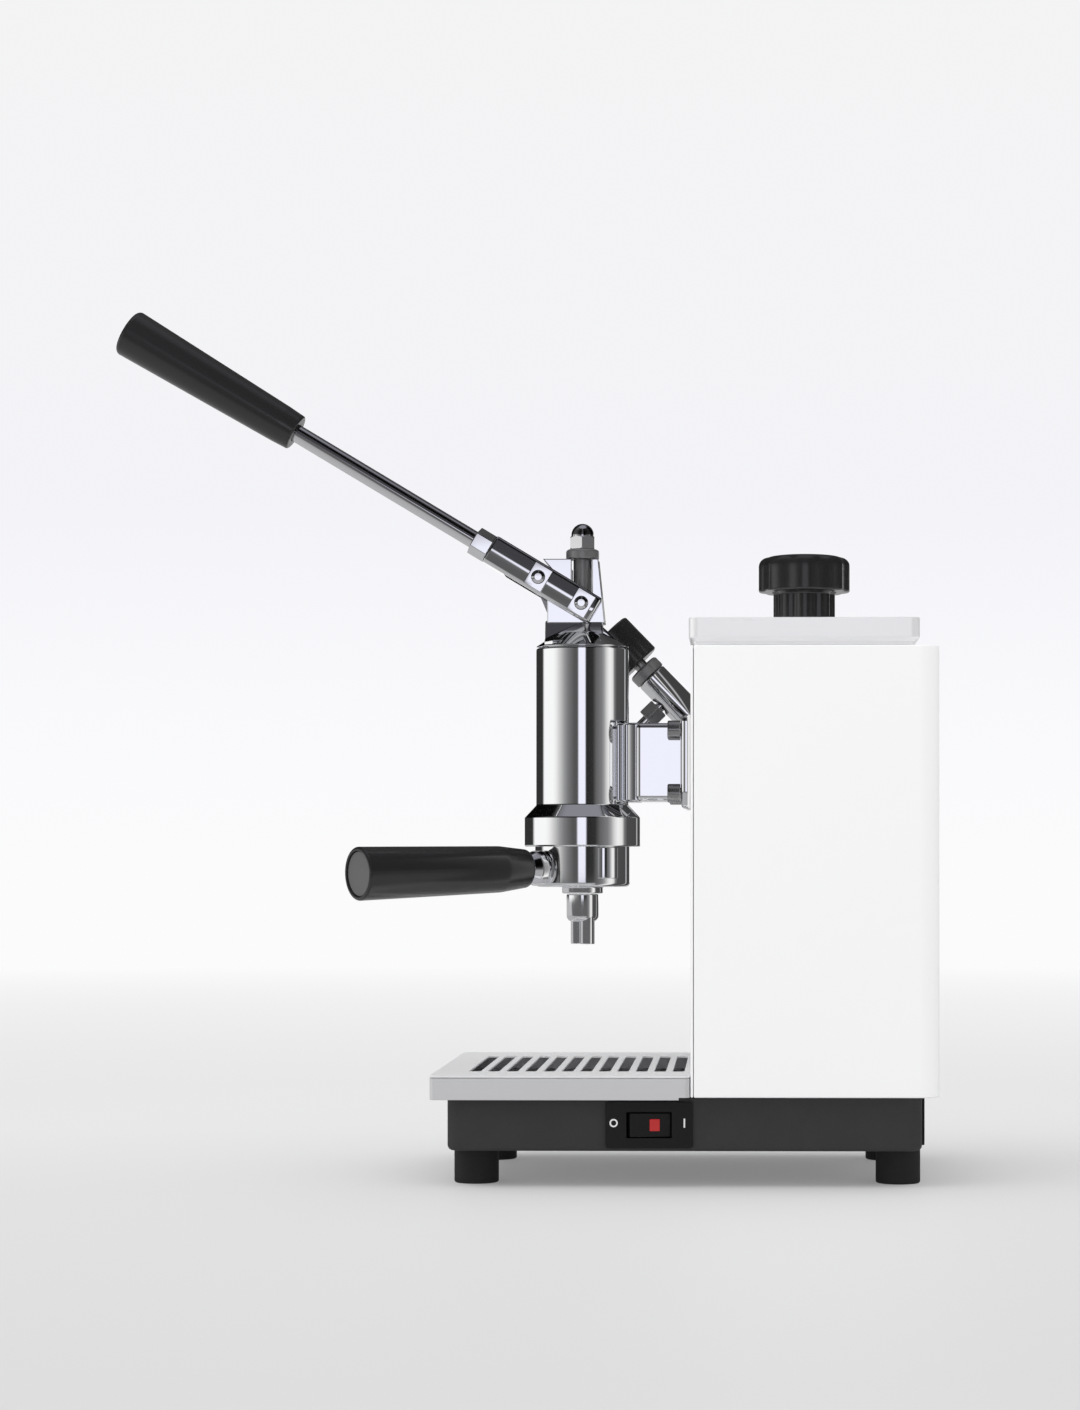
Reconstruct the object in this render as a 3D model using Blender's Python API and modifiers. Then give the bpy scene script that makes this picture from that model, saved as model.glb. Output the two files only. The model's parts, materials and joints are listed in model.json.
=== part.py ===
"""A home lever espresso machine, built piece by piece.

The front of the machine faces -Y and the side with the switch faces +X. All lengths are in metres.
Places along the machine are first measured from the axis of the brewing group, and GROUP_Y carries
them to the origin, which lies on the table under the middle of the machine.
"""

import math

import bmesh
import bpy
from mathutils import Matrix, Vector

# Gaps, overruns and facets
FIT = 0.0003
OVERRUN = 0.003
STEPS_BOILER = 32
STEPS_LARGE = 28
STEPS_MEDIUM = 18
STEPS_SMALL = 12
FILLET_PIECES = 2

# Lever: distances along it from the fulcrum pin
LEVER_ANGLE = math.radians(31.05)
PIN_SPACING = 0.028
PIN_RADIUS = 0.00365
PIN_PROUD = 0.0010
FORK_TAIL = 0.009
FORK_SLOT_END = 0.046
FORK_BODY_END = 0.0522
FORK_HEIGHT = 0.0165
FORK_ARM = 0.0055
FORK_EDGE = 0.0044
FORK_NOSE_RADIUS = 0.0070
FLAT_SIDE = 0.0150
FLAT_PROUD = 0.0006
FERRULE_START = 0.0604
FERRULE_END = 0.0710
FERRULE_RADIUS = 0.0080
FERRULE_EDGE = 0.0008
ROD_RADIUS = 0.0050
ROD_SOCKET = 0.020
HANDLE_START = 0.188
LEVER_LENGTH = 0.299
HANDLE_START_RADIUS = 0.01025
HANDLE_TIP_RADIUS = 0.0135
HANDLE_COLLAR = 0.010
HANDLE_EDGE = 0.0025

# Housing: distances behind the group's axis are positive
SHELL_WIDTH = 0.200
SHELL_FRONT = 0.0622
SHELL_BACK = 0.1940
SHELL_HEIGHT = 0.2388
SHELL_WALL = 0.0012
SHELL_CORNER = 0.011
SHELL_FLANGE = 0.011
PANEL_WALL = 0.0014

# Base pan, feet and switch
BASE_SIDE_INSET = 0.0050
BASE_WIDTH = SHELL_WIDTH - BASE_SIDE_INSET - BASE_SIDE_INSET
BASE_FRONT = 0.0674
BASE_BACK = 0.1849
BASE_HEIGHT = 0.0288
BASE_WALL = 0.0025
BASE_CORNER = 0.008
BASE_EDGE = 0.0030
FOOT_RADIUS = 0.0120
FOOT_HEIGHT = 0.0190
FOOT_EDGE = 0.0015
FOOT_STUD_RADIUS = 0.0035
FOOT_INSET = 0.0182
FOOT_FRONT_INSET = 0.0136
FOOT_BACK_INSET = 0.0116
BASE_TOP = FOOT_HEIGHT + BASE_HEIGHT
SHELL_BOTTOM = BASE_TOP + FIT
SHELL_TOP = SHELL_BOTTOM + SHELL_HEIGHT
SWITCH_CENTRE = 0.0402
SWITCH_WIDTH = 0.0460
SWITCH_HEIGHT = 0.0248
SWITCH_PLATE = 0.0014
SWITCH_CORNER = 0.0015
SWITCH_DEPTH = 0.0140
SWITCH_SLEEVE = 0.0014
ROCKER_WIDTH = 0.0230
ROCKER_HEIGHT = 0.0124
ROCKER_THICKNESS = 0.0044
ROCKER_TILT = math.radians(7.0)
ROCKER_PIVOT_DEPTH = 0.0068
ROCKER_PIVOT_RADIUS = 0.0011
ROCKER_PLAY = 0.0007
LAMP_WIDTH = 0.0054
LAMP_HEIGHT = 0.0064
LAMP_AT = 0.0022
LAMP_PROUD = 0.0003
LAMP_DEPTH = 0.0016
INLET_WIDTH = 0.0290
INLET_HEIGHT = 0.0215
INLET_DEPTH = 0.0200
INLET_LIP = 0.0025
INLET_PLATE = 0.0022
INLET_WALL = 0.0025
INLET_OFFSET = 0.052
PRONG_WIDTH = 0.0040
PRONG_THICKNESS = 0.0020
PRONG_LENGTH = 0.0130
PRONG_SPREAD = 0.0070

# Drip tray and grille
TRAY_WIDTH = SHELL_WIDTH
TRAY_FRONT = 0.0759
TRAY_WALL = 0.0012
TRAY_RISE = 0.0105
TRAY_TOP = BASE_TOP + TRAY_RISE
TRAY_SKIRT = 0.0011
TRAY_CORNER = 0.0030
TRAY_SIDE_CLEARANCE = 0.0010
GRILLE_WALL = 0.0010
GRILLE_SLOTS = 12
GRILLE_PITCH = 0.0100
GRILLE_SLOT_WIDTH = 0.00635
GRILLE_SLOT_LENGTH = 0.130
GRILLE_FIRST_SLOT = 0.0549

# Cup tray on top of the housing
CUP_TRAY_SIDE_INSET = 0.0020
CUP_TRAY_WIDTH = SHELL_WIDTH - CUP_TRAY_SIDE_INSET - CUP_TRAY_SIDE_INSET
CUP_TRAY_FRONT = 0.0612
CUP_TRAY_BACK = 0.1835
CUP_TRAY_HEIGHT = 0.0146
CUP_TRAY_TOP = SHELL_TOP + FIT + CUP_TRAY_HEIGHT
CUP_TRAY_WALL = 0.0012
CUP_TRAY_FLOOR = 0.0050
CUP_TRAY_CORNER = 0.005
CUP_TRAY_STEP = 0.0024
CUP_TRAY_STEP_HEIGHT = 0.0030

# Boiler, its neck and its cap
BOILER_Y = 0.1243
BOILER_RADIUS = 0.0500
BOILER_WALL = 0.0020
BOILER_BOTTOM = 0.0860
BOILER_HEIGHT = 0.1820
BOILER_TOP = BOILER_BOTTOM + BOILER_HEIGHT
BOILER_DOME = 0.012
BOILER_PAD = 0.0060
NECK_RADIUS = 0.0190
NECK_BORE = 0.0145
NECK_HEIGHT = 0.0295
NECK_TOP = BOILER_TOP + NECK_HEIGHT
SADDLE_RADIUS = 0.0440
SADDLE_WALL = 0.0020
CAP_GASKET = 0.0020
CAP_STEM_HEIGHT = 0.0260
CAP_HEAD_HEIGHT = 0.0202
CAP_HEAD_BOTTOM = NECK_TOP + CAP_STEM_HEIGHT
CAP_TOP = CAP_HEAD_BOTTOM + CAP_HEAD_HEIGHT
CAP_HEAD_RADIUS = 0.0255
CAP_HEAD_EDGE = 0.0032
CAP_STEM_RADIUS = 0.01725
CAP_LOBES = 8
CAP_LOBE_DEPTH = 0.0016
CAP_STEM_LOBE_DEPTH = 0.0019
CAP_SOCKET_RADIUS = 0.0060
CAP_SOCKET_DEPTH = 0.0120
PLUG_LENGTH = 0.0200
PLUG_CLEARANCE = 0.0004
ELEMENT_RADIUS = 0.0040
ELEMENT_LOOP = 0.0240
ELEMENT_HEIGHT = 0.1050
ELEMENT_FLANGE_RADIUS = 0.0290
ELEMENT_FLANGE = 0.0060
ELEMENT_PORT_RADIUS = 0.0250
SAFETY_RADIUS = 0.0065
SAFETY_HEIGHT = 0.0160
SAFETY_HEX_RADIUS = 0.0080
SAFETY_HEX = 0.0060
SAFETY_OFFSET = 0.0340
STAT_SIZE = 0.0300
STAT_DEPTH = 0.0240
STAT_STEM_RADIUS = 0.0040
STAT_STEM = 0.0060
STAT_Z = 0.1400
STAT_EDGE = 0.0020

# Brewing group, with its heights stacked down from the cylinder's top
CYLINDER_RADIUS = 0.0260
CYLINDER_TOP = 0.2923
CYLINDER_HEIGHT = 0.0878
CYLINDER_EDGE = 0.0010
BORE_RADIUS = 0.0228
BELL_CONE = 0.0070
BELL_SKIRT = 0.0163
BELL_ROOF = 0.0015
BELL_TOP = CYLINDER_TOP - CYLINDER_HEIGHT
BELL_SHOULDER = BELL_TOP - BELL_CONE
BELL_BOTTOM = BELL_SHOULDER - BELL_SKIRT
BELL_RADIUS = 0.0325
BELL_LIP = 0.0031
BELL_LIP_RADIUS = 0.0274
BELL_INNER_RADIUS = 0.0306
BELL_EDGE = 0.0008
BELL_NOTCH = 0.0124
GASKET_TOP = BELL_SHOULDER - BELL_ROOF
GASKET_THICKNESS = 0.0055
GASKET_INNER_RADIUS = 0.0243
SCREEN_RISE = 0.0025
SCREEN_TOP = GASKET_TOP + SCREEN_RISE
SCREEN_HEIGHT = 0.0060
SCREEN_RIM = 0.0010
SCREEN_WALL = 0.0008
SCREEN_SEAT = 0.0238
NECK_BLOCK_START = 0.0304
NECK_BLOCK_HALF_WIDTH = 0.0215
NECK_BLOCK_RISE = 0.0020
NECK_BLOCK_HEIGHT = 0.0432
NECK_BLOCK_BOTTOM = BELL_TOP + NECK_BLOCK_RISE
NECK_BLOCK_TOP = NECK_BLOCK_BOTTOM + NECK_BLOCK_HEIGHT
NECK_BLOCK_EDGE = 0.0015
NECK_PAD_HALF_WIDTH = 0.0165
NECK_PAD_INSET = 0.0010
FLANGE_FACE = 0.0559
FLANGE_HALF_WIDTH = 0.0330
FLANGE_BELOW = 0.0045
FLANGE_ABOVE = 0.0043
FLANGE_BOTTOM = NECK_BLOCK_BOTTOM - FLANGE_BELOW
FLANGE_TOP = NECK_BLOCK_TOP + FLANGE_ABOVE
FLANGE_CORNER = 0.0080
BOLT_X = 0.0272
BOLT_INSET = 0.0085
BOLT_HIGH = FLANGE_TOP - BOLT_INSET
BOLT_LOW = FLANGE_BOTTOM + BOLT_INSET
BOLT_HEAD_RADIUS = 0.0052
BOLT_HEAD = 0.0070
BOLT_RADIUS = 0.0030
BOLT_SOCKET_RADIUS = 0.0026
BOLT_SOCKET_DEPTH = 0.0035

# Piston and connecting rod
ROD_LENGTH = 0.0620
LINK_HALF_WIDTH = 0.0034
LINK_HALF_THICKNESS = 0.0046
LINK_EYE = 0.0072
WRIST_RADIUS = 0.0040
WRIST_PLAY = 0.0028
WRIST_EYE_WALL = 0.0028
PISTON_CLEARANCE = 0.0004
PISTON_BOTTOM = 0.2243
PISTON_CROWN = 0.0060
PISTON_WALL = 0.0036
PISTON_SKIRT_ABOVE = 0.0090
SEAL_CLEARANCE = 0.0001
SEAL_HEIGHT = 0.0040
SEAL_DEPTH = 0.0026
SEAL_LIP = 0.0015
SEAL_LOW = 0.0050
SEAL_HIGH = 0.0300

# Lever bracket, hanger and nuts, with their heights stacked up from the cylinder's top
FULCRUM_RISE = 0.0245
FULCRUM_Z = CYLINDER_TOP + FULCRUM_RISE
BRACKET_RISE = 0.0252
BRACKET_TOP = FULCRUM_Z + BRACKET_RISE
BRACKET_TOP_BACK = 0.0092
BRACKET_FRONT = 0.0194
BRACKET_BACK = 0.0128
CHEEK_OUTER = 0.0086
CHEEK_WALL = 0.0032
CHEEK_CORNER = 0.0010
CAP_SHOULDER = 0.0087
CAP_SHOULDER_TOP = CYLINDER_TOP + CAP_SHOULDER
CAP_WALL = 0.0050
CAP_TOP_RADIUS = 0.0140
PEDESTAL_RISE = 0.0045
PEDESTAL_TOP = CAP_SHOULDER_TOP + PEDESTAL_RISE
PEDESTAL_FRONT = 0.0220
PEDESTAL_BACK = 0.0140
PEDESTAL_EDGE = 0.0035
SPIGOT_DEPTH = 0.0040
SPIGOT_CLEARANCE = 0.0003
BRIDGE_HEIGHT = 0.0055
BRIDGE_FRONT = 0.0110
HANGER_RADIUS = 0.00515
HANGER_SLOT = 0.00055
SLOT_ROUND_SHARE = 0.98
HANGER_EYE = 0.0076
HANGER_HALF_THICKNESS = 0.0047
HANGER_THREAD_RADIUS = 0.0035
LOCK_NUT_RADIUS = 0.00925
LOCK_NUT_HEIGHT = 0.0055
ACORN_HEX_RADIUS = 0.0078
ACORN_HEX_HEIGHT = 0.0070
ACORN_DOME_RADIUS = 0.0063
ACORN_RISE = 0.0204
ACORN_TOP = BRACKET_TOP + ACORN_RISE
DRIVE_SWEEP_UP = math.radians(8.0)
DRIVE_CLEARANCE = 0.0012
LINK_PLAY = 0.0006

# Portafilter, hung under the gasket
HANDLE_TURN = math.radians(36.5)
HANDLE_DROOP = math.radians(1.5)
FILTER_RADIUS = 0.0266
FILTER_SEAT = 0.0005
FILTER_HEIGHT = 0.0312
FILTER_TOP = GASKET_TOP - GASKET_THICKNESS - FILTER_SEAT
FILTER_BOTTOM = FILTER_TOP - FILTER_HEIGHT
FILTER_WALL = 0.0022
FILTER_FLOOR = 0.0045
FILTER_EDGE = 0.0022
FILTER_COLLAR_RADIUS = 0.0115
FILTER_COLLAR = 0.0038
FILTER_DRAIN = 0.0030
EAR_WIDTH = 0.0108
EAR_REACH = 0.0300
EAR_DROP = 0.0015
EAR_TOP = FILTER_TOP - EAR_DROP
EAR_CLEARANCE = 0.0004
LUG_REACH = 0.0293
LUG_RISE = 0.0047
LUG_BOTTOM = FILTER_BOTTOM + LUG_RISE
BASKET_WALL = 0.0007
BASKET_RIM = 0.0009
BASKET_GAP = 0.0004
BASKET_DEPTH = 0.0215
HANDLE_RISE = 0.0112
HANDLE_AXIS_Z = FILTER_BOTTOM + HANDLE_RISE
BOSS_END = 0.0370
BOSS_ROOT_RADIUS = 0.0098
BOSS_RADIUS = 0.0078
GRIP_END = 0.1370
GRIP_START_RADIUS = 0.0105
GRIP_SHOULDER_RADIUS = 0.0124
GRIP_SHOULDER = 0.0180
GRIP_END_RADIUS = 0.0140
GRIP_EDGE = 0.0022
GRIP_DISC_INSET = 0.0020
GRIP_STUD_RADIUS = 0.0040
GRIP_STUD = 0.0300
SPOUT_HUB_RADIUS = 0.0085
SPOUT_HUB = 0.0070
SPOUT_HUB_BOTTOM = FILTER_BOTTOM - FILTER_COLLAR - SPOUT_HUB
SPOUT_RADIUS = 0.0049
SPOUT_BORE = 0.0034
SPOUT_SPREAD = 0.0090
SPOUT_ARCH_DROP = 0.0015
SPOUT_LEG = 0.0198
SPOUT_SHOULDER = SPOUT_HUB_BOTTOM - SPOUT_ARCH_DROP
SPOUT_BOTTOM = SPOUT_SHOULDER - SPOUT_LEG
SPOUT_BORE_DEPTH = 0.0140

# Steam valve, knob and wand on the far side
VALVE_X = 0.0500
VALVE_Z = 0.2540
VALVE_ANGLE = math.radians(45.8)
VALVE_RADIUS = 0.0092
VALVE_INSIDE = 0.0180
VALVE_LENGTH = 0.0360
VALVE_EDGE = 0.0008
VALVE_BORE = 0.0042
VALVE_BORE_DEPTH = 0.0180
PACKING_RADIUS = 0.0096
PACKING_LENGTH = 0.0070
STEM_RADIUS = 0.0038
STEM_CLEARANCE = 0.0004
STEM_INTO_KNOB = 0.0120
KNOB_START = 0.0459
KNOB_END = 0.0713
KNOB_RADIUS = 0.01325
KNOB_EDGE = 0.0014
STEAM_PIPE_RADIUS = 0.0030
WAND_AT = 0.0200
WAND_SOCKET_RADIUS = 0.0052
WAND_NUT_RADIUS = 0.0068
WAND_NUT_START = 0.0096
WAND_NUT_END = 0.0190
WAND_RADIUS = 0.0030
WAND_KNEE = 0.0300
WAND_DROP_Y = 0.0110
WAND_BEND = 0.0160
WAND_TIP_Z = 0.1660
WAND_TIP_RADIUS = 0.0042
WAND_TIP_LENGTH = 0.0120
WAND_TIP_HOLE = 0.0010

# How a flat outline is turned: its X and Y become the machine's Y and Z, X and Z, or Y and X
SIDEWAYS = (math.pi / 2, 0, math.pi / 2)
FACING_FRONT = (math.pi / 2, 0, 0)
FACING_SIDE = (math.pi, 0, math.pi / 2)


def machine_centre():
    """How far the group's axis lies behind the middle of the machine's length."""
    tip = (LEVER_LENGTH - HANDLE_EDGE) * math.cos(LEVER_ANGLE)
    edge = (HANDLE_TIP_RADIUS - HANDLE_EDGE) * math.sin(LEVER_ANGLE) + HANDLE_EDGE
    return (tip + edge - SHELL_BACK) / 2


GROUP_Y = machine_centre()


def clear_scene():
    for obj in list(bpy.data.objects):
        bpy.data.objects.remove(obj, do_unlink=True)


def collection(name):
    made = bpy.data.collections.new(name)
    bpy.context.scene.collection.children.link(made)
    return made


def material(name, colour, roughness, metallic):
    made = bpy.data.materials.new(name)
    made.use_nodes = True
    shader = made.node_tree.nodes["Principled BSDF"]
    shader.inputs["Base Color"].default_value = (*colour, 1)
    shader.inputs["Roughness"].default_value = roughness
    shader.inputs["Metallic"].default_value = metallic
    made.diffuse_color = (*colour, 1)
    return made


clear_scene()
MACHINE = collection("lever_espresso_machine")
CUTTERS = collection("cutters")

WHITE_PAINT = material("white_paint", (0.86, 0.86, 0.87), 0.45, 0.0)
DARK_PAINT = material("dark_paint", (0.045, 0.043, 0.045), 0.6, 0.0)
CHROME = material("chrome", (0.78, 0.78, 0.8), 0.08, 1.0)
STEEL = material("brushed_steel", (0.62, 0.62, 0.62), 0.32, 1.0)
BRASS = material("brass", (0.72, 0.52, 0.26), 0.3, 1.0)
BLACK_PLASTIC = material("black_plastic", (0.015, 0.015, 0.016), 0.35, 0.0)
BLACK_SWITCH = material("black_switch", (0.012, 0.012, 0.012), 0.4, 0.0)
RUBBER = material("rubber", (0.02, 0.02, 0.02), 0.8, 0.0)
SEAL_RUBBER = material("seal_rubber", (0.12, 0.05, 0.03), 0.7, 0.0)
RED_LAMP = material("red_lamp", (0.6, 0.02, 0.02), 0.2, 0.0)


def at(x, along, z):
    """A place given by its distance behind the group's axis."""
    return Vector((x, GROUP_Y + along, z))


def keep(obj, group=None):
    for owner in list(obj.users_collection):
        owner.objects.unlink(obj)
    (group or MACHINE).objects.link(obj)
    return obj


def hide_cutter(obj):
    keep(obj, CUTTERS)
    obj.hide_render = True
    obj.display_type = "WIRE"
    return obj


def body(name, place):
    """An empty on a moving body's joint, which carries the body's pieces."""
    empty = bpy.data.objects.new(name, None)
    empty.location = place
    MACHINE.objects.link(empty)
    return empty


def piece(obj, finish, carrier):
    """Names the finish of a piece and hangs it on the empty of its body, where it stands."""
    obj.data.materials.clear()
    obj.data.materials.append(finish)
    obj.parent = carrier
    obj.matrix_parent_inverse = Matrix.Translation(-carrier.location)
    return obj


def smooth(mesh):
    mesh.shade_smooth()
    mesh.set_sharp_from_angle(angle=math.radians(35))


def face_along(obj, direction):
    obj.rotation_euler = direction.to_track_quat("Z", "Y").to_euler()
    return obj


def filleted(corners, radii, closed=True):
    """The corners of an outline, each rounded to its own radius."""
    outline = []
    last = len(corners) - 1
    for i, (corner, radius) in enumerate(zip(corners, radii)):
        here = Vector(corner)
        if not radius or (not closed and i in (0, last)):
            outline.append(tuple(here))
            continue
        before = (Vector(corners[i - 1]) - here).normalized()
        after = (Vector(corners[(i + 1) % len(corners)]) - here).normalized()
        half = before.angle(after) / 2
        middle = here + (before + after).normalized() * radius / math.sin(half)
        start = here + before * radius / math.tan(half) - middle
        end = here + after * radius / math.tan(half) - middle
        turn = math.atan2(start.x * end.y - start.y * end.x, start.dot(end))
        for k in range(FILLET_PIECES + 1):
            outline.append(tuple(Matrix.Rotation(turn * k / FILLET_PIECES, 2) @ start + middle))
    return outline


def turned(name, outline, place, direction=Vector((0, 0, 1)), closed=False, steps=STEPS_MEDIUM):
    """A turned piece: radius and height pairs that run down the outer side, spun about its axis."""
    mesh = bpy.data.meshes.new(name)
    count = len(outline)
    edges = [(i, i + 1) for i in range(count - 1)]
    if closed:
        edges.append((count - 1, 0))
    mesh.from_pydata([(radius, 0, height) for radius, height in outline], edges, [])
    obj = keep(bpy.data.objects.new(name, mesh))
    spin = obj.modifiers.new("Turn", "SCREW")
    spin.axis = "Z"
    spin.steps = spin.render_steps = steps
    spin.use_merge_vertices = True
    spin.merge_threshold = 0.00001
    spin.use_smooth_shade = True
    obj.location = place
    return face_along(obj, direction)


def box(name, low, high, edge=0, segments=2):
    """A box between two corners, with its edges rounded."""
    low, high = Vector(low), Vector(high)
    bpy.ops.mesh.primitive_cube_add(size=1, location=(low + high) / 2)
    obj = bpy.context.object
    obj.name = name
    obj.scale = high - low
    bpy.ops.object.transform_apply(location=False, rotation=False, scale=True)
    round_edges(obj, edge, segments)
    return keep(obj)


def round_edges(obj, width, segments=2, angle=35):
    if width:
        bevel = obj.modifiers.new("Edges", "BEVEL")
        bevel.width = width
        bevel.segments = segments
        bevel.limit_method = "ANGLE"
        bevel.angle_limit = math.radians(angle)
    return obj


def pin(name, start, end, radius, steps=STEPS_SMALL):
    """A plain round bar between two points."""
    start, end = Vector(start), Vector(end)
    bpy.ops.mesh.primitive_cylinder_add(
        vertices=steps, radius=radius, depth=(end - start).length, location=(start + end) / 2
    )
    obj = bpy.context.object
    obj.name = name
    face_along(obj, end - start)
    smooth(obj.data)
    return keep(obj)


def as_mesh(curve):
    """The closed mesh of a curve object, with its loose caps joined on."""
    bpy.context.view_layer.update()
    graph = bpy.context.evaluated_depsgraph_get()
    mesh = bpy.data.meshes.new_from_object(curve.evaluated_get(graph))
    shape = bmesh.new()
    shape.from_mesh(mesh)
    bmesh.ops.remove_doubles(shape, verts=shape.verts, dist=0.000001)
    bmesh.ops.recalc_face_normals(shape, faces=shape.faces)
    shape.to_mesh(mesh)
    shape.free()
    obj = bpy.data.objects.new(curve.name, mesh)
    obj.matrix_world = curve.matrix_world
    name = curve.name
    bpy.data.objects.remove(curve, do_unlink=True)
    obj.name = name
    smooth(mesh)
    return keep(obj)


def plate(name, outline, thickness, centre, turn=(0, 0, 0), edge=0, segments=2):
    """A flat outline of a given thickness, centred on a point."""
    curve = bpy.data.curves.new(name, "CURVE")
    curve.dimensions = "2D"
    curve.fill_mode = "BOTH"
    curve.extrude = thickness / 2
    spline = curve.splines.new("POLY")
    spline.points.add(len(outline) - 1)
    for point, (x, y) in zip(spline.points, outline):
        point.co = (x, y, 0, 1)
    spline.use_cyclic_u = True
    obj = keep(bpy.data.objects.new(name, curve))
    obj.location = centre
    obj.rotation_euler = turn
    return round_edges(as_mesh(obj), edge, segments)


def tube(name, points, radius, sides=4):
    """A round tube that follows a line of points."""
    curve = bpy.data.curves.new(name, "CURVE")
    curve.dimensions = "3D"
    curve.bevel_depth = radius
    curve.bevel_resolution = sides
    curve.use_fill_caps = True
    spline = curve.splines.new("POLY")
    spline.points.add(len(points) - 1)
    for point, place in zip(spline.points, points):
        point.co = (*place, 1)
    return as_mesh(keep(bpy.data.objects.new(name, curve)))


def bent(points, radius, pieces=5):
    """A line of points whose inner corners are rounded to a bend."""
    line = [Vector(points[0])]
    for before, corner, after in zip(points, points[1:], points[2:]):
        corner = Vector(corner)
        back = (Vector(before) - corner).normalized()
        on = (Vector(after) - corner).normalized()
        half = back.angle(on) / 2
        middle = corner + (back + on).normalized() * radius / math.sin(half)
        start = corner + back * radius / math.tan(half) - middle
        end = corner + on * radius / math.tan(half) - middle
        turn = start.angle(end)
        across = start.cross(end).normalized()
        for k in range(pieces + 1):
            line.append(Matrix.Rotation(turn * k / pieces, 3, across) @ start + middle)
    line.append(Vector(points[-1]))
    return line


def cut(obj, *cutters):
    for cutter in cutters:
        change = obj.modifiers.new("Cut", "BOOLEAN")
        change.operation = "DIFFERENCE"
        change.object = hide_cutter(cutter)
    return obj


def join(obj, *others):
    for other in others:
        change = obj.modifiers.new("Join", "BOOLEAN")
        change.operation = "UNION"
        change.object = hide_cutter(other)
    return obj


def rectangle(half_x, half_y, corner):
    corners = [(-half_x, -half_y), (half_x, -half_y), (half_x, half_y), (-half_x, half_y)]
    return filleted(corners, [corner] * len(corners))


def hexagon(radius):
    return [(radius * math.cos(math.pi * k / 3), radius * math.sin(math.pi * k / 3)) for k in range(6)]


def lobed(radius, depth, count, points_each=6):
    """A round outline with shallow hollows between its lobes."""
    outline = []
    total = count * points_each
    for k in range(total):
        angle = 2 * math.pi * k / total
        reach = radius - depth * (0.5 - 0.5 * math.cos(count * angle)) ** 2
        outline.append((reach * math.cos(angle), reach * math.sin(angle)))
    return outline


ROOT = body("machine", Vector((0, 0, 0)))
FULCRUM = at(0, 0, FULCRUM_Z)
LEVER_LINE = Vector((0, -math.cos(LEVER_ANGLE), math.sin(LEVER_ANGLE)))
DRIVE_PIN = FULCRUM + LEVER_LINE * PIN_SPACING
ROD_TILT = math.asin(PIN_SPACING * math.cos(LEVER_ANGLE) / ROD_LENGTH)
ROD_LINE = Vector((0, math.sin(ROD_TILT), -math.cos(ROD_TILT)))
WRIST = DRIVE_PIN + ROD_LINE * ROD_LENGTH
FORK_INNER = CHEEK_OUTER + FIT + FIT
FORK_OUTER = FORK_INNER + FORK_ARM
VALVE_LINE = Vector((0, -math.cos(VALVE_ANGLE), math.sin(VALVE_ANGLE)))
WAND_LINE = Vector((0, -math.sin(VALVE_ANGLE), -math.cos(VALVE_ANGLE)))
GRIP_LINE = Vector((
    math.sin(HANDLE_TURN) * math.cos(HANDLE_DROOP),
    -math.cos(HANDLE_TURN) * math.cos(HANDLE_DROOP),
    -math.sin(HANDLE_DROOP),
))


# Base

def base_pan():
    middle = at(0, (BASE_BACK - BASE_FRONT) / 2, (BASE_TOP + FOOT_HEIGHT + FIT) / 2)
    half_x = BASE_WIDTH / 2
    half_y = (BASE_BACK + BASE_FRONT) / 2
    height = BASE_TOP - FOOT_HEIGHT - FIT
    pan = plate("base_pan", rectangle(half_x, half_y, BASE_CORNER), height, middle)
    cut(pan, plate(
        "base_hollow",
        rectangle(half_x - BASE_WALL, half_y - BASE_WALL, BASE_CORNER - BASE_WALL),
        height, middle + Vector((0, 0, BASE_WALL)),
    ))
    middle_z = FOOT_HEIGHT + FIT + BASE_TOP
    sleeve = Vector((0, SWITCH_WIDTH / 2 - SWITCH_SLEEVE, SWITCH_HEIGHT / 2 - SWITCH_SLEEVE))
    hole = at(half_x, SWITCH_CENTRE, middle_z / 2 - FIT)
    reach = Vector((BASE_WALL + OVERRUN, 0, 0))
    cut(pan, box("switch_hole", hole - sleeve - reach, hole + sleeve + reach))
    inlet = at(INLET_OFFSET, BASE_BACK, middle_z / 2)
    size = Vector((INLET_WIDTH / 2 + FIT, BASE_WALL + OVERRUN, INLET_HEIGHT / 2 + FIT))
    cut(pan, box("inlet_hole", inlet - size, inlet + size))
    for x, along in foot_places():
        top = at(x, along, FOOT_HEIGHT + BASE_WALL + OVERRUN)
        cut(pan, pin("foot_hole", at(x, along, FOOT_HEIGHT - OVERRUN), top, FOOT_STUD_RADIUS + FIT))
    round_edges(pan, BASE_EDGE / 2, 1, 60)
    return piece(pan, DARK_PAINT, ROOT)


def foot_places():
    x = BASE_WIDTH / 2 - FOOT_INSET - FOOT_RADIUS
    front = -BASE_FRONT + FOOT_FRONT_INSET
    back = BASE_BACK - FOOT_BACK_INSET
    return [(x, front), (-x, front), (x, back), (-x, back)]


def feet():
    stud = FOOT_HEIGHT + BASE_WALL + FIT
    outline = filleted(
        [
            (0, stud), (FOOT_STUD_RADIUS, stud), (FOOT_STUD_RADIUS, FOOT_HEIGHT),
            (FOOT_RADIUS, FOOT_HEIGHT), (FOOT_RADIUS, 0), (0, 0),
        ],
        [0, 0, 0, FOOT_EDGE / 2, FOOT_EDGE, 0], closed=False,
    )
    for number, (x, along) in enumerate(foot_places(), 1):
        piece(turned(f"foot_{number}", outline, at(x, along, 0), steps=STEPS_SMALL), RUBBER, ROOT)


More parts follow.
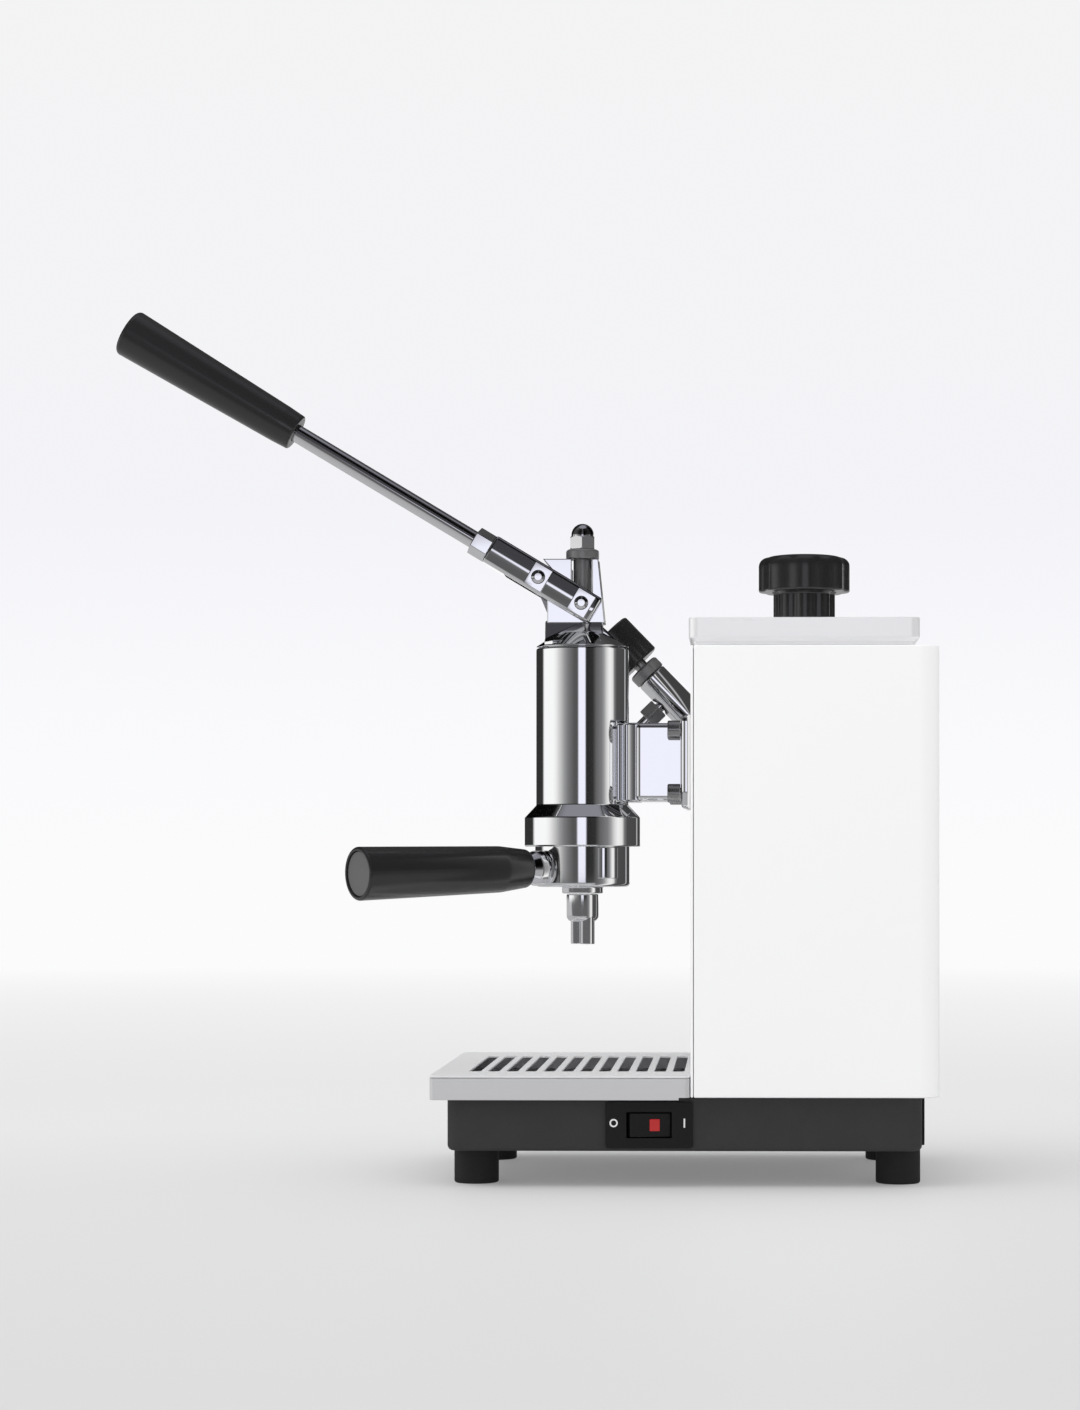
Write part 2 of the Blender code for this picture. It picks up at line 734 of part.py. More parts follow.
def switch():
    face = BASE_WIDTH / 2
    middle = at(face, SWITCH_CENTRE, (FOOT_HEIGHT + BASE_TOP) / 2)
    half_y, half_z = SWITCH_WIDTH / 2, SWITCH_HEIGHT / 2
    bezel = plate(
        "switch_bezel", rectangle(half_y, half_z, SWITCH_CORNER), SWITCH_PLATE,
        middle + Vector((FIT + SWITCH_PLATE / 2, 0, 0)), SIDEWAYS,
    )
    sleeve_y = ROCKER_WIDTH / 2 + ROCKER_PLAY + SWITCH_SLEEVE
    sleeve_z = ROCKER_HEIGHT / 2 + ROCKER_PLAY + SWITCH_SLEEVE
    back = Vector((-SWITCH_DEPTH, -sleeve_y, -sleeve_z))
    front = Vector((FIT + SWITCH_PLATE / 2, sleeve_y, sleeve_z))
    join(bezel, box("switch_case", middle + back, middle + front))
    play_y = ROCKER_WIDTH / 2 + ROCKER_PLAY
    play_z = ROCKER_HEIGHT / 2 + ROCKER_PLAY
    back = Vector((-SWITCH_DEPTH + SWITCH_SLEEVE, -play_y, -play_z))
    front = Vector((SWITCH_PLATE + OVERRUN, play_y, play_z))
    cut(bezel, box("rocker_space", middle + back, middle + front))
    axle = middle + Vector((SWITCH_PLATE - ROCKER_PIVOT_DEPTH, 0, 0))
    span = Vector((0, 0, sleeve_z - SWITCH_SLEEVE / 2))
    cut(bezel, pin("axle_holes", axle - span, axle + span, ROCKER_PIVOT_RADIUS + FIT))
    piece(bezel, BLACK_SWITCH, ROOT)

    carrier = body("rocker_pivot", axle)
    half = ROCKER_WIDTH / 2
    low = ROCKER_PIVOT_DEPTH - ROCKER_THICKNESS
    top = ROCKER_PIVOT_DEPTH
    edge = ROCKER_PLAY
    corners = [(-half, low), (half, low), (half - edge, top), (edge - half, top)]
    outline = tilted(filleted(corners, [0, 0, edge, edge]))
    rocker = plate("switch_rocker", outline, ROCKER_HEIGHT, axle, FACING_SIDE)
    hub = ROCKER_PIVOT_RADIUS + SWITCH_SLEEVE / 2
    join(rocker, pin("rocker_hub", axle - Vector((0, 0, ROCKER_HEIGHT / 2)),
                     axle + Vector((0, 0, ROCKER_HEIGHT / 2)), hub))
    web = Vector((ROCKER_PIVOT_DEPTH - ROCKER_THICKNESS / 2, hub, ROCKER_HEIGHT / 2 - FIT))
    join(rocker, box("rocker_web", axle - Vector((0, hub, ROCKER_HEIGHT / 2 - FIT)), axle + web))
    join(rocker, pin("rocker_axle", axle - span + Vector((0, 0, FIT)), axle + span - Vector((0, 0, FIT)),
                     ROCKER_PIVOT_RADIUS))
    cut(rocker, lamp_block("lamp_hole", axle, FIT, OVERRUN))
    piece(rocker, BLACK_SWITCH, carrier)
    piece(lamp_block("switch_lamp", axle, 0, LAMP_PROUD), RED_LAMP, carrier)


def tilted(outline):
    """An outline round the rocker's axle, turned so that the rear side is pressed in."""
    return [tuple(Matrix.Rotation(-ROCKER_TILT, 2) @ Vector(point)) for point in outline]


def lamp_block(name, axle, gap, proud):
    """The lamp's square lens, or with a gap the hole that it sits in."""
    low = ROCKER_PIVOT_DEPTH - LAMP_DEPTH - gap
    high = ROCKER_PIVOT_DEPTH + proud
    start = LAMP_AT - LAMP_WIDTH / 2 - gap
    end = LAMP_AT + LAMP_WIDTH / 2 + gap
    outline = tilted([(start, low), (end, low), (end, high), (start, high)])
    return plate(name, outline, LAMP_HEIGHT + gap + gap, axle, FACING_SIDE)


def mains_inlet():
    """The socket for a mains lead, low on the back of the base."""
    middle = at(INLET_OFFSET, BASE_BACK, (FOOT_HEIGHT + FIT + BASE_TOP) / 2)
    half_x, half_z = INLET_WIDTH / 2, INLET_HEIGHT / 2
    lip = plate(
        "mains_inlet", rectangle(half_x + INLET_LIP, half_z + INLET_LIP, INLET_LIP), INLET_PLATE,
        middle + Vector((0, FIT + INLET_PLATE / 2, 0)), FACING_FRONT,
    )
    low = middle + Vector((-half_x, -INLET_DEPTH, -half_z))
    high = middle + Vector((half_x, FIT + INLET_PLATE / 2, half_z))
    join(lip, box("inlet_case", low, high))
    wall = Vector((INLET_WALL, INLET_WALL, INLET_WALL))
    mouth = high + Vector((-INLET_WALL, INLET_PLATE + OVERRUN, -INLET_WALL))
    cut(lip, box("inlet_mouth", low + wall, mouth))
    for side in (-1, 0, 1):
        rise = -PRONG_WIDTH / 2 if side == 0 else PRONG_WIDTH / 2
        centre = middle + Vector((side * PRONG_SPREAD, 0, rise))
        half = Vector((PRONG_THICKNESS / 2, 0, PRONG_WIDTH / 2))
        root = Vector((0, -INLET_DEPTH + INLET_WALL / 2, 0))
        tip = root + Vector((0, INLET_WALL / 2 + PRONG_LENGTH, 0))
        join(lip, box("prong", centre - half + root, centre + half + tip))
    piece(lip, BLACK_SWITCH, ROOT)


# Housing

def shell():
    middle_y = (SHELL_FRONT + PANEL_WALL + FIT + SHELL_BACK) / 2
    depth = SHELL_BACK - SHELL_FRONT - PANEL_WALL - FIT
    middle = at(0, middle_y, (SHELL_BOTTOM + SHELL_TOP) / 2)
    half_x, half_y = SHELL_WIDTH / 2, depth / 2
    corners = [(-half_x, -half_y), (half_x, -half_y), (half_x, half_y), (-half_x, half_y)]
    skin = plate(
        "housing_shell", filleted(corners, [0, 0, SHELL_CORNER, SHELL_CORNER]),
        SHELL_TOP - SHELL_BOTTOM, middle,
    )
    ahead = OVERRUN / 2
    inner = half_x - SHELL_WALL
    corners = [
        (-inner, -half_y - ahead), (inner, -half_y - ahead),
        (inner, half_y - SHELL_WALL), (-inner, half_y - SHELL_WALL),
    ]
    round_inside = SHELL_CORNER - SHELL_WALL
    cut(skin, plate(
        "shell_hollow", filleted(corners, [0, 0, round_inside, round_inside]),
        SHELL_TOP - SHELL_BOTTOM - SHELL_WALL - SHELL_WALL, middle,
    ))
    low = middle - Vector((half_x - SHELL_FLANGE, half_y + OVERRUN, SHELL_TOP - SHELL_BOTTOM))
    high = middle + Vector((half_x - SHELL_FLANGE, half_y - SHELL_FLANGE, SHELL_TOP - SHELL_BOTTOM))
    cut(skin, box("shell_openings", low, high))
    return piece(skin, WHITE_PAINT, ROOT)


def valve_axis(distance):
    """A point on the steam valve's axis, measured forward and up from the front panel."""
    return at(-VALVE_X, SHELL_FRONT, VALVE_Z) + VALVE_LINE * distance


def bolt_places():
    return [(x, z) for z in (BOLT_HIGH, BOLT_LOW) for x in (BOLT_X, -BOLT_X)]


def front_panel():
    half = SHELL_WIDTH / 2
    low = at(-half, SHELL_FRONT, SHELL_BOTTOM)
    high = at(half, SHELL_FRONT + PANEL_WALL, SHELL_TOP)
    panel = box("front_panel", low, high)
    hole = pin("valve_hole", valve_axis(-VALVE_INSIDE - OVERRUN), valve_axis(VALVE_INSIDE),
               VALVE_RADIUS + FIT, STEPS_MEDIUM)
    cut(panel, hole)
    for x, z in bolt_places():
        start = at(x, SHELL_FRONT - OVERRUN, z)
        end = at(x, SHELL_FRONT + PANEL_WALL + OVERRUN, z)
        cut(panel, pin("bolt_hole", start, end, BOLT_RADIUS + FIT))
    return piece(panel, WHITE_PAINT, ROOT)


def cup_tray():
    """The sheet-metal tray on top of the housing, stepped in where it drops into the opening."""
    middle_y = (CUP_TRAY_FRONT + CUP_TRAY_BACK) / 2
    half_x = CUP_TRAY_WIDTH / 2
    half_y = (CUP_TRAY_BACK - CUP_TRAY_FRONT) / 2
    bottom = SHELL_TOP + FIT
    middle = at(0, middle_y, (bottom + CUP_TRAY_TOP) / 2)
    height = CUP_TRAY_TOP - bottom
    step = CUP_TRAY_STEP
    raised = Vector((0, 0, CUP_TRAY_STEP_HEIGHT / 2))
    tray = plate(
        "cup_tray", rectangle(half_x, half_y, CUP_TRAY_CORNER), height - CUP_TRAY_STEP_HEIGHT,
        middle + raised,
    )
    foot = CUP_TRAY_FLOOR - CUP_TRAY_WALL / 2
    join(tray, plate(
        "tray_foot", rectangle(half_x - step, half_y - step, CUP_TRAY_CORNER - step), foot,
        at(0, middle_y, bottom + foot / 2),
    ))
    inner = rectangle(
        half_x - CUP_TRAY_WALL, half_y - CUP_TRAY_WALL, CUP_TRAY_CORNER - CUP_TRAY_WALL
    )
    cut(tray, plate("tray_recess", inner, height, middle + Vector((0, 0, CUP_TRAY_FLOOR))))
    under = rectangle(half_x - CUP_TRAY_CORNER, half_y - CUP_TRAY_CORNER, CUP_TRAY_CORNER)
    thickness = CUP_TRAY_FLOOR - CUP_TRAY_WALL
    below = Vector((0, 0, -height / 2 + (thickness - OVERRUN) / 2))
    cut(tray, plate("tray_underside", under, thickness + OVERRUN, middle + below))
    top = at(0, BOILER_Y, CUP_TRAY_TOP)
    cut(tray, pin("neck_hole", at(0, BOILER_Y, SHELL_BOTTOM), top, NECK_RADIUS + FIT, STEPS_LARGE))
    return piece(tray, STEEL, ROOT)


# Drip tray

def drip_tray():
    back = SHELL_FRONT - FIT
    middle_y = (back - TRAY_FRONT) / 2
    half_x, half_y = TRAY_WIDTH / 2, (back + TRAY_FRONT) / 2
    bottom = BASE_TOP - TRAY_SKIRT
    middle = at(0, middle_y, (bottom + TRAY_TOP) / 2)
    height = TRAY_TOP - bottom
    carrier = body("drip_tray_lift", at(0, middle_y, BASE_TOP + FIT))
    tray = plate("drip_tray", rectangle(half_x, half_y, TRAY_CORNER), height, middle)
    inner = rectangle(half_x - TRAY_WALL, half_y - TRAY_WALL, TRAY_CORNER - TRAY_WALL)
    floor = Vector((0, 0, TRAY_SKIRT + FIT + TRAY_WALL))
    cut(tray, plate("tray_hollow", inner, height, middle + floor))
    low = at(-BASE_WIDTH / 2 - TRAY_SIDE_CLEARANCE, -BASE_FRONT - TRAY_SIDE_CLEARANCE, bottom - OVERRUN)
    high = at(BASE_WIDTH / 2 + TRAY_SIDE_CLEARANCE, SHELL_FRONT + OVERRUN, BASE_TOP + FIT)
    cut(tray, box("tray_step", low, high))
    piece(tray, STEEL, carrier)

    lift = body("drip_grille_lift", at(0, middle_y, TRAY_TOP + FIT))
    centre = at(0, middle_y, TRAY_TOP + FIT + GRILLE_WALL / 2)
    grille = plate("drip_grille", rectangle(half_x, half_y, TRAY_CORNER), GRILLE_WALL, centre)
    for number in range(GRILLE_SLOTS):
        y = -GRILLE_FIRST_SLOT + number * GRILLE_PITCH
        slot = rectangle(GRILLE_SLOT_LENGTH / 2, GRILLE_SLOT_WIDTH / 2, GRILLE_SLOT_WIDTH / 3)
        place = at(0, y, TRAY_TOP + FIT + GRILLE_WALL / 2)
        cut(grille, plate("grille_slot", slot, GRILLE_WALL + OVERRUN, place))
    piece(grille, STEEL, lift)


# Boiler

def boiler():
    wall = BOILER_WALL
    inner = BOILER_RADIUS - wall
    outline = filleted(
        [
            (NECK_RADIUS, NECK_TOP), (NECK_RADIUS, BOILER_TOP), (BOILER_RADIUS, BOILER_TOP),
            (BOILER_RADIUS, BOILER_BOTTOM), (ELEMENT_PORT_RADIUS, BOILER_BOTTOM),
            (ELEMENT_PORT_RADIUS, BOILER_BOTTOM + wall), (inner, BOILER_BOTTOM + wall),
            (inner, BOILER_TOP - wall), (NECK_BORE, BOILER_TOP - wall), (NECK_BORE, NECK_TOP),
        ],
        [0, 0, BOILER_DOME, BOILER_DOME, 0, 0, BOILER_DOME - wall, BOILER_DOME - wall, 0, 0],
    )
    tank = turned("boiler", outline, at(0, BOILER_Y, 0), closed=True, steps=STEPS_BOILER)
    front = SHELL_FRONT + PANEL_WALL + FIT
    half = FLANGE_HALF_WIDTH
    low = at(-half, front, BOLT_LOW - FLANGE_CORNER)
    high = at(half, front + BOILER_PAD, BOLT_HIGH + FLANGE_CORNER)
    pad = box("boiler_pad", low, high)
    nose_z = (NECK_BLOCK_TOP + NECK_BLOCK_BOTTOM) / 2
    deep = BOILER_Y - BOILER_RADIUS + wall / 2
    nose = box(
        "boiler_nose",
        at(-NECK_BLOCK_HALF_WIDTH, front + BOILER_PAD / 2, NECK_BLOCK_BOTTOM),
        at(NECK_BLOCK_HALF_WIDTH, deep + sagitta(NECK_BLOCK_HALF_WIDTH), NECK_BLOCK_TOP),
    )
    join(pad, nose)
    bore = pin("boiler_inside", at(0, BOILER_Y, BOILER_BOTTOM), at(0, BOILER_Y, BOILER_TOP),
               BOILER_RADIUS - wall / 2, STEPS_BOILER)
    cut(pad, bore)
    join(tank, pad)
    channel = NECK_BLOCK_EDGE * 4
    start = at(0, front - OVERRUN, nose_z)
    cut(tank, pin("water_way", start, at(0, BOILER_Y - BOILER_RADIUS / 2, nose_z), channel))
    for x, z in bolt_places():
        start = at(x, SHELL_FRONT, z)
        end = at(x, front + BOILER_PAD + OVERRUN, z)
        cut(tank, pin("bolt_hole", start, end, BOLT_RADIUS + FIT))
    valve = at(SAFETY_OFFSET, BOILER_Y, 0)
    low = valve + Vector((0, 0, BOILER_TOP - wall - OVERRUN))
    high = valve + Vector((0, 0, BOILER_TOP + OVERRUN))
    cut(tank, pin("safety_hole", low, high, SAFETY_RADIUS / 2 + FIT))
    return piece(tank, BRASS, ROOT)


def sagitta(half_width):
    """How much further back the round boiler lies at this distance from its middle."""
    return BOILER_RADIUS - math.sqrt(BOILER_RADIUS ** 2 - half_width ** 2)


def boiler_saddle():
    """The sheet-metal ring and feet that hold the boiler over the base."""
    top = BOILER_BOTTOM - FIT
    ring = turned(
        "boiler_saddle",
        [
            (SADDLE_RADIUS, top), (SADDLE_RADIUS, BASE_TOP / 2 + BASE_WALL),
            (SADDLE_RADIUS - SADDLE_WALL, BASE_TOP / 2 + BASE_WALL), (SADDLE_RADIUS - SADDLE_WALL, top),
        ],
        at(0, BOILER_Y, 0), closed=True,
    )
    foot_z = FOOT_HEIGHT + FIT + BASE_WALL + FIT
    for side in (-1, 1):
        low = at(side * SADDLE_RADIUS - SADDLE_WALL * 4, BOILER_Y - SADDLE_WALL * 5, foot_z)
        high = at(side * SADDLE_RADIUS + SADDLE_WALL * 4, BOILER_Y + SADDLE_WALL * 5,
                  BASE_TOP / 2 + BASE_WALL + SADDLE_WALL)
        join(ring, box("saddle_foot", low, high))
    return piece(ring, STEEL, ROOT)


def heating_element():
    """A flanged immersion heater that screws into the bottom of the boiler."""
    top = BOILER_BOTTOM - FIT
    flange = turned(
        "heating_element",
        filleted(
            [
                (0, BOILER_BOTTOM + BOILER_WALL), (ELEMENT_PORT_RADIUS - FIT, BOILER_BOTTOM + BOILER_WALL),
                (ELEMENT_PORT_RADIUS - FIT, top), (ELEMENT_FLANGE_RADIUS, top),
                (ELEMENT_FLANGE_RADIUS, top - ELEMENT_FLANGE), (0, top - ELEMENT_FLANGE),
            ],
            [0, 0, 0, 0, BOILER_WALL / 2, 0], closed=False,
        ),
        at(0, BOILER_Y, 0),
    )
    points = []
    reach = ELEMENT_LOOP / 2
    floor = BOILER_BOTTOM + BOILER_WALL / 2
    ceiling = BOILER_BOTTOM + ELEMENT_HEIGHT
    corners = [
        at(-reach, BOILER_Y, floor), at(-reach, BOILER_Y, ceiling),
        at(reach, BOILER_Y, ceiling), at(reach, BOILER_Y, floor),
    ]
    points = bent(corners, reach - ELEMENT_RADIUS / 4)
    join(flange, tube("element_loop", points, ELEMENT_RADIUS, 2))
    return piece(flange, STEEL, ROOT)


def safety_valve():
    base = BOILER_TOP + FIT
    outline = filleted(
        [
            (0, base + SAFETY_HEIGHT), (SAFETY_RADIUS, base + SAFETY_HEIGHT), (SAFETY_RADIUS, base),
            (SAFETY_RADIUS / 2, base), (SAFETY_RADIUS / 2, BOILER_TOP - BOILER_WALL),
            (0, BOILER_TOP - BOILER_WALL),
        ],
        [0, SAFETY_RADIUS / 4, 0, 0, 0, 0], closed=False,
    )
    valve = turned("safety_valve", outline, at(SAFETY_OFFSET, BOILER_Y, 0), steps=STEPS_SMALL)
    centre = at(SAFETY_OFFSET, BOILER_Y, base + SAFETY_HEX / 2)
    join(valve, plate("safety_hex", hexagon(SAFETY_HEX_RADIUS), SAFETY_HEX, centre))
    return piece(valve, BRASS, ROOT)


def pressure_switch():
    """The pressurestat, on a short stem behind the boiler."""
    face = BOILER_Y + BOILER_RADIUS + FIT
    start = at(0, face, STAT_Z)
    stem = pin("stat_stem", start, start + Vector((0, STAT_STEM + STAT_EDGE, 0)), STAT_STEM_RADIUS)
    half = STAT_SIZE / 2
    low = start + Vector((-half, STAT_STEM, -half))
    high = start + Vector((half, STAT_STEM + STAT_DEPTH / 2, half))
    case = box("pressure_switch", low, high, STAT_EDGE, 1)
    join(case, stem)
    return piece(case, BLACK_SWITCH, ROOT)


# Brewing group

def group_casting():
    """The brewing cylinder with its bell, the square neck and the flange, cast as one."""
    outline = filleted(
        [
            (CYLINDER_RADIUS, CYLINDER_TOP), (CYLINDER_RADIUS, BELL_TOP), (BELL_RADIUS, BELL_SHOULDER),
            (BELL_RADIUS, BELL_BOTTOM), (BELL_LIP_RADIUS, BELL_BOTTOM),
            (BELL_LIP_RADIUS, BELL_BOTTOM + BELL_LIP), (BELL_INNER_RADIUS, BELL_BOTTOM + BELL_LIP),
            (BELL_INNER_RADIUS, GASKET_TOP + FIT), (SCREEN_SEAT, GASKET_TOP + FIT),
            (SCREEN_SEAT, SCREEN_TOP + FIT), (BORE_RADIUS, SCREEN_TOP + FIT), (BORE_RADIUS, CYLINDER_TOP),
        ],
        [CYLINDER_EDGE, 0, BELL_EDGE, BELL_EDGE, 0, 0, 0, 0, 0, 0, 0, 0],
    )
    group = turned("group_casting", outline, at(0, 0, 0), closed=True, steps=STEPS_LARGE)
    neck = plate(
        "neck_block",
        rectangle((FLANGE_FACE + FIT - NECK_BLOCK_START) / 2 + NECK_BLOCK_EDGE,
                  (NECK_BLOCK_TOP - NECK_BLOCK_BOTTOM) / 2, NECK_BLOCK_EDGE),
        NECK_BLOCK_HALF_WIDTH * 2,
        at(0, (NECK_BLOCK_START + FLANGE_FACE) / 2 + NECK_BLOCK_EDGE,
           (NECK_BLOCK_BOTTOM + NECK_BLOCK_TOP) / 2),
        SIDEWAYS,
    )
    half = NECK_PAD_HALF_WIDTH
    root = CYLINDER_RADIUS - (CYLINDER_RADIUS - BORE_RADIUS) / 2
    root_y = math.sqrt(root ** 2 - half ** 2)
    pad = box("neck_pad", at(-half, root_y, NECK_BLOCK_BOTTOM - NECK_PAD_INSET),
              at(half, NECK_BLOCK_START + NECK_BLOCK_EDGE * 2, NECK_BLOCK_TOP + NECK_PAD_INSET),
              NECK_PAD_INSET, 1)
    cut(pad, pin("pad_bore", at(0, 0, BELL_BOTTOM), at(0, 0, CYLINDER_TOP), root, STEPS_LARGE))
    flange = flange_plate()
    join(neck, pad, flange)
    join(group, neck)
    channel = NECK_BLOCK_EDGE * 4
    centre_z = (NECK_BLOCK_BOTTOM + NECK_BLOCK_TOP) / 2
    cut(group, pin("water_way", at(0, 0, centre_z), at(0, SHELL_FRONT + OVERRUN, centre_z), channel))
    for x, z in bolt_places():
        start = at(x, FLANGE_FACE - OVERRUN, z)
        cut(group, pin("bolt_hole", start, at(x, SHELL_FRONT + OVERRUN, z), BOLT_RADIUS + FIT))
    for side in (1, -1):
        cut(group, notch_cutter(side))
    low = at(-LINK_HALF_THICKNESS - LINK_PLAY, -CYLINDER_RADIUS + CAP_WALL / 4, CYLINDER_TOP - CAP_WALL * 3)
    high = at(LINK_HALF_THICKNESS + LINK_PLAY, 0, CYLINDER_TOP + OVERRUN)
    cut(group, box("link_relief", low, high))
    return piece(group, CHROME, ROOT)


def flange_plate():
    width = FLANGE_HALF_WIDTH
    taper = FLANGE_CORNER / 2
    corners = [
        (-width + taper, FLANGE_BOTTOM), (width - taper, FLANGE_BOTTOM), (width, BOLT_LOW),
        (width, FLANGE_TOP), (-width, FLANGE_TOP), (-width, BOLT_LOW),
    ]
    corner = FLANGE_CORNER / 2
    outline = filleted(corners, [corner, corner, corner, corner, corner, corner])
    thickness = SHELL_FRONT - FIT - FLANGE_FACE
    return plate("flange", outline, thickness, at(0, FLANGE_FACE + thickness / 2, 0), FACING_FRONT)


def ear_line(side):
    """The direction from the group's axis to an ear of the portafilter."""
    turn = HANDLE_TURN + side * math.pi / 2
    return Vector((math.sin(turn), -math.cos(turn), 0))


def notch_cutter(side):
    """The cut-out in the bell through which an ear of the portafilter enters."""
    line = ear_line(side)
    cutter = box(
        "bell_notch", (-BELL_NOTCH / 2, BELL_LIP_RADIUS - BELL_LIP, BELL_BOTTOM - OVERRUN),
        (BELL_NOTCH / 2, BELL_RADIUS + OVERRUN, EAR_TOP + EAR_CLEARANCE * 2),
    )
    cutter.matrix_world = Matrix.Translation(at(0, 0, 0)) @ Matrix.Rotation(
        math.atan2(line.y, line.x) - math.pi / 2, 4, "Z"
    ) @ Matrix.Translation(cutter.location)
    return cutter


def group_seal():
    outline = [
        (BELL_INNER_RADIUS - FIT, GASKET_TOP), (BELL_INNER_RADIUS - FIT, GASKET_TOP - GASKET_THICKNESS),
        (GASKET_INNER_RADIUS + FIT, GASKET_TOP - GASKET_THICKNESS), (GASKET_INNER_RADIUS + FIT, GASKET_TOP),
    ]
    ring = turned("group_gasket", outline, at(0, 0, 0), closed=True, steps=STEPS_LARGE)
    piece(ring, RUBBER, ROOT)
    low = SCREEN_TOP - SCREEN_HEIGHT
    outline = [
        (SCREEN_SEAT - FIT, SCREEN_TOP), (SCREEN_SEAT - FIT, low), (0, low), (0, low + SCREEN_WALL),
        (SCREEN_SEAT - FIT - SCREEN_RIM, low + SCREEN_WALL), (SCREEN_SEAT - FIT - SCREEN_RIM, SCREEN_TOP),
    ]
    screen = turned("shower_screen", outline, at(0, 0, 0), closed=True, steps=STEPS_LARGE)
    return piece(screen, STEEL, ROOT)


def flange_bolts():
    for number, (x, z) in enumerate(bolt_places(), 1):
        face = -FIT
        tail = -(SHELL_FRONT + PANEL_WALL + FIT + BOILER_PAD - FLANGE_FACE)
        outline = filleted(
            [
                (0, face + BOLT_HEAD - BOLT_SOCKET_DEPTH), (BOLT_SOCKET_RADIUS, face + BOLT_HEAD
                                                            - BOLT_SOCKET_DEPTH),
                (BOLT_SOCKET_RADIUS, face + BOLT_HEAD), (BOLT_HEAD_RADIUS, face + BOLT_HEAD),
                (BOLT_HEAD_RADIUS, face), (BOLT_RADIUS, face), (BOLT_RADIUS, tail), (0, tail),
            ],
            [0, 0, 0, BOLT_SOCKET_RADIUS / 4, 0, 0, 0, 0], closed=False,
        )
        place = at(x, FLANGE_FACE - FIT - FIT, z)
        bolt = turned(f"flange_bolt_{number}", outline, place, Vector((0, -1, 0)), steps=STEPS_SMALL)
        piece(bolt, STEEL, ROOT)


# Lever bracket

def lever_bracket():
    """The polished bracket on the cylinder: a screwed cap, two cheeks and a bridge over the hanger."""
    seat = CYLINDER_TOP + FIT
    spigot = BORE_RADIUS - SPIGOT_CLEARANCE
    outline = filleted(
        [
            (0, CAP_SHOULDER_TOP), (CAP_TOP_RADIUS, CAP_SHOULDER_TOP), (CYLINDER_RADIUS, seat + FIT),
            (CYLINDER_RADIUS, seat), (spigot, seat), (spigot, seat - SPIGOT_DEPTH),
            (spigot - CAP_WALL / 2, seat - SPIGOT_DEPTH), (spigot - CAP_WALL / 2, seat), (0, seat),
        ],
        [0, PEDESTAL_EDGE, 0, 0, 0, 0, 0, 0, 0], closed=False,
    )
    cap = turned("lever_bracket", outline, at(0, 0, 0), steps=STEPS_LARGE)
    half = CHEEK_OUTER + FIT
    pedestal = box("pedestal", at(-half, -PEDESTAL_FRONT, seat + FIT + FIT),
                   at(half, PEDESTAL_BACK, PEDESTAL_TOP), PEDESTAL_EDGE)
    join(cap, pedestal)
    for side in (1, -1):
        join(cap, cheek(side))
    bridge = box("bridge", at(-CHEEK_OUTER + CHEEK_WALL / 2, -BRIDGE_FRONT, BRACKET_TOP - BRIDGE_HEIGHT),
                 at(CHEEK_OUTER - CHEEK_WALL / 2, BRACKET_TOP_BACK - CHEEK_CORNER, BRACKET_TOP - FIT))
    join(cap, bridge)
    top = at(0, 0, BRACKET_TOP + OVERRUN)
    cut(cap, pin("hanger_hole", at(0, 0, FULCRUM_Z), top, HANGER_RADIUS + FIT, STEPS_MEDIUM))
    reach = LINK_HALF_THICKNESS + LINK_PLAY
    low = at(-reach, -PEDESTAL_FRONT - OVERRUN, CYLINDER_TOP - SPIGOT_DEPTH - OVERRUN)
    high = at(reach, LINK_EYE, PEDESTAL_TOP + OVERRUN)
    cut(cap, box("link_slot", low, high))
    return piece(cap, CHROME, ROOT)


def cheek(side):
    """One side of the bracket, hollowed in front where the drive pin passes on its arc."""
    sweep = PIN_SPACING - PIN_RADIUS - DRIVE_CLEARANCE
    high = LEVER_ANGLE + DRIVE_SWEEP_UP + math.asin((PIN_RADIUS + DRIVE_CLEARANCE) / PIN_SPACING)
    low = math.acos(min(BRACKET_FRONT / sweep, 1))
    arc = []
    for k in range(FILLET_PIECES * 2 + 1):
        angle = high + (low - high) * k / (FILLET_PIECES * 2)
        arc.append((-sweep * math.cos(angle), FULCRUM_Z + sweep * math.sin(angle)))
    horn = (BRACKET_TOP - FULCRUM_Z) / math.tan(high)
    root = (PEDESTAL_TOP + CYLINDER_TOP) / 2
    outline = [(-horn, BRACKET_TOP)] + arc + [
        (-BRACKET_FRONT, root), (BRACKET_BACK, root),
        (BRACKET_TOP_BACK, BRACKET_TOP),
    ]
    centre = at(side * (CHEEK_OUTER - CHEEK_WALL / 2), 0, 0)
    wall = plate("cheek", outline, CHEEK_WALL, centre, SIDEWAYS)
    slot = HANGER_RADIUS + HANGER_SLOT
    corners = [
        (-slot, FULCRUM_Z - slot), (slot, FULCRUM_Z - slot),
        (slot, BRACKET_TOP + OVERRUN), (-slot, BRACKET_TOP + OVERRUN),
    ]
    opening = filleted(corners, [slot * SLOT_ROUND_SHARE, slot * SLOT_ROUND_SHARE, 0, 0])
    cut(wall, plate("hanger_slot", opening, CHEEK_WALL + OVERRUN, centre, SIDEWAYS))
    return wall


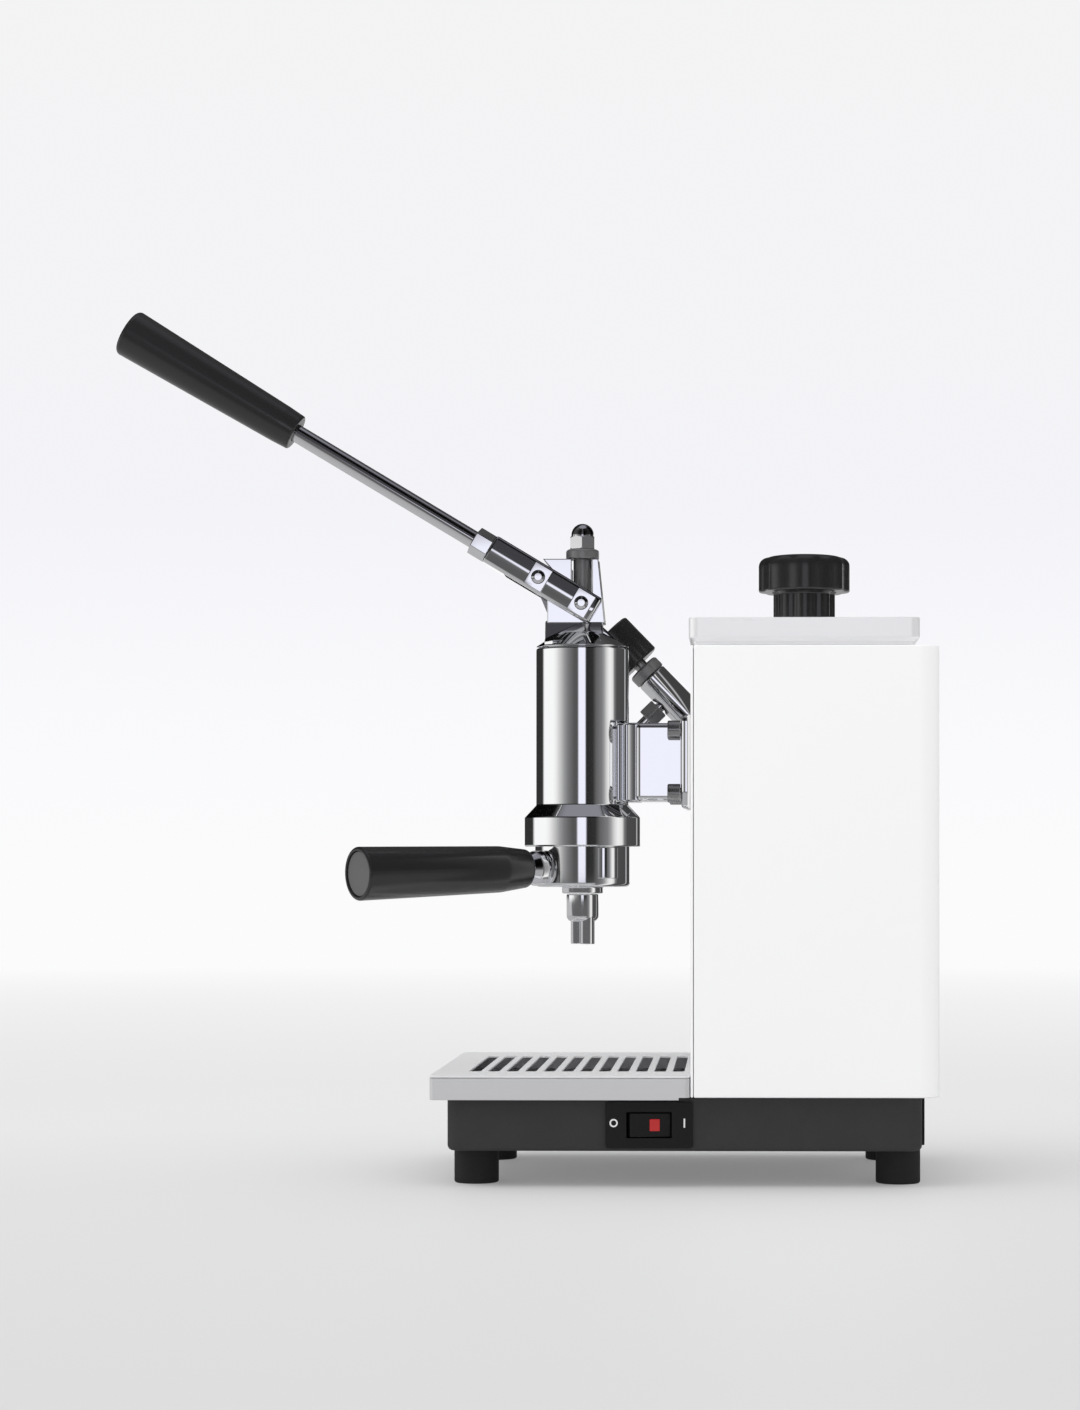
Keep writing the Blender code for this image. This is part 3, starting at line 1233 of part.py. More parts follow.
def hanger():
    """The eye bolt that holds the fulcrum pin, with its lock nut and acorn nut."""
    eye = turned(
        "hanger",
        [
            (0, ACORN_TOP - ACORN_DOME_RADIUS), (HANGER_THREAD_RADIUS, ACORN_TOP - ACORN_DOME_RADIUS),
            (HANGER_THREAD_RADIUS, BRACKET_TOP), (HANGER_RADIUS, BRACKET_TOP),
            (HANGER_RADIUS, FULCRUM_Z + HANGER_EYE / 2), (0, FULCRUM_Z + HANGER_EYE / 2),
        ],
        at(0, 0, 0), steps=STEPS_MEDIUM,
    )
    thick = Vector((HANGER_HALF_THICKNESS, 0, 0))
    join(eye, pin("eye", FULCRUM - thick, FULCRUM + thick, HANGER_EYE, STEPS_MEDIUM))
    cut(eye, pin("eye_hole", FULCRUM - thick * 2, FULCRUM + thick * 2, PIN_RADIUS + FIT))
    piece(eye, STEEL, ROOT)
    low = BRACKET_TOP + FIT
    high = low + LOCK_NUT_HEIGHT
    bore = HANGER_THREAD_RADIUS + FIT
    nut = turned(
        "lock_nut",
        filleted(
            [(LOCK_NUT_RADIUS, high), (LOCK_NUT_RADIUS, low), (bore, low), (bore, high)],
            [CHEEK_CORNER, CHEEK_CORNER / 2, 0, 0],
        ),
        at(0, 0, 0), closed=True,
    )
    piece(nut, CHROME, ROOT)
    base = high + FIT
    outline = [(0, ACORN_TOP)]
    for k in range(1, FILLET_PIECES * 2 + 1):
        angle = math.pi / 2 * k / (FILLET_PIECES * 2)
        outline.append((ACORN_DOME_RADIUS * math.sin(angle),
                        ACORN_TOP - ACORN_DOME_RADIUS + ACORN_DOME_RADIUS * math.cos(angle)))
    dome_end = base + ACORN_HEX_HEIGHT / 2
    outline += [(ACORN_DOME_RADIUS, dome_end), (0, dome_end)]
    acorn = turned("acorn_nut", outline, at(0, 0, 0), steps=STEPS_SMALL)
    acorn.rotation_euler.z = math.pi / STEPS_SMALL
    join(acorn, plate("acorn_hex", hexagon(ACORN_HEX_RADIUS), ACORN_HEX_HEIGHT,
                      at(0, 0, base + ACORN_HEX_HEIGHT / 2)))
    top = at(0, 0, ACORN_TOP - ACORN_DOME_RADIUS + FIT)
    cut(acorn, pin("acorn_thread", at(0, 0, BRACKET_TOP), top, HANGER_THREAD_RADIUS + FIT))
    piece(acorn, CHROME, ROOT)
    reach = Vector((FORK_OUTER + FLAT_PROUD + PIN_PROUD, 0, 0))
    piece(pin("fulcrum_pin", FULCRUM - reach, FULCRUM + reach, PIN_RADIUS), STEEL, ROOT)


# Lever

def lever_box(name, start, end, low, high, half_width, edge=0, segments=2):
    """A box lined up with the lever, between two distances along it and two below its line."""
    cube = box(name, (-half_width, low, start), (half_width, high, end), edge, segments)
    cube.matrix_world = LEVER_FRAME @ Matrix.Translation(cube.location)
    return cube


def lever_fork(carrier):
    half = FORK_HEIGHT / 2
    fork = lever_box("lever_fork", -FORK_TAIL, FORK_BODY_END, -half, half, FORK_OUTER, FORK_EDGE)
    nose = turned(
        "fork_nose",
        [
            (0, FERRULE_START - FIT), (FORK_NOSE_RADIUS, FERRULE_START - FIT),
            (half - FIT, FORK_BODY_END - FORK_EDGE), (0, FORK_BODY_END - FORK_EDGE),
        ],
        FULCRUM, LEVER_LINE,
    )
    join(fork, nose)
    flat = FLAT_SIDE / 2
    for middle in (0, PIN_SPACING):
        pads = lever_box("fork_flats", middle - flat, middle + flat, -flat, flat,
                         FORK_OUTER + FLAT_PROUD)
        join(fork, pads)
    cut(fork, lever_box("fork_slot", -FORK_TAIL - OVERRUN, FORK_SLOT_END, -half - OVERRUN,
                        half + OVERRUN, FORK_INNER))
    for place in (FULCRUM, DRIVE_PIN):
        reach = Vector((FORK_OUTER + OVERRUN, 0, 0))
        cut(fork, pin("pin_hole", place - reach, place + reach, PIN_RADIUS + FIT))
    start = FULCRUM + LEVER_LINE * (FERRULE_START - ROD_SOCKET / 2)
    end = FULCRUM + LEVER_LINE * (FERRULE_START + OVERRUN)
    cut(fork, pin("rod_socket", start, end, ROD_RADIUS + FIT))
    piece(fork, CHROME, carrier)


def lever(carrier):
    lever_fork(carrier)
    bore = ROD_RADIUS + FIT
    ferrule = turned(
        "lever_ferrule",
        filleted(
            [
                (FERRULE_RADIUS, FERRULE_END), (FERRULE_RADIUS, FERRULE_START),
                (bore, FERRULE_START), (bore, FERRULE_END),
            ],
            [FERRULE_EDGE, FERRULE_EDGE, 0, 0],
        ),
        FULCRUM, LEVER_LINE, closed=True,
    )
    piece(ferrule, CHROME, carrier)
    start = FULCRUM + LEVER_LINE * (FERRULE_START - ROD_SOCKET / 2 + FIT)
    end = FULCRUM + LEVER_LINE * (HANDLE_START + ROD_SOCKET - FIT)
    piece(pin("lever_rod", start, end, ROD_RADIUS), CHROME, carrier)
    outline = filleted(
        [
            (0, LEVER_LENGTH), (HANDLE_TIP_RADIUS, LEVER_LENGTH),
            (HANDLE_START_RADIUS + HANDLE_EDGE / 4, HANDLE_START + HANDLE_COLLAR),
            (HANDLE_START_RADIUS, HANDLE_START), (bore, HANDLE_START),
            (bore, HANDLE_START + ROD_SOCKET), (0, HANDLE_START + ROD_SOCKET),
        ],
        [0, HANDLE_EDGE, HANDLE_COLLAR, FERRULE_EDGE, 0, 0, 0], closed=False,
    )
    piece(turned("lever_handle", outline, FULCRUM, LEVER_LINE), BLACK_PLASTIC, carrier)
    reach = Vector((FORK_OUTER + FLAT_PROUD + PIN_PROUD, 0, 0))
    piece(pin("drive_pin", DRIVE_PIN - reach, DRIVE_PIN + reach, PIN_RADIUS), STEEL, carrier)


def connecting_rod(carrier):
    """The link from the drive pin down to the piston, with an oversize lower eye."""
    thick = Vector((LINK_HALF_THICKNESS, 0, 0))
    eye = WRIST_RADIUS + WRIST_PLAY
    link = pin("connecting_rod", DRIVE_PIN - thick, DRIVE_PIN + thick, LINK_EYE, STEPS_MEDIUM)
    join(link, pin("lower_eye", WRIST - thick, WRIST + thick, eye + WRIST_EYE_WALL, STEPS_MEDIUM))
    bar = box("link_bar", (-LINK_HALF_THICKNESS + FIT, -LINK_HALF_WIDTH, LINK_EYE / 2),
              (LINK_HALF_THICKNESS - FIT, LINK_HALF_WIDTH, ROD_LENGTH - eye - FIT))
    frame = Matrix.Translation(DRIVE_PIN) @ upright_frame(ROD_LINE)
    bar.matrix_world = frame @ Matrix.Translation(bar.location)
    join(link, bar)
    for place, radius in ((DRIVE_PIN, PIN_RADIUS + FIT), (WRIST, eye)):
        cut(link, pin("link_hole", place - thick * 2, place + thick * 2, radius, STEPS_MEDIUM))
    piece(link, STEEL, carrier)


def piston(carrier):
    radius = BORE_RADIUS - PISTON_CLEARANCE
    inner = radius - PISTON_WALL
    top = WRIST.z + PISTON_SKIRT_ABOVE
    groove = BORE_RADIUS - SEAL_CLEARANCE - SEAL_DEPTH - FIT
    outline = [(radius, top)]
    for low in (SEAL_HIGH, SEAL_LOW):
        base = PISTON_BOTTOM + low
        outline += [(radius, base + SEAL_HEIGHT + FIT), (groove, base + SEAL_HEIGHT + FIT),
                    (groove, base - FIT), (radius, base - FIT)]
    outline += [
        (radius, PISTON_BOTTOM), (0, PISTON_BOTTOM), (0, PISTON_BOTTOM + PISTON_CROWN + SEAL_LOW),
        (inner - SEAL_DEPTH, PISTON_BOTTOM + PISTON_CROWN + SEAL_LOW),
        (inner - SEAL_DEPTH, PISTON_BOTTOM + SEAL_HIGH + SEAL_HEIGHT * 2),
        (inner, PISTON_BOTTOM + SEAL_HIGH + SEAL_HEIGHT * 2), (inner, top),
    ]
    barrel = turned("piston", outline, at(0, 0, 0), closed=True, steps=STEPS_LARGE)
    reach = Vector((radius + OVERRUN, 0, 0))
    cut(barrel, pin("wrist_holes", WRIST - reach, WRIST + reach, WRIST_RADIUS + FIT))
    piece(barrel, BRASS, carrier)
    reach = Vector((inner + PISTON_WALL / 2, 0, 0))
    piece(pin("wrist_pin", WRIST - reach, WRIST + reach, WRIST_RADIUS), STEEL, carrier)
    for name, low in (("piston_seal_lower", SEAL_LOW), ("piston_seal_upper", SEAL_HIGH)):
        base = PISTON_BOTTOM + low
        outer = BORE_RADIUS - SEAL_CLEARANCE
        outline = [
            (outer, base + SEAL_HEIGHT), (outer, base + SEAL_HEIGHT - SEAL_LIP),
            (outer - SEAL_LIP / 2, base), (outer - SEAL_DEPTH, base),
            (outer - SEAL_DEPTH, base + SEAL_HEIGHT),
        ]
        ring = turned(name, outline, at(0, 0, 0), closed=True, steps=STEPS_LARGE)
        piece(ring, SEAL_RUBBER, carrier)


def upright_frame(line):
    """A turn whose Z runs along a line in the machine's middle plane and whose X stays sideways."""
    return Matrix((
        (1, 0, 0, 0),
        (0, line.z, line.y, 0),
        (0, -line.y, line.z, 0),
        (0, 0, 0, 1),
    ))


# Portafilter

def portafilter(carrier):
    outer = FILTER_RADIUS
    inner = outer - FILTER_WALL
    floor = FILTER_BOTTOM + FILTER_FLOOR
    collar = FILTER_BOTTOM - FILTER_COLLAR
    outline = filleted(
        [
            (outer, FILTER_TOP - BASKET_RIM - FIT), (outer, FILTER_BOTTOM),
            (FILTER_COLLAR_RADIUS, FILTER_BOTTOM), (FILTER_COLLAR_RADIUS, collar),
            (FILTER_DRAIN, collar), (FILTER_DRAIN, floor), (inner, floor),
            (inner, FILTER_TOP - BASKET_RIM - FIT),
        ],
        [0, FILTER_EDGE, 0, FILTER_DRAIN / 4, 0, 0, FILTER_EDGE, 0],
    )
    bowl = turned("portafilter_body", outline, at(0, 0, 0), closed=True, steps=STEPS_LARGE)
    root = outer - FILTER_WALL / 2
    for side in (1, -1):
        line = ear_line(side)
        turn = Matrix.Translation(at(0, 0, 0)) @ Matrix.Rotation(
            math.atan2(line.y, line.x) - math.pi / 2, 4, "Z"
        )
        spans = (
            (BELL_BOTTOM + BELL_LIP + EAR_CLEARANCE, EAR_TOP, EAR_REACH),
            (LUG_BOTTOM, BELL_BOTTOM - EAR_CLEARANCE, LUG_REACH),
        )
        for low, high, reach in spans:
            ear = box("ear", (-EAR_WIDTH / 2, root, low), (EAR_WIDTH / 2, reach, high),
                      EAR_CLEARANCE, 1)
            ear.matrix_world = turn @ Matrix.Translation(ear.location)
            join(bowl, ear)
    boss = turned(
        "handle_boss",
        filleted(
            [
                (0, BOSS_END), (BOSS_RADIUS, BOSS_END), (BOSS_RADIUS, outer + BOSS_RADIUS / 2),
                (BOSS_ROOT_RADIUS, root), (0, root),
            ],
            [0, BOSS_RADIUS / 8, BOSS_RADIUS / 2, 0, 0], closed=False,
        ),
        at(0, 0, HANDLE_AXIS_Z), GRIP_LINE,
    )
    join(bowl, boss)
    start = at(0, 0, HANDLE_AXIS_Z) + GRIP_LINE * (root + BOSS_RADIUS / 2)
    end = at(0, 0, HANDLE_AXIS_Z) + GRIP_LINE * (BOSS_END + OVERRUN)
    cut(bowl, pin("stud_socket", start, end, GRIP_STUD_RADIUS + FIT))
    piece(bowl, CHROME, carrier)
    grip_handle(carrier, root + BOSS_RADIUS / 2 + FIT)
    basket(carrier, inner)
    spout(carrier, collar)


def grip_handle(carrier, stud_start):
    start = BOSS_END + FIT
    bore = GRIP_STUD_RADIUS + FIT
    outline = filleted(
        [
            (0, GRIP_END - GRIP_DISC_INSET), (GRIP_END_RADIUS - GRIP_EDGE, GRIP_END - GRIP_DISC_INSET),
            (GRIP_END_RADIUS - GRIP_EDGE, GRIP_END), (GRIP_END_RADIUS, GRIP_END),
            (GRIP_SHOULDER_RADIUS, start + GRIP_SHOULDER), (GRIP_START_RADIUS, start), (bore, start),
            (bore, start + GRIP_STUD), (0, start + GRIP_STUD),
        ],
        [0, 0, 0, GRIP_EDGE / 2, GRIP_SHOULDER, GRIP_EDGE, 0, 0, 0], closed=False,
    )
    handle = turned("portafilter_handle", outline, at(0, 0, HANDLE_AXIS_Z), GRIP_LINE)
    piece(handle, BLACK_PLASTIC, carrier)
    begin = at(0, 0, HANDLE_AXIS_Z) + GRIP_LINE * stud_start
    end = at(0, 0, HANDLE_AXIS_Z) + GRIP_LINE * (start + GRIP_STUD - FIT)
    piece(pin("handle_stud", begin, end, GRIP_STUD_RADIUS), STEEL, carrier)


def basket(carrier, inner):
    outer = inner - BASKET_GAP
    low = FILTER_TOP - BASKET_DEPTH
    outline = [
        (FILTER_RADIUS, FILTER_TOP), (FILTER_RADIUS, FILTER_TOP - BASKET_RIM),
        (outer, FILTER_TOP - BASKET_RIM), (outer - BASKET_DEPTH / 8, low), (0, low),
        (0, low + BASKET_WALL), (outer - BASKET_DEPTH / 8 - BASKET_WALL / 2, low + BASKET_WALL),
        (outer - BASKET_WALL, FILTER_TOP),
    ]
    cup = turned("filter_basket", outline, at(0, 0, 0), closed=True, steps=STEPS_LARGE)
    piece(cup, STEEL, carrier)


def spout(carrier, collar):
    """The twin spout: a hub under the portafilter with two curved runs to its open ends."""
    top = collar - FIT
    hub = turned(
        "twin_spout",
        filleted(
            [(0, top), (SPOUT_HUB_RADIUS, top), (SPOUT_HUB_RADIUS, SPOUT_HUB_BOTTOM), (0, SPOUT_HUB_BOTTOM)],
            [0, FILTER_DRAIN / 4, FILTER_DRAIN, 0], closed=False,
        ),
        at(0, 0, 0),
    )
    across = ear_line(1) * SPOUT_SPREAD
    corners = [
        at(0, 0, SPOUT_BOTTOM) - across, at(0, 0, SPOUT_SHOULDER) - across,
        at(0, 0, SPOUT_SHOULDER + SPOUT_RADIUS), at(0, 0, SPOUT_SHOULDER) + across,
        at(0, 0, SPOUT_BOTTOM) + across,
    ]
    join(hub, tube("spout_arch", bent(corners, SPOUT_RADIUS, 4), SPOUT_RADIUS, 3))
    for side in (1, -1):
        mouth = at(0, 0, SPOUT_BOTTOM - OVERRUN) + across * side
        end = at(0, 0, SPOUT_BOTTOM + SPOUT_BORE_DEPTH) + across * side
        cut(hub, pin("spout_bore", mouth, end, SPOUT_BORE))
    piece(hub, CHROME, carrier)


# Steam valve and wand

def steam_valve():
    outline = filleted(
        [
            (VALVE_BORE, VALVE_LENGTH), (VALVE_RADIUS, VALVE_LENGTH), (VALVE_RADIUS, -VALVE_INSIDE),
            (0, -VALVE_INSIDE), (0, VALVE_LENGTH - VALVE_BORE_DEPTH),
            (VALVE_BORE, VALVE_LENGTH - VALVE_BORE_DEPTH),
        ],
        [0, VALVE_EDGE, VALVE_EDGE, 0, 0, 0],
    )
    valve = turned("steam_valve", outline, valve_axis(0), VALVE_LINE, closed=True)
    socket = valve_axis(WAND_AT)
    cut(valve, pin("wand_socket", socket + WAND_LINE * STEM_RADIUS,
                   socket + WAND_LINE * (VALVE_RADIUS + OVERRUN), WAND_SOCKET_RADIUS))
    piece(valve, CHROME, ROOT)
    start = VALVE_LENGTH + FIT
    outline = [
        (PACKING_RADIUS, start + PACKING_LENGTH), (PACKING_RADIUS, start),
        (STEM_RADIUS + STEM_CLEARANCE, start), (STEM_RADIUS + STEM_CLEARANCE, start + PACKING_LENGTH),
    ]
    nut = turned("packing_nut", filleted(outline, [VALVE_EDGE * 2, VALVE_EDGE, 0, 0]), valve_axis(0),
                 VALVE_LINE, closed=True)
    piece(nut, CHROME, ROOT)
    below = valve_axis(-VALVE_INSIDE - FIT)
    corner = valve_axis(-VALVE_INSIDE - VALVE_RADIUS * 2)
    rise = corner + Vector((0, 0, BOILER_TOP + STEAM_PIPE_RADIUS * 3 - corner.z))
    over = at(-SAFETY_OFFSET, BOILER_Y, rise.z)
    down = at(-SAFETY_OFFSET, BOILER_Y, BOILER_TOP + FIT)
    line = bent([below, corner, rise, over, down], STEAM_PIPE_RADIUS * 1.5, 3)
    piece(tube("steam_pipe", line, STEAM_PIPE_RADIUS, 2), BRASS, ROOT)


def steam_knob(carrier):
    outline = filleted(
        [
            (0, KNOB_END), (KNOB_RADIUS, KNOB_END), (KNOB_RADIUS, KNOB_START),
            (STEM_RADIUS + FIT, KNOB_START), (STEM_RADIUS + FIT, KNOB_START + STEM_INTO_KNOB),
            (0, KNOB_START + STEM_INTO_KNOB),
        ],
        [0, KNOB_EDGE, KNOB_EDGE, 0, 0, 0], closed=False,
    )
    piece(turned("steam_knob", outline, valve_axis(0), VALVE_LINE), BLACK_PLASTIC, carrier)
    start = valve_axis(VALVE_LENGTH - VALVE_BORE_DEPTH + STEM_RADIUS)
    end = valve_axis(KNOB_START + STEM_INTO_KNOB - FIT)
    piece(pin("steam_stem", start, end, STEM_RADIUS), STEEL, carrier)


def steam_wand(carrier, socket):
    nut = plate("wand_nut", hexagon(WAND_NUT_RADIUS), WAND_NUT_END - WAND_NUT_START,
                socket + WAND_LINE * (WAND_NUT_START + WAND_NUT_END) / 2)
    face_along(nut, WAND_LINE)
    bore_start = socket + WAND_LINE * (WAND_NUT_START - OVERRUN)
    bore_end = socket + WAND_LINE * (WAND_NUT_END + OVERRUN)
    cut(nut, pin("nut_bore", bore_start, bore_end, WAND_RADIUS + FIT))
    piece(nut, CHROME, carrier)
    start = socket + WAND_LINE * (STEM_RADIUS + FIT)
    knee = socket + WAND_LINE * WAND_KNEE
    drop = at(-VALVE_X, WAND_DROP_Y, knee.z - (knee.y - GROUP_Y - WAND_DROP_Y))
    end = at(-VALVE_X, WAND_DROP_Y, WAND_TIP_Z + WAND_TIP_LENGTH / 2)
    pipe = tube("steam_wand", bent([start, drop, end], WAND_BEND, 6), WAND_RADIUS, 3)
    piece(pipe, CHROME, carrier)
    top = WAND_TIP_Z + WAND_TIP_LENGTH
    socket_z = WAND_TIP_Z + WAND_TIP_LENGTH / 2 - FIT
    outline = filleted(
        [
            (WAND_TIP_RADIUS, top), (WAND_TIP_RADIUS, WAND_TIP_Z), (WAND_TIP_HOLE, WAND_TIP_Z),
            (WAND_TIP_HOLE, socket_z), (WAND_RADIUS + FIT, socket_z), (WAND_RADIUS + FIT, top),
        ],
        [0, WAND_RADIUS, 0, 0, 0, 0],
    )
    tip = turned("wand_tip", outline, at(-VALVE_X, WAND_DROP_Y, 0), closed=True, steps=STEPS_SMALL)
    piece(tip, CHROME, carrier)


# Boiler cap

def boiler_cap(lift, carrier):
    seat = NECK_TOP + FIT
    ring = turned(
        "cap_gasket",
        [
            (NECK_RADIUS, seat + CAP_GASKET), (NECK_RADIUS, seat),
            (NECK_BORE, seat), (NECK_BORE, seat + CAP_GASKET),
        ],
        at(0, BOILER_Y, 0), closed=True,
    )
    piece(ring, RUBBER, lift)
    bottom = seat + CAP_GASKET + FIT
    head = plate("boiler_cap_knob", lobed(CAP_HEAD_RADIUS, CAP_LOBE_DEPTH, CAP_LOBES),
                 CAP_TOP - CAP_HEAD_BOTTOM, at(0, BOILER_Y, (CAP_TOP + CAP_HEAD_BOTTOM) / 2),
                 edge=CAP_HEAD_EDGE, segments=2)
    stem_top = CAP_HEAD_BOTTOM + CAP_HEAD_EDGE
    stem = plate("cap_stem", lobed(CAP_STEM_RADIUS, CAP_STEM_LOBE_DEPTH, CAP_LOBES), stem_top - bottom,
                 at(0, BOILER_Y, (stem_top + bottom) / 2))
    join(head, stem)
    socket = bottom + CAP_SOCKET_DEPTH
    cut(head, pin("cap_socket", at(0, BOILER_Y, bottom - OVERRUN), at(0, BOILER_Y, socket),
                  CAP_SOCKET_RADIUS + FIT))
    piece(head, BLACK_PLASTIC, carrier)
    radius = NECK_BORE - PLUG_CLEARANCE
    outline = filleted(
        [
            (0, socket - FIT), (CAP_SOCKET_RADIUS, socket - FIT), (CAP_SOCKET_RADIUS, bottom - FIT),
            (radius, bottom - FIT), (radius, bottom - PLUG_LENGTH), (0, bottom - PLUG_LENGTH),
        ],
        [0, 0, 0, 0, CAP_GASKET / 2, 0], closed=False,
    )
    piece(turned("boiler_cap_plug", outline, at(0, BOILER_Y, 0)), BRASS, carrier)


LEVER_FRAME = Matrix.Translation(FULCRUM) @ upright_frame(LEVER_LINE)


def build():
    base_pan()
    feet()
    switch()
    mains_inlet()
    shell()
    front_panel()
    cup_tray()
    drip_tray()
    boiler()
    boiler_saddle()
    heating_element()
    safety_valve()
    pressure_switch()
    group_casting()
    group_seal()
    flange_bolts()
    lever_bracket()
    hanger()
    lever(body("lever_pivot", FULCRUM))
    connecting_rod(body("connecting_rod_pivot", DRIVE_PIN))
    piston(body("piston_slide", WRIST))
    portafilter(body("portafilter_turn", at(0, 0, FILTER_BOTTOM)))
    steam_valve()
    steam_knob(body("steam_knob_turn", valve_axis(0)))
    socket = valve_axis(WAND_AT)
    steam_wand(body("steam_wand_swivel", socket), socket)
    neck = at(0, BOILER_Y, NECK_TOP)
    boiler_cap(body("boiler_cap_lift", neck), body("boiler_cap_turn", neck))


build()
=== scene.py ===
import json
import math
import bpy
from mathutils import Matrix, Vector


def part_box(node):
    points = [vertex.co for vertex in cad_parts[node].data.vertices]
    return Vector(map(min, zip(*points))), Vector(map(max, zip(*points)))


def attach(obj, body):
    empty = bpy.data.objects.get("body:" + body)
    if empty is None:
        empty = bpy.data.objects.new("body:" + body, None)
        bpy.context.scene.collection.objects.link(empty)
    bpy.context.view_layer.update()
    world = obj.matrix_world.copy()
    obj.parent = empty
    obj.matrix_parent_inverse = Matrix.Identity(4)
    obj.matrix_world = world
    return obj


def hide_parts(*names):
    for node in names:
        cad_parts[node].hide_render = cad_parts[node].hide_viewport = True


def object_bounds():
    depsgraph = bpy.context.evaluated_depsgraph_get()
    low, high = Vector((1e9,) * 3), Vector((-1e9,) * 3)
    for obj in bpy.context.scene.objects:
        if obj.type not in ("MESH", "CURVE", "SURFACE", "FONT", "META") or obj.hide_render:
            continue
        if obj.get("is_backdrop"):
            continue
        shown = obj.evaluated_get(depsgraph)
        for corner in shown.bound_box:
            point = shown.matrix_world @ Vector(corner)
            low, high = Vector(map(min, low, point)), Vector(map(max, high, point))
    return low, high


bl_info = {
    "name": "Lever espresso machine",
    "version": (1, 0, 0),
    "blender": (4, 5, 0),
    "location": "View3D > Sidebar > Espresso",
    "description": "Finishes the pieces of a lever espresso machine and sets the studio round it",
    "category": "Add Mesh",
}

import bmesh
import bpy
from mathutils import Euler, Matrix, Vector

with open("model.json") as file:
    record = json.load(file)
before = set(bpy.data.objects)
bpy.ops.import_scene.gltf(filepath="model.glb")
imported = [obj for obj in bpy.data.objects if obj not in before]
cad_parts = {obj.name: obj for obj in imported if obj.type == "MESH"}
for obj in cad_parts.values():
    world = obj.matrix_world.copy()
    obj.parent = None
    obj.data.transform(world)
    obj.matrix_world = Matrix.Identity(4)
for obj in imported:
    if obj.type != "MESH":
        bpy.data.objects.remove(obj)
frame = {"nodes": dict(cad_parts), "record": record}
cad_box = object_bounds()

# Facets of round surfaces, the angle that stays sharp, and how close two points are merged
ROUND = 96
ROUND_SMALL = 48
FILLET = 6
SHARP_ANGLE = math.radians(32)
MERGE = 0.000002
THIN = MERGE * 10
OVERRUN = 0.003
FIT = 0.0003

# The axes of the group and of the boiler's cap, as the frame has them, and the ways that pieces face
GROUP_Y = sum(corner.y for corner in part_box("shower_screen")) / 2
CAP_Y = sum(corner.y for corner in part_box("boiler_cap_plug")) / 2
UP = Vector((0, 0, 1))
SIDEWAYS = (math.pi / 2, 0, math.pi / 2)
FACING_FRONT = (math.pi / 2, 0, 0)
OUT_OF_SIDE = Vector((1, 0, 0))
AXIS_PLACE = Matrix.Translation((0, GROUP_Y, 0))
SWAP = Matrix(((0, 1, 0, 0), (1, 0, 0, 0), (0, 0, 1, 0), (0, 0, 0, 1)))

# How far the grain of brushed sheet is drawn out, and how bright each steel finish is beside the plain steel;
# the darkest is painted shade on chromed pieces that lie in shade
BRUSHED_GRAIN = (6.0, 0.12, 6.0)
BRUSHED_SHARE = 0.97
TURNED_SHARE = 0.60
SHADED_CHROME_SHARE = 0.50
SATIN_SHARE = 1.28

# Lever and its fork, in distances along the lever from the fulcrum
LEVER_ANGLE = math.radians(31.05)
LEVER_LINE = Vector((0, -math.cos(LEVER_ANGLE), math.sin(LEVER_ANGLE)))
PIN_SPACING = 0.028
PIN_RADIUS = 0.00365
FORK_TAIL = 0.0090
FORK_SLOT_END = 0.0460
FORK_HEIGHT = 0.0165
FORK_INNER = 0.0092
FORK_OUTER = 0.0147
FORK_CROWN = 0.0160
FORK_LEAN = 0.00145
FORK_CORNER = 0.0024
FORK_END_EDGE = 0.0018
FLAT_LENGTH = 0.0112
FLAT_HEIGHT = 0.0138
FLAT_PROUD = 0.0006
FLAT_EDGE = 0.0004
FERRULE_START = 0.0604
FERRULE_END = 0.0710
FERRULE_RADIUS = 0.0083
ROD_RADIUS = 0.0050
HANDLE_START = 0.188
LEVER_LENGTH = 0.299
HANDLE_START_RADIUS = 0.01025
HANDLE_TIP_RADIUS = 0.0135

# Brewing group and bracket
CYLINDER_RADIUS = 0.0260
BORE_RADIUS = 0.0228
BELL_TOP = 0.2045
BELL_SHOULDER = 0.1975
BELL_RADIUS = 0.0325
BELL_LIP_RADIUS = 0.0274
BELL_INNER_RADIUS = 0.0306
BELL_LIP = 0.0031
BELL_NOTCH = 0.0124
NOTCH_TOP = 0.1893
SCREEN_SEAT = 0.1963
GASKET_TOP = 0.1988
GASKET_RADIUS = 0.0238
CAST_EDGE = 0.0012
TURNED_EDGE = 0.0004
LINK_HALF_WIDTH = 0.0052
NECK_HALF_WIDTH = 0.0215
NECK_EDGE = 0.0028
NECK_START = 0.0304
NECK_BOTTOM = 0.2065
NECK_TOP = 0.2497
PAD_HALF_WIDTH = 0.0165
PAD_EDGE = 0.0080
PAD_START = 0.0222
FLANGE_HALF_WIDTH = 0.0330
FLANGE_BOTTOM = 0.2020
FLANGE_TOP = 0.2540
FLANGE_FACE = 0.0559
BOLT_X = 0.0272
BOLT_HIGH = 0.2455
BOLT_LOW = 0.2105
BOLT_HEAD_RADIUS = 0.0052
BOLT_HEAD = 0.0070
BRACKET_TOP = 0.3420
CHEEK_OUTER = 0.0086
CHEEK_WALL = 0.0032
BRACKET_FRONT = 0.0194
BRACKET_BACK = 0.0128
BRACKET_TOP_BACK = 0.0092
PEDESTAL_TOP = 0.3075
PEDESTAL_FRONT = 0.0205
PEDESTAL_BACK = 0.0120
PEDESTAL_FLARE = 0.0114
PEDESTAL_ROUND = 0.0254
PEDESTAL_SLOPE = 0.0235
ARM_CLEARANCE = 0.0006
ARM_DROP = 0.0055
ARM_LEAN = 0.07
CHEEK_EDGE = 0.0014
PIN_FLAT = 0.0021
PIN_BEVEL = 0.0007
CAP_SHOULDER_TOP = 0.3010
CAP_TOP_RADIUS = 0.0140
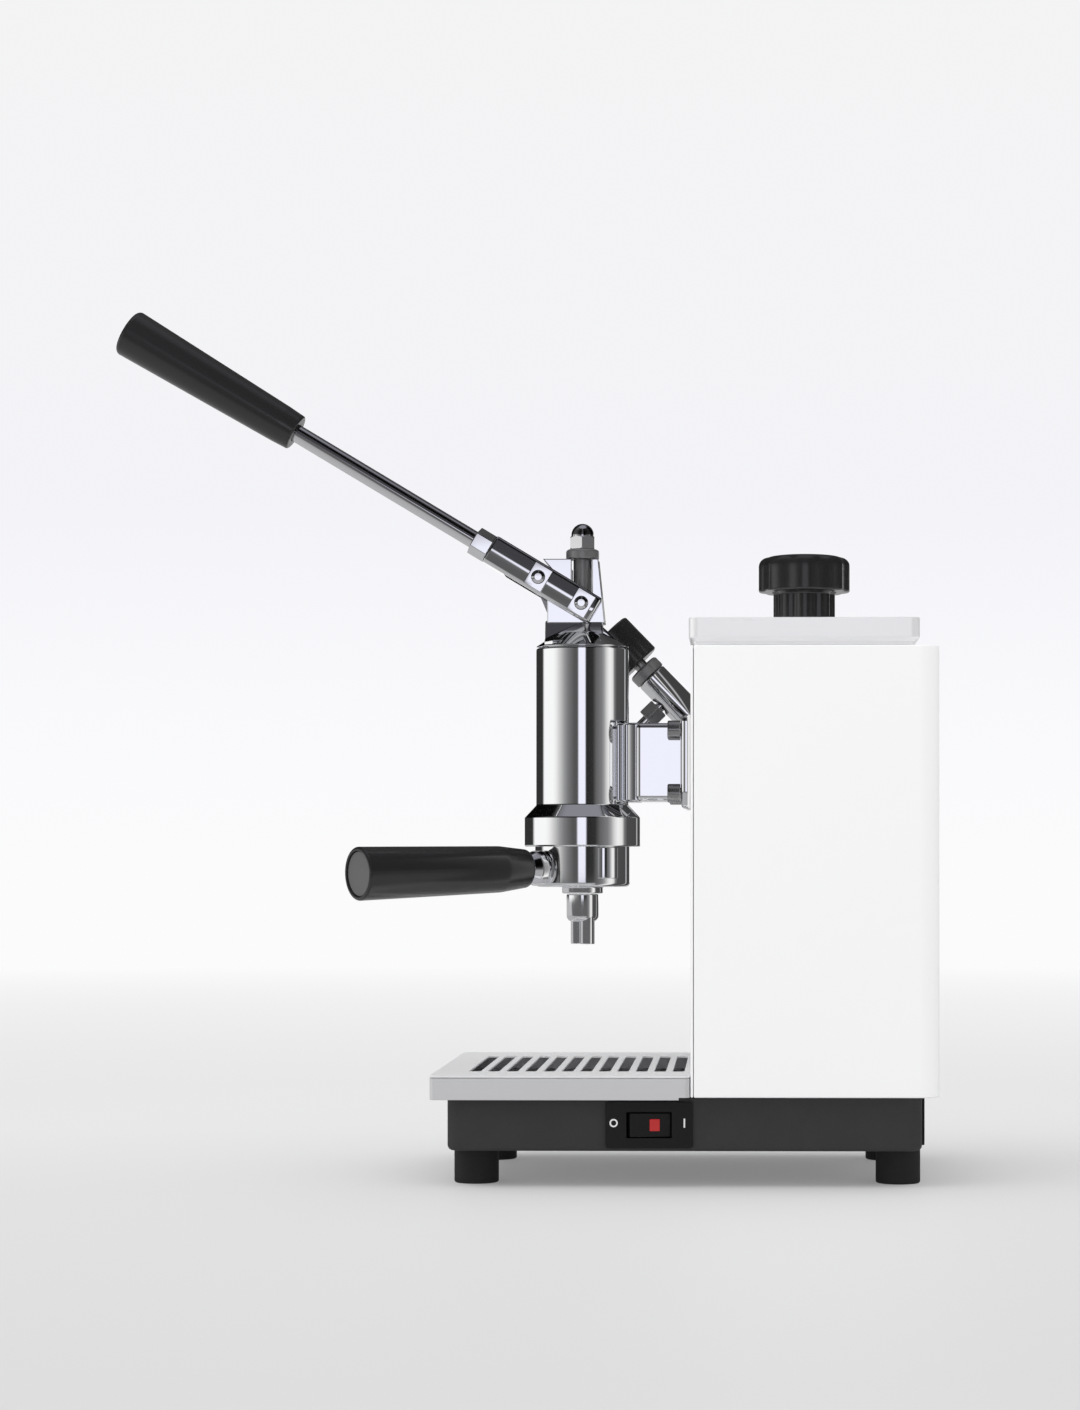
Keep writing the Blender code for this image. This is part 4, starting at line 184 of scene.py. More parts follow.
HANGER_RADIUS = 0.00515
HANGER_SLOT = 0.0057
HANGER_EYE = 0.0076
DRIVE_CLEARANCE = 0.0012
LEVER_UP = math.radians(8.0)
LEVER_DOWN = math.radians(56.0)

# Portafilter, with its handle turned towards the switch side
HANDLE_TURN = math.radians(36.5)
HANDLE_DROOP = math.radians(1.5)
FILTER_RADIUS = 0.0266
FILTER_WALL = 0.0022
FILTER_TOP = 0.1888
FILTER_BOTTOM = 0.1588
FILTER_FLOOR = 0.0045
COLLAR_RADIUS = 0.0115
COLLAR = 0.0038
EAR_WIDTH = 0.0108
EAR_REACH = 0.0300
EAR_TOP = 0.1885
EAR_GAP = 0.0004
LUG_REACH = 0.0293
LUG_BOTTOM = 0.1635
HANDLE_AXIS_Z = 0.1700
BOSS_END = 0.0370
BOSS_RADIUS = 0.0078
BOSS_ROOT_RADIUS = 0.0098
BOSS_TAPER = 0.0045
STUD_BORE = 0.0043
GRIP_END = 0.1440
GRIP_END_RADIUS = 0.0145
GRIP_SHOULDER_RADIUS = 0.0128
GRIP_START_RADIUS = 0.0105
GRIP_SHOULDER = 0.0180
SPOUT_RADIUS = 0.0040
SPOUT_BORE = 0.0029
SPOUT_SPREAD = 0.0049
SPOUT_SHOULDER = 0.1392
SPOUT_HUB_RADIUS = 0.0090
LUG_HALF_WIDTH = 0.0080
LUG_EDGE = 0.0076
GRIP_LINE = Vector((
    math.sin(HANDLE_TURN) * math.cos(HANDLE_DROOP),
    -math.cos(HANDLE_TURN) * math.cos(HANDLE_DROOP),
    -math.sin(HANDLE_DROOP),
))

# Steam valve, knob and wand, measured along the valve from the front panel
VALVE_X = -0.0500
VALVE_Z = 0.2540
VALVE_ANGLE = math.radians(45.8)
VALVE_RADIUS = 0.0092
VALVE_INSIDE = 0.0180
VALVE_LENGTH = 0.0360
PACKING_RADIUS = 0.0096
PACKING_LENGTH = 0.0070
STEM_RADIUS = 0.0038
KNOB_START = 0.0459
KNOB_END = 0.0713
KNOB_RADIUS = 0.01325
WAND_AT = 0.0200
WAND_SOCKET_RADIUS = 0.0052
WAND_NUT_START = 0.0096
WAND_NUT_END = 0.0190
WAND_NUT_RADIUS = 0.0068
WAND_RADIUS = 0.0030
WAND_BEND = 0.0160
WAND_DROP_Y = 0.0110
WAND_KNEE = 0.0300
WAND_TIP_RADIUS = 0.0042
VALVE_LINE = Vector((0, -math.cos(VALVE_ANGLE), math.sin(VALVE_ANGLE)))
WAND_LINE = Vector((0, -math.sin(VALVE_ANGLE), -math.cos(VALVE_ANGLE)))

# The photograph's frame, in pixels: its size, the point that the machine's depth runs to, and the lens
PHOTO_WIDTH = 1080
PHOTO_HEIGHT = 1410
VANISHING_X = 740
VANISHING_Y = 866
LENS_MM = 76.03
SENSOR_MM = 36

# What the chrome mirrors: a grey or a colour by degrees round from the switch side, and by height
ROOM_BANDS = [
    (-180, 0.90), (-172, 0.90), (-168, 0.03), (-115, 0.03), (-107, (0.96, 0.96, 0.95)),
    (-76, (0.97, 0.97, 0.95)), (-67, (0.87, 0.87, 0.85)), (-59, (0.68, 0.68, 0.66)),
    (-51, (0.50, 0.50, 0.49)), (-43, 0.32), (-34, 0.20), (-26, 0.14), (-17, 0.09), (-9, 0.09),
    (-6, (0.90, 0.90, 1.0)), (8.5, (0.90, 0.90, 1.0)), (11.5, 0.02), (28, 0.03), (38, 0.12),
    (60, 0.14), (84, 0.30), (92, 0.03), (140, 0.03), (150, 0.80), (180, 0.90),
]
ROOM_HEIGHTS = [(0.0, 1.0), (0.10, 1.0), (0.17, 0.06), (0.60, 0.05), (0.86, 0.10)]
OVERHEAD_START = [(0.86, 0.0), (0.95, 1.0)]
OVERHEAD_TONE = (0.24, 0.24, 0.27)
BAND_STRENGTH = 1.12

# The wall behind, by height, and the floor: its reach, its tones across, which darken it towards the camera
# as painted shade, the painted shade of its reflection in the chrome, and where it fades into the wall, with
# a faint glow near the machine, painted light that lightens the shade under it
BACKDROP = [
    (0.0, (0.965, 0.965, 0.97)), (0.05, (0.95, 0.95, 0.975)), (0.12, (0.90, 0.90, 0.935)),
    (0.28, (0.90, 0.90, 0.905)),
]
FLOOR_REACH = 12.0
FLOOR_HALF = 1.5
# Painted shade: the floor's colour darkens towards the camera
FLOOR_SHADED_TONES = [(0.0, 0.78), (0.42, 0.72), (0.54, 0.65), (0.745, 0.58), (1.0, 0.56)]
# Painted shade on the floor's reflection in the chrome, by share across the floor
FLOOR_REFLECTION_SHADE = [(0.54, 0.45), (0.745, 0.50), (0.90, 0.82), (1.0, 0.86)]
# Where the floor fades into the wall's glow, and the share of that glow kept near the machine, painted light
# that lightens the shade under it
FLOOR_FADE_AND_GLOW = (0.7, 3.4, 0.20)

# The card before the front panel, from side to side: a painted reflection of the panel in the chrome, with
# its painted light and shade
CARD_REFLECTION_TONES = [
    (0.0, 0.05), (0.34, 0.06), (0.36, 0.50), (0.385, 0.50), (0.40, 0.07), (0.56, 0.08), (0.595, 0.22),
    (0.62, (0.86, 0.86, 0.82)), (0.665, (1.0, 1.0, 0.97)), (0.71, (0.76, 0.76, 0.74)), (0.76, 0.38),
    (0.81, 0.23), (0.90, 0.17), (1.0, 0.12),
]


# Settings

def metres(name, description, default, low, high):
    return bpy.props.FloatProperty(
        name=name, description=description, default=default, min=low, max=high, unit="LENGTH",
    )


def whole(name, description, default, low, high):
    return bpy.props.IntProperty(name=name, description=description, default=default, min=low, max=high)


def tint(name, description, default):
    return bpy.props.FloatVectorProperty(
        name=name, description=description, default=default, size=3, subtype="COLOR", min=0, max=1,
    )


class MachineSizes(bpy.types.PropertyGroup):
    """Sizes of the finished surfaces that a user may change."""

    sheet_edge: metres("Sheet Edge", "Rounding of the folded sheet-metal edges", 0.0007, 0.0002, 0.0012)
    tray_corner: metres("Tray Corner", "Radius of the cup tray's upright corners", 0.0050, 0.002, 0.010)
    grille_slots: whole("Grille Slots", "Number of slots in the drip grille", 12, 1, 24)
    grille_pitch: metres("Slot Pitch", "Distance from one slot to the next", 0.0100, 0.004, 0.02)
    slot_width: metres("Slot Width", "Width of a slot in the drip grille", 0.00635, 0.002, 0.01)
    slot_length: metres("Slot Length", "Length of a slot in the drip grille", 0.130, 0.05, 0.18)
    knob_lobes: whole("Knob Lobes", "Number of lobes round the boiler cap's knob", 8, 3, 16)
    lobe_depth: metres("Lobe Depth", "Depth of the hollows between the knob's lobes", 0.0016, 0.0, 0.004)
    stem_lobe_depth: metres("Stem Lobe Depth", "Depth of the hollows round its stem", 0.0019, 0.0, 0.004)


class MachineColours(bpy.types.PropertyGroup):
    """Colours of the finishes."""

    enamel: tint("Enamel", "Colour of the white stove enamel on the housing", (0.94, 0.94, 0.945))
    anthracite: tint("Anthracite", "Colour of the textured paint on the base", (0.037, 0.035, 0.037))
    chrome: tint("Chrome", "Colour of the polished plating", (0.86, 0.865, 0.885))
    steel: tint("Steel", "Colour of the brushed stainless steel", (0.74, 0.74, 0.75))
    brass: tint("Brass", "Colour of the bare brass inside", (0.72, 0.52, 0.26))
    phenolic: tint("Phenolic", "Colour of the black handles and knobs", (0.018, 0.018, 0.019))
    lamp: tint("Lamp", "Colour of the switch's lens", (0.36, 0.014, 0.014))
    disc: tint("Grip Disc", "Colour of the disc in the filter grip's end", (0.12, 0.12, 0.12))
    switch: tint("Switch", "Colour of the switch's plastic", (0.005, 0.005, 0.006))
    rubber: tint("Feet", "Colour of the rubber feet", (0.016, 0.016, 0.017))
    seal: tint("Seals", "Colour of the seals inside", (0.12, 0.05, 0.03))
    mark: tint("Marks", "Colour of the switch's marks", (0.80, 0.80, 0.80))


class StudioSettings(bpy.types.PropertyGroup):
    """Light, floor and camera."""

    camera_distance: metres(
        "Camera Distance", "How far the camera stands from the machine's middle plane", 1.670, 0.5, 10,
    )
    camera_height: metres("Camera Height", "Height of the camera over the table", 0.1704, 0, 2)
    camera_behind: metres(
        "Camera Behind", "How far the camera stands behind the group's axis", 0.0883, -1, 1,
    )
    camera_yaw: bpy.props.FloatProperty(
        name="Camera Yaw", description="Turn of the camera towards the lever",
        default=math.radians(1.0), min=-0.5, max=0.5, unit="ROTATION",
    )
    room_light: bpy.props.FloatProperty(
        name="Room Light", description="Strength of the even light from all round",
        default=1.08, min=0, max=4,
    )
    top_light: bpy.props.FloatProperty(
        name="Top Light", description="Power of the large soft light overhead",
        default=9.0, min=0, max=200, unit="POWER",
    )


def at(x, along, z):
    """A place given by its distance behind the group's axis."""
    return Vector((x, GROUP_Y + along, z))


def around(node):
    """A node's corners, half its size and its middle, with Y measured from the group's axis."""
    low, high = (corner - at(0, 0, 0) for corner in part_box(node))
    return low, high, (high - low) / 2, (high + low) / 2


# Meshes

def linked(name, mesh):
    made = bpy.data.objects.new(name, mesh)
    bpy.context.scene.collection.objects.link(made)
    return made


def from_shape(name, shape):
    """An object from a bmesh, closed, with its faces pointing out and smooth but for its sharp edges."""
    bmesh.ops.remove_doubles(shape, verts=shape.verts, dist=MERGE)
    bmesh.ops.recalc_face_normals(shape, faces=shape.faces)
    mesh = bpy.data.meshes.new(name)
    shape.to_mesh(mesh)
    shape.free()
    mesh.shade_smooth()
    mesh.set_sharp_from_angle(angle=SHARP_ANGLE)
    return linked(name, mesh)


def evaluated(obj):
    """A mesh of the object with its modifiers applied."""
    bpy.context.view_layer.update()
    graph = bpy.context.evaluated_depsgraph_get()
    return bpy.data.meshes.new_from_object(obj.evaluated_get(graph))


def settled(obj):
    """The object with its modifiers and its place put into its mesh."""
    mesh = evaluated(obj)
    mesh.transform(obj.matrix_world)
    shape = bmesh.new()
    shape.from_mesh(mesh)
    bpy.data.meshes.remove(mesh)
    name = obj.name
    bpy.data.objects.remove(obj, do_unlink=True)
    return from_shape(name, shape)


def softened(obj, width, segments=3, angle=35):
    """The object with its sharp edges rounded."""
    edge = obj.modifiers.new("Edge", "BEVEL")
    edge.width = width
    edge.segments = segments
    edge.limit_method = "ANGLE"
    edge.angle_limit = math.radians(angle)
    edge.use_clamp_overlap = True
    return settled(obj)


def combined(obj, operation, others):
    for other in others:
        change = obj.modifiers.new("Change", "BOOLEAN")
        change.operation = operation
        change.object = other
    made = settled(obj)
    for other in others:
        bpy.data.objects.remove(other, do_unlink=True)
    return made


def cut(obj, *others):
    return combined(obj, "DIFFERENCE", others)


def joined(obj, *others):
    return combined(obj, "UNION", others)


def lofted(name, rings, closed=False):
    """A skin over rings of equally many points; a ring of one point is a tip."""
    shape = bmesh.new()
    rows = [[shape.verts.new(point) for point in ring] for ring in rings]
    for low, high in zip(rows, rows[1:] + rows[:1] if closed else rows[1:]):
        count = max(len(low), len(high))
        for i in range(count):
            j = (i + 1) % count
            corners = (low[i % len(low)], low[j % len(low)], high[j % len(high)], high[i % len(high)])
            shape.faces.new(list(dict.fromkeys(corners)))
    for row in () if closed else (rows[0], rows[-1]):
        if len(row) > 2:
            shape.faces.new(row)
    return from_shape(name, shape)


def arc(before, corner, after, radius, pieces):
    """The points of the arc that rounds a corner."""
    before, corner, after = (Vector(point).to_3d() for point in (before, corner, after))
    back, on = (before - corner).normalized(), (after - corner).normalized()
    half = back.angle(on) / 2
    middle = corner + (back + on).normalized() * radius / math.sin(half)
    start, end = (corner + line * radius / math.tan(half) - middle for line in (back, on))
    turn, across = start.angle(end), start.cross(end).normalized()
    return [Matrix.Rotation(turn * k / pieces, 3, across) @ start + middle for k in range(pieces + 1)]


def rounded(corners, pieces=FILLET):
    """An outline from corners of two coordinates and, where a corner is rounded, its radius."""
    outline = []
    for i, (x, y, *radius) in enumerate(corners):
        if not any(radius):
            outline.append((x, y))
            continue
        before, after = corners[i - 1][:2], corners[(i + 1) % len(corners)][:2]
        outline += [tuple(point.to_2d()) for point in arc(before, (x, y), after, radius[0], pieces)]
    return outline


def bent(points, radius, pieces=10):
    """A line of points whose inner corners are rounded to a bend."""
    line = [points[0]]
    for before, corner, after in zip(points, points[1:], points[2:]):
        line += arc(before, corner, after, radius, pieces)
    return [*line, points[-1]]


def spaced(first, last, pieces=FILLET * 2):
    """Evenly spaced angles from the first to the last."""
    return [first + (last - first) * k / pieces for k in range(pieces + 1)]


def turned(name, profile, place, direction=UP, closed=False, steps=ROUND, pieces=FILLET):
    """A turned piece, from corners of radius, height along its axis and, where it has one, a rounding."""
    stand = Matrix.Translation(place) @ direction.to_track_quat("Z", "Y").to_matrix().to_4x4()
    rings = []
    for radius, height in rounded(profile, pieces):
        turns = [2 * math.pi * k / steps for k in range(steps if radius > MERGE else 1)]
        rings.append([stand @ Vector((radius * math.cos(t), radius * math.sin(t), height)) for t in turns])
    return lofted(name, rings, closed)


def rectangle(half_x, half_y, corner):
    corner = max(corner, MERGE * 5)
    return rounded([(x, y, corner) for x, y in corners_of(-half_x, -half_y, half_x, half_y)])


def corners_of(left, low, right, high):
    return [(left, low), (right, low), (right, high), (left, high)]


def pan(name, half, corner, profile, middle):
    """A pressed pan: a closed profile of inset and height, carried round a rounded rectangle."""
    rings = []
    for inset, height in rounded(profile):
        outline = rectangle(half.x - inset, half.y - inset, corner - inset)
        rings.append([at(x + middle.x, y + middle.y, height) for x, y in outline])
    return lofted(name, rings, closed=True)


def prism(name, outline, low, high, place=Matrix.Identity(4)):
    """An outline carried from one height to another, then put in its place."""
    return lofted(name, [[place @ Vector((x, y, z)) for x, y in outline] for z in (low, high)])


def slab(name, outline, thickness, centre, turn=(0, 0, 0)):
    """A flat outline of a given thickness, centred on a point."""
    stand = Matrix.Translation(centre) @ Euler(turn).to_matrix().to_4x4()
    return prism(name, outline, -thickness / 2, thickness / 2, stand)


def block(name, low, high, place=Matrix.Identity(4)):
    low, high = Vector(low), Vector(high)
    return prism(name, corners_of(low.x, low.y, high.x, high.y), low.z, high.z, place)


def floor_sheet(name, half, middle, inset, corner, low, high):
    """The flat floor of a pan."""
    outline = rectangle(half.x - inset, half.y - inset, corner)
    return slab(name, outline, high - low, at(middle.x, middle.y, (low + high) / 2))


def bar(name, start, end, radius, edge=0.0, steps=ROUND_SMALL):
    """A round bar between two points, with its ends' edges rounded."""
    start, end = Vector(start), Vector(end)
    length = (end - start).length
    profile = [(0, 0), (radius, 0, edge), (radius, length, edge), (0, length)]
    return turned(name, profile, start, end - start, steps=steps)


def tube(name, points, radius, steps=ROUND_SMALL):
    """A round tube along a line of points, whose sections turn as little as they can."""
    rings = []
    across = None
    for i, point in enumerate(points):
        ahead = (points[min(i + 1, len(points) - 1)] - points[max(i - 1, 0)]).normalized()
        across = across or ahead.orthogonal().normalized()
        across = (across - ahead * across.dot(ahead)).normalized()
        other = ahead.cross(across)
        turns = [2 * math.pi * k / steps for k in range(steps)]
        rings.append([point + (across * math.cos(t) + other * math.sin(t)) * radius for t in turns])
    return lofted(name, rings)


def hexagon(radius, turn=0.0):
    turns = [turn + math.pi * k / 3 for k in range(6)]
    return [(radius * math.cos(t), radius * math.sin(t)) for t in turns]


def dressed(obj, body, finish_name, *nodes):
    """Gives a finished piece its material, its body and the nodes that it stands for."""
    weigh = obj.modifiers.new("Normals", "WEIGHTED_NORMAL")
    weigh.keep_sharp = True
    mesh = evaluated(obj)
    obj.modifiers.clear()
    obj.data = mesh
    mesh.name = obj.name
    mesh.materials.clear()
    mesh.materials.append(finish(finish_name))
    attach(obj, body)
    if nodes:
        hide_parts(*nodes)


# Node trees

class Nodes:
    """Adds nodes to a tree."""

    def __init__(self, tree):
        self.tree = tree

    def node(self, kind, settings=None, **inputs):
        """A node whose settings and inputs are given by name; an input is a value or a socket."""
        made = self.tree.nodes.new(kind)
        for key, value in (settings or {}).items():
            setattr(made, key, value)
        for key, value in inputs.items():
            label = key.replace("_", " ")
            wanted = [s for s in made.inputs if label in (s.name, s.identifier) and s.enabled]
            self.give(wanted[0] if wanted else made.inputs[int(key[1:])], value)
        return made

    def give(self, socket, value):
        """Sets an input to a value, or links it to an output."""
        if isinstance(value, bpy.types.NodeSocket):
            self.tree.links.new(value, socket)
        else:
            socket.default_value = value

    def out(self, kind, settings=None, **inputs):
        """The first output in use of a new node."""
        return next(s for s in self.node(kind, settings, **inputs).outputs if s.enabled)

    def math(self, operation, first, second=0.0, third=0.0):
        settings = {"operation": operation}
        return self.out("ShaderNodeMath", settings, _0=first, _1=second, _2=third)

    def vector_math(self, operation, first, **inputs):
        return self.out("ShaderNodeVectorMath", {"operation": operation}, _0=first, **inputs)

    def vector(self, x=0.0, y=0.0, z=0.0):
        return self.out("ShaderNodeCombineXYZ", X=x, Y=y, Z=z)

    def split(self, vector):
        return self.node("ShaderNodeSeparateXYZ", Vector=vector).outputs

    def share(self, value, low, high, start=0.0):
        """How far a value has come from low to high, from the start on to one."""
        return self.out("ShaderNodeMapRange", Value=value, From_Min=low, From_Max=high, To_Min=start)

    def place(self, output="Object"):
        return self.node("ShaderNodeTexCoord").outputs[output]

    def blend(self, factor, first, second, kind="MIX"):
        settings = {"data_type": "RGBA", "blend_type": kind}
        return self.out("ShaderNodeMix", settings, Factor=factor, A=first, B=second)

    def mix_shaders(self, factor, first, second):
        return self.out("ShaderNodeMixShader", _0=factor, _1=first, _2=second)

    def ramp(self, source, stops):
        """A colour ramp from pairs of a place and a grey or a colour."""
        made = self.node("ShaderNodeValToRGB", _0=source)
        points = made.color_ramp.elements
        for number, (place, tone) in enumerate(stops):
            point = points[number] if number < 2 else points.new(place)
            point.position = place
            point.color = (*tone, 1) if isinstance(tone, tuple) else (tone, tone, tone, 1)
        return made.outputs[0]


class NodeGroup(Nodes):
    """A node group with named inputs and outputs."""

    def __init__(self, name, kind, inputs, outputs):
        super().__init__(bpy.data.node_groups.new(name, kind + "NodeTree"))
        for way, sockets in (("INPUT", inputs), ("OUTPUT", outputs)):
            for label, form, *start in sockets:
                socket = self.tree.interface.new_socket(label, in_out=way, socket_type="NodeSocket" + form)
                if start:
                    socket.default_value = start[0]
        self.start = self.node("NodeGroupInput").outputs
        self.end = self.node("NodeGroupOutput").inputs


class Shaping(NodeGroup):
    """A geometry tree with named inputs, which ends in real meshes with a material."""

    def __init__(self, name, inputs):
        inputs = [("Geometry", "Geometry"), *inputs, ("Material", "Material")]
        super().__init__(name, "Geometry", inputs, [("Geometry", "Geometry")])
        items = self.tree.interface.items_tree
        self.sockets = {item.name: item.identifier for item in items if item.in_out == "INPUT"}

    def finished(self, geometry):
        real = self.out("GeometryNodeRealizeInstances", Geometry=geometry)
        coat = self.out("GeometryNodeSetMaterial", Geometry=real, Material=self.start["Material"])
        self.give(self.end[0], coat)
        return self

    def moved(self, geometry, **inputs):
        return self.out("GeometryNodeTransform", Geometry=geometry, **inputs)

    def copies(self, points, piece):
        return self.out("GeometryNodeInstanceOnPoints", Points=points, Instance=piece)

    def together(self, *pieces):
        both = self.node("GeometryNodeJoinGeometry")
        for piece in pieces:
            self.give(both.inputs[0], piece)
        return both.outputs[0]


def grown(obj, tree, finish_name, **values):
    """Runs a tree on an object and leaves a plain mesh."""
    change = obj.modifiers.new(tree.tree.name, "NODES")
    change.node_group = tree.tree
    for key, value in values.items():
        change[tree.sockets[key.replace("_", " ")]] = value
    change[tree.sockets["Material"]] = finish(finish_name)
    return settled(obj)


def corner_copies():
    """One piece, set out at the four corners of an upright or a lying rectangle."""
    tree = Shaping("corner_copies", [
        ("Spread X", "Float", 0.1), ("Spread Y", "Float", 0.1),
        ("Middle", "Vector", (0, 0, 0)), ("Tilt", "Vector", (0, 0, 0)),
    ])
    start = tree.start
    grid = tree.out(
        "GeometryNodeMeshGrid", Size_X=start["Spread X"], Size_Y=start["Spread Y"],
        Vertices_X=2, Vertices_Y=2,
    )
    stood = tree.moved(grid, Translation=start["Middle"], Rotation=start["Tilt"])
    return tree.finished(tree.copies(stood, start["Geometry"]))


def slotted_plate():
    """A flat plate with rounded corners and a row of rounded slots."""
    tree = Shaping("slotted_plate", [
        ("Width", "Float", 0.2), ("Depth", "Float", 0.13), ("Corner", "Float", 0.003),
        ("Thickness", "Float", 0.001), ("Slots", "Int", 12), ("Pitch", "Float", 0.01),
        ("Slot Width", "Float", 0.006), ("Slot Length", "Float", 0.13), ("Slot Corner Share", "Float", 0.32),
        ("First Slot", "Vector", (0, 0, 0)), ("Middle", "Vector", (0, 0, 0)),
    ])
    start = tree.start

    def outline(width, height, radius, count):
        sheet = tree.out("GeometryNodeCurvePrimitiveQuadrilateral", Width=width, Height=height)
        return tree.out("GeometryNodeFilletCurve", {"mode": "POLY"}, Curve=sheet, Radius=radius, Count=count)

    rim = outline(start["Width"], start["Depth"], start["Corner"], FILLET)
    slot_corner = tree.math("MULTIPLY", start["Slot Width"], start["Slot Corner Share"])
    slot = outline(start["Slot Length"], start["Slot Width"], slot_corner, 4)
    row = tree.out(
        "GeometryNodeMeshLine", {"mode": "OFFSET"}, Count=start["Slots"],
        Start_Location=start["First Slot"], Offset=tree.vector(y=start["Pitch"]),
    )
    slots = tree.out("GeometryNodeRealizeInstances", Geometry=tree.copies(row, slot))
    face = tree.out("GeometryNodeFillCurve", Curve=tree.together(rim, slots))
    raised = tree.out(
        "GeometryNodeExtrudeMesh", Mesh=face, Offset=tree.vector(z=-1.0), Offset_Scale=start["Thickness"],
        Individual=False,
    )
    return tree.finished(tree.moved(tree.together(raised, face), Translation=start["Middle"]))


def lobed_turning():
    """Draws a turned piece in between evenly spaced lobes, over a span of its height."""
    tree = Shaping("lobed_turning", [
        ("Lobes", "Int", 8), ("Depth", "Float", 0.0016), ("Low", "Float", 0.0), ("High", "Float", 1.0),
        ("Inner Radius", "Float", 0.01),
    ])
    start = tree.start
    parts = tree.split(tree.out("GeometryNodeInputPosition"))
    turn = tree.math("ARCTAN2", parts["Y"], parts["X"])
    wave = tree.math("COSINE", tree.math("MULTIPLY", turn, start["Lobes"]))
    hollow = tree.math("POWER", tree.math("MULTIPLY_ADD", wave, -0.5, 0.5), 2.0)
    above = tree.math("GREATER_THAN", parts["Z"], start["Low"])
    below = tree.math("LESS_THAN", parts["Z"], start["High"])
    flat = tree.vector(x=parts["X"], y=parts["Y"])
    outside = tree.math("GREATER_THAN", tree.vector_math("LENGTH", flat), start["Inner Radius"])
    chosen = tree.math("MULTIPLY", tree.math("MULTIPLY", above, below), outside)
    pull = tree.math("MULTIPLY", tree.math("MULTIPLY", hollow, start["Depth"]), chosen)
    inward = tree.vector_math("NORMALIZE", flat)
    shift = tree.vector_math("SCALE", inward, Scale=tree.math("MULTIPLY", pull, -1.0))
    return tree.finished(tree.out("GeometryNodeSetPosition", Geometry=start["Geometry"], Offset=shift))


# Materials

def shared_group(name, build):
    return bpy.data.node_groups.get(name) or build(name).tree


def grain_group(name):
    """Uneven roughness and a fine height, from noise that can be drawn out along one axis."""
    made = NodeGroup(
        name, "Shader",
        [
            ("Vector", "Vector", (0, 0, 0)), ("Stretch", "Vector", (1, 1, 1)),
            ("Scale", "Float", 100.0), ("Roughness", "Float", 0.3), ("Spread", "Float", 0.1),
        ],
        [("Roughness", "Float"), ("Height", "Float")],
    )
    start = made.start
    drawn = made.vector_math("MULTIPLY", start["Vector"], _1=start["Stretch"])
    noise = made.out("ShaderNodeTexNoise", Vector=drawn, Scale=start["Scale"], Detail=4, Roughness=0.6)
    centred = made.math("SUBTRACT", noise, 0.5)
    uneven = made.math("MULTIPLY_ADD", centred, start["Spread"], start["Roughness"])
    made.give(made.end["Roughness"], uneven)
    made.give(made.end["Height"], noise)
    return made


def tone_group(name):
    """Two tones of one colour, mixed by broad soft noise."""
    made = NodeGroup(
        name, "Shader",
        [
            ("Vector", "Vector", (0, 0, 0)), ("Scale", "Float", 12.0),
            ("Colour", "Color", (1, 1, 1, 1)), ("Second Colour", "Color", (1, 1, 1, 1)),
        ],
        [("Colour", "Color")],
    )
    start = made.start
    noise = made.out("ShaderNodeTexNoise", Vector=start["Vector"], Scale=start["Scale"], Detail=3)
    made.give(made.end["Colour"], made.blend(noise, start["Colour"], start["Second Colour"]))
    return made


def toned(colour, share):
    return [min(c * share, 1) for c in colour]


def material(name):
    """A new material and the nodes in it."""
    made = bpy.data.materials.new(name)
    made.use_nodes = True
    return made, Nodes(made.node_tree)


def surface(
    name, colour, metallic=0.0, roughness=0.4, spread=0.05, scale=60.0, stretch=(1, 1, 1),
    bump=0.05, bump_depth=0.0001, shade=0.96, tone_scale=9.0, coat=0.0, coat_roughness=0.1, glow=0.0,
):
    """A material whose tone, roughness and relief vary over the surface."""
    made, nodes = material(name)
    place = nodes.place()
    tone = nodes.out(
        "ShaderNodeGroup", {"node_tree": shared_group("two_tone", tone_group)}, Vector=place,
        Scale=tone_scale, Colour=(*colour, 1), Second_Colour=(*toned(colour, shade), 1),
    )
    grain = nodes.node(
        "ShaderNodeGroup", {"node_tree": shared_group("fine_grain", grain_group)}, Vector=place,
        Stretch=stretch, Scale=scale, Roughness=roughness, Spread=spread,
    ).outputs
    values = {
        "Base Color": tone, "Roughness": grain["Roughness"], "Metallic": metallic,
        "Coat Weight": coat, "Coat Roughness": coat_roughness,
    }
    if bump:
        values["Normal"] = nodes.out(
            "ShaderNodeBump", Strength=bump, Distance=bump_depth, Height=grain["Height"],
        )
    if glow:
        values["Emission Color"] = (*colour, 1)
        values["Emission Strength"] = glow
    for label, value in values.items():
        nodes.give(nodes.tree.nodes["Principled BSDF"].inputs[label], value)
    return made


def enamel(colours):
    return surface("enamel", colours.enamel, roughness=0.42, spread=0.08, scale=420, bump=0.10,
                   bump_depth=0.00004, shade=0.985, tone_scale=6, coat=0.15, coat_roughness=0.25)


def anthracite(colours):
    return surface("anthracite_paint", colours.anthracite, roughness=0.60, spread=0.18, scale=900,
                   bump=0.55, bump_depth=0.00012, shade=0.80, tone_scale=70)


def polished_chrome(colours):
    return surface("polished_chrome", colours.chrome, metallic=1.0, roughness=0.045, spread=0.03, scale=55,
                   bump=0.02, bump_depth=0.00004, shade=0.985, tone_scale=14)


def brushed_steel(colours):
    return surface("brushed_steel", toned(colours.steel, BRUSHED_SHARE), metallic=0.40, roughness=0.30,
                   spread=0.08, scale=120, stretch=BRUSHED_GRAIN, bump=0.03, bump_depth=0.00005, shade=0.95,
                   tone_scale=18)


def turned_steel(colours):
    return surface("turned_steel", toned(colours.steel, TURNED_SHARE), metallic=1.0, roughness=0.26,
                   spread=0.12, scale=300, bump=0.08, bump_depth=0.00004, shade=0.85, tone_scale=60)


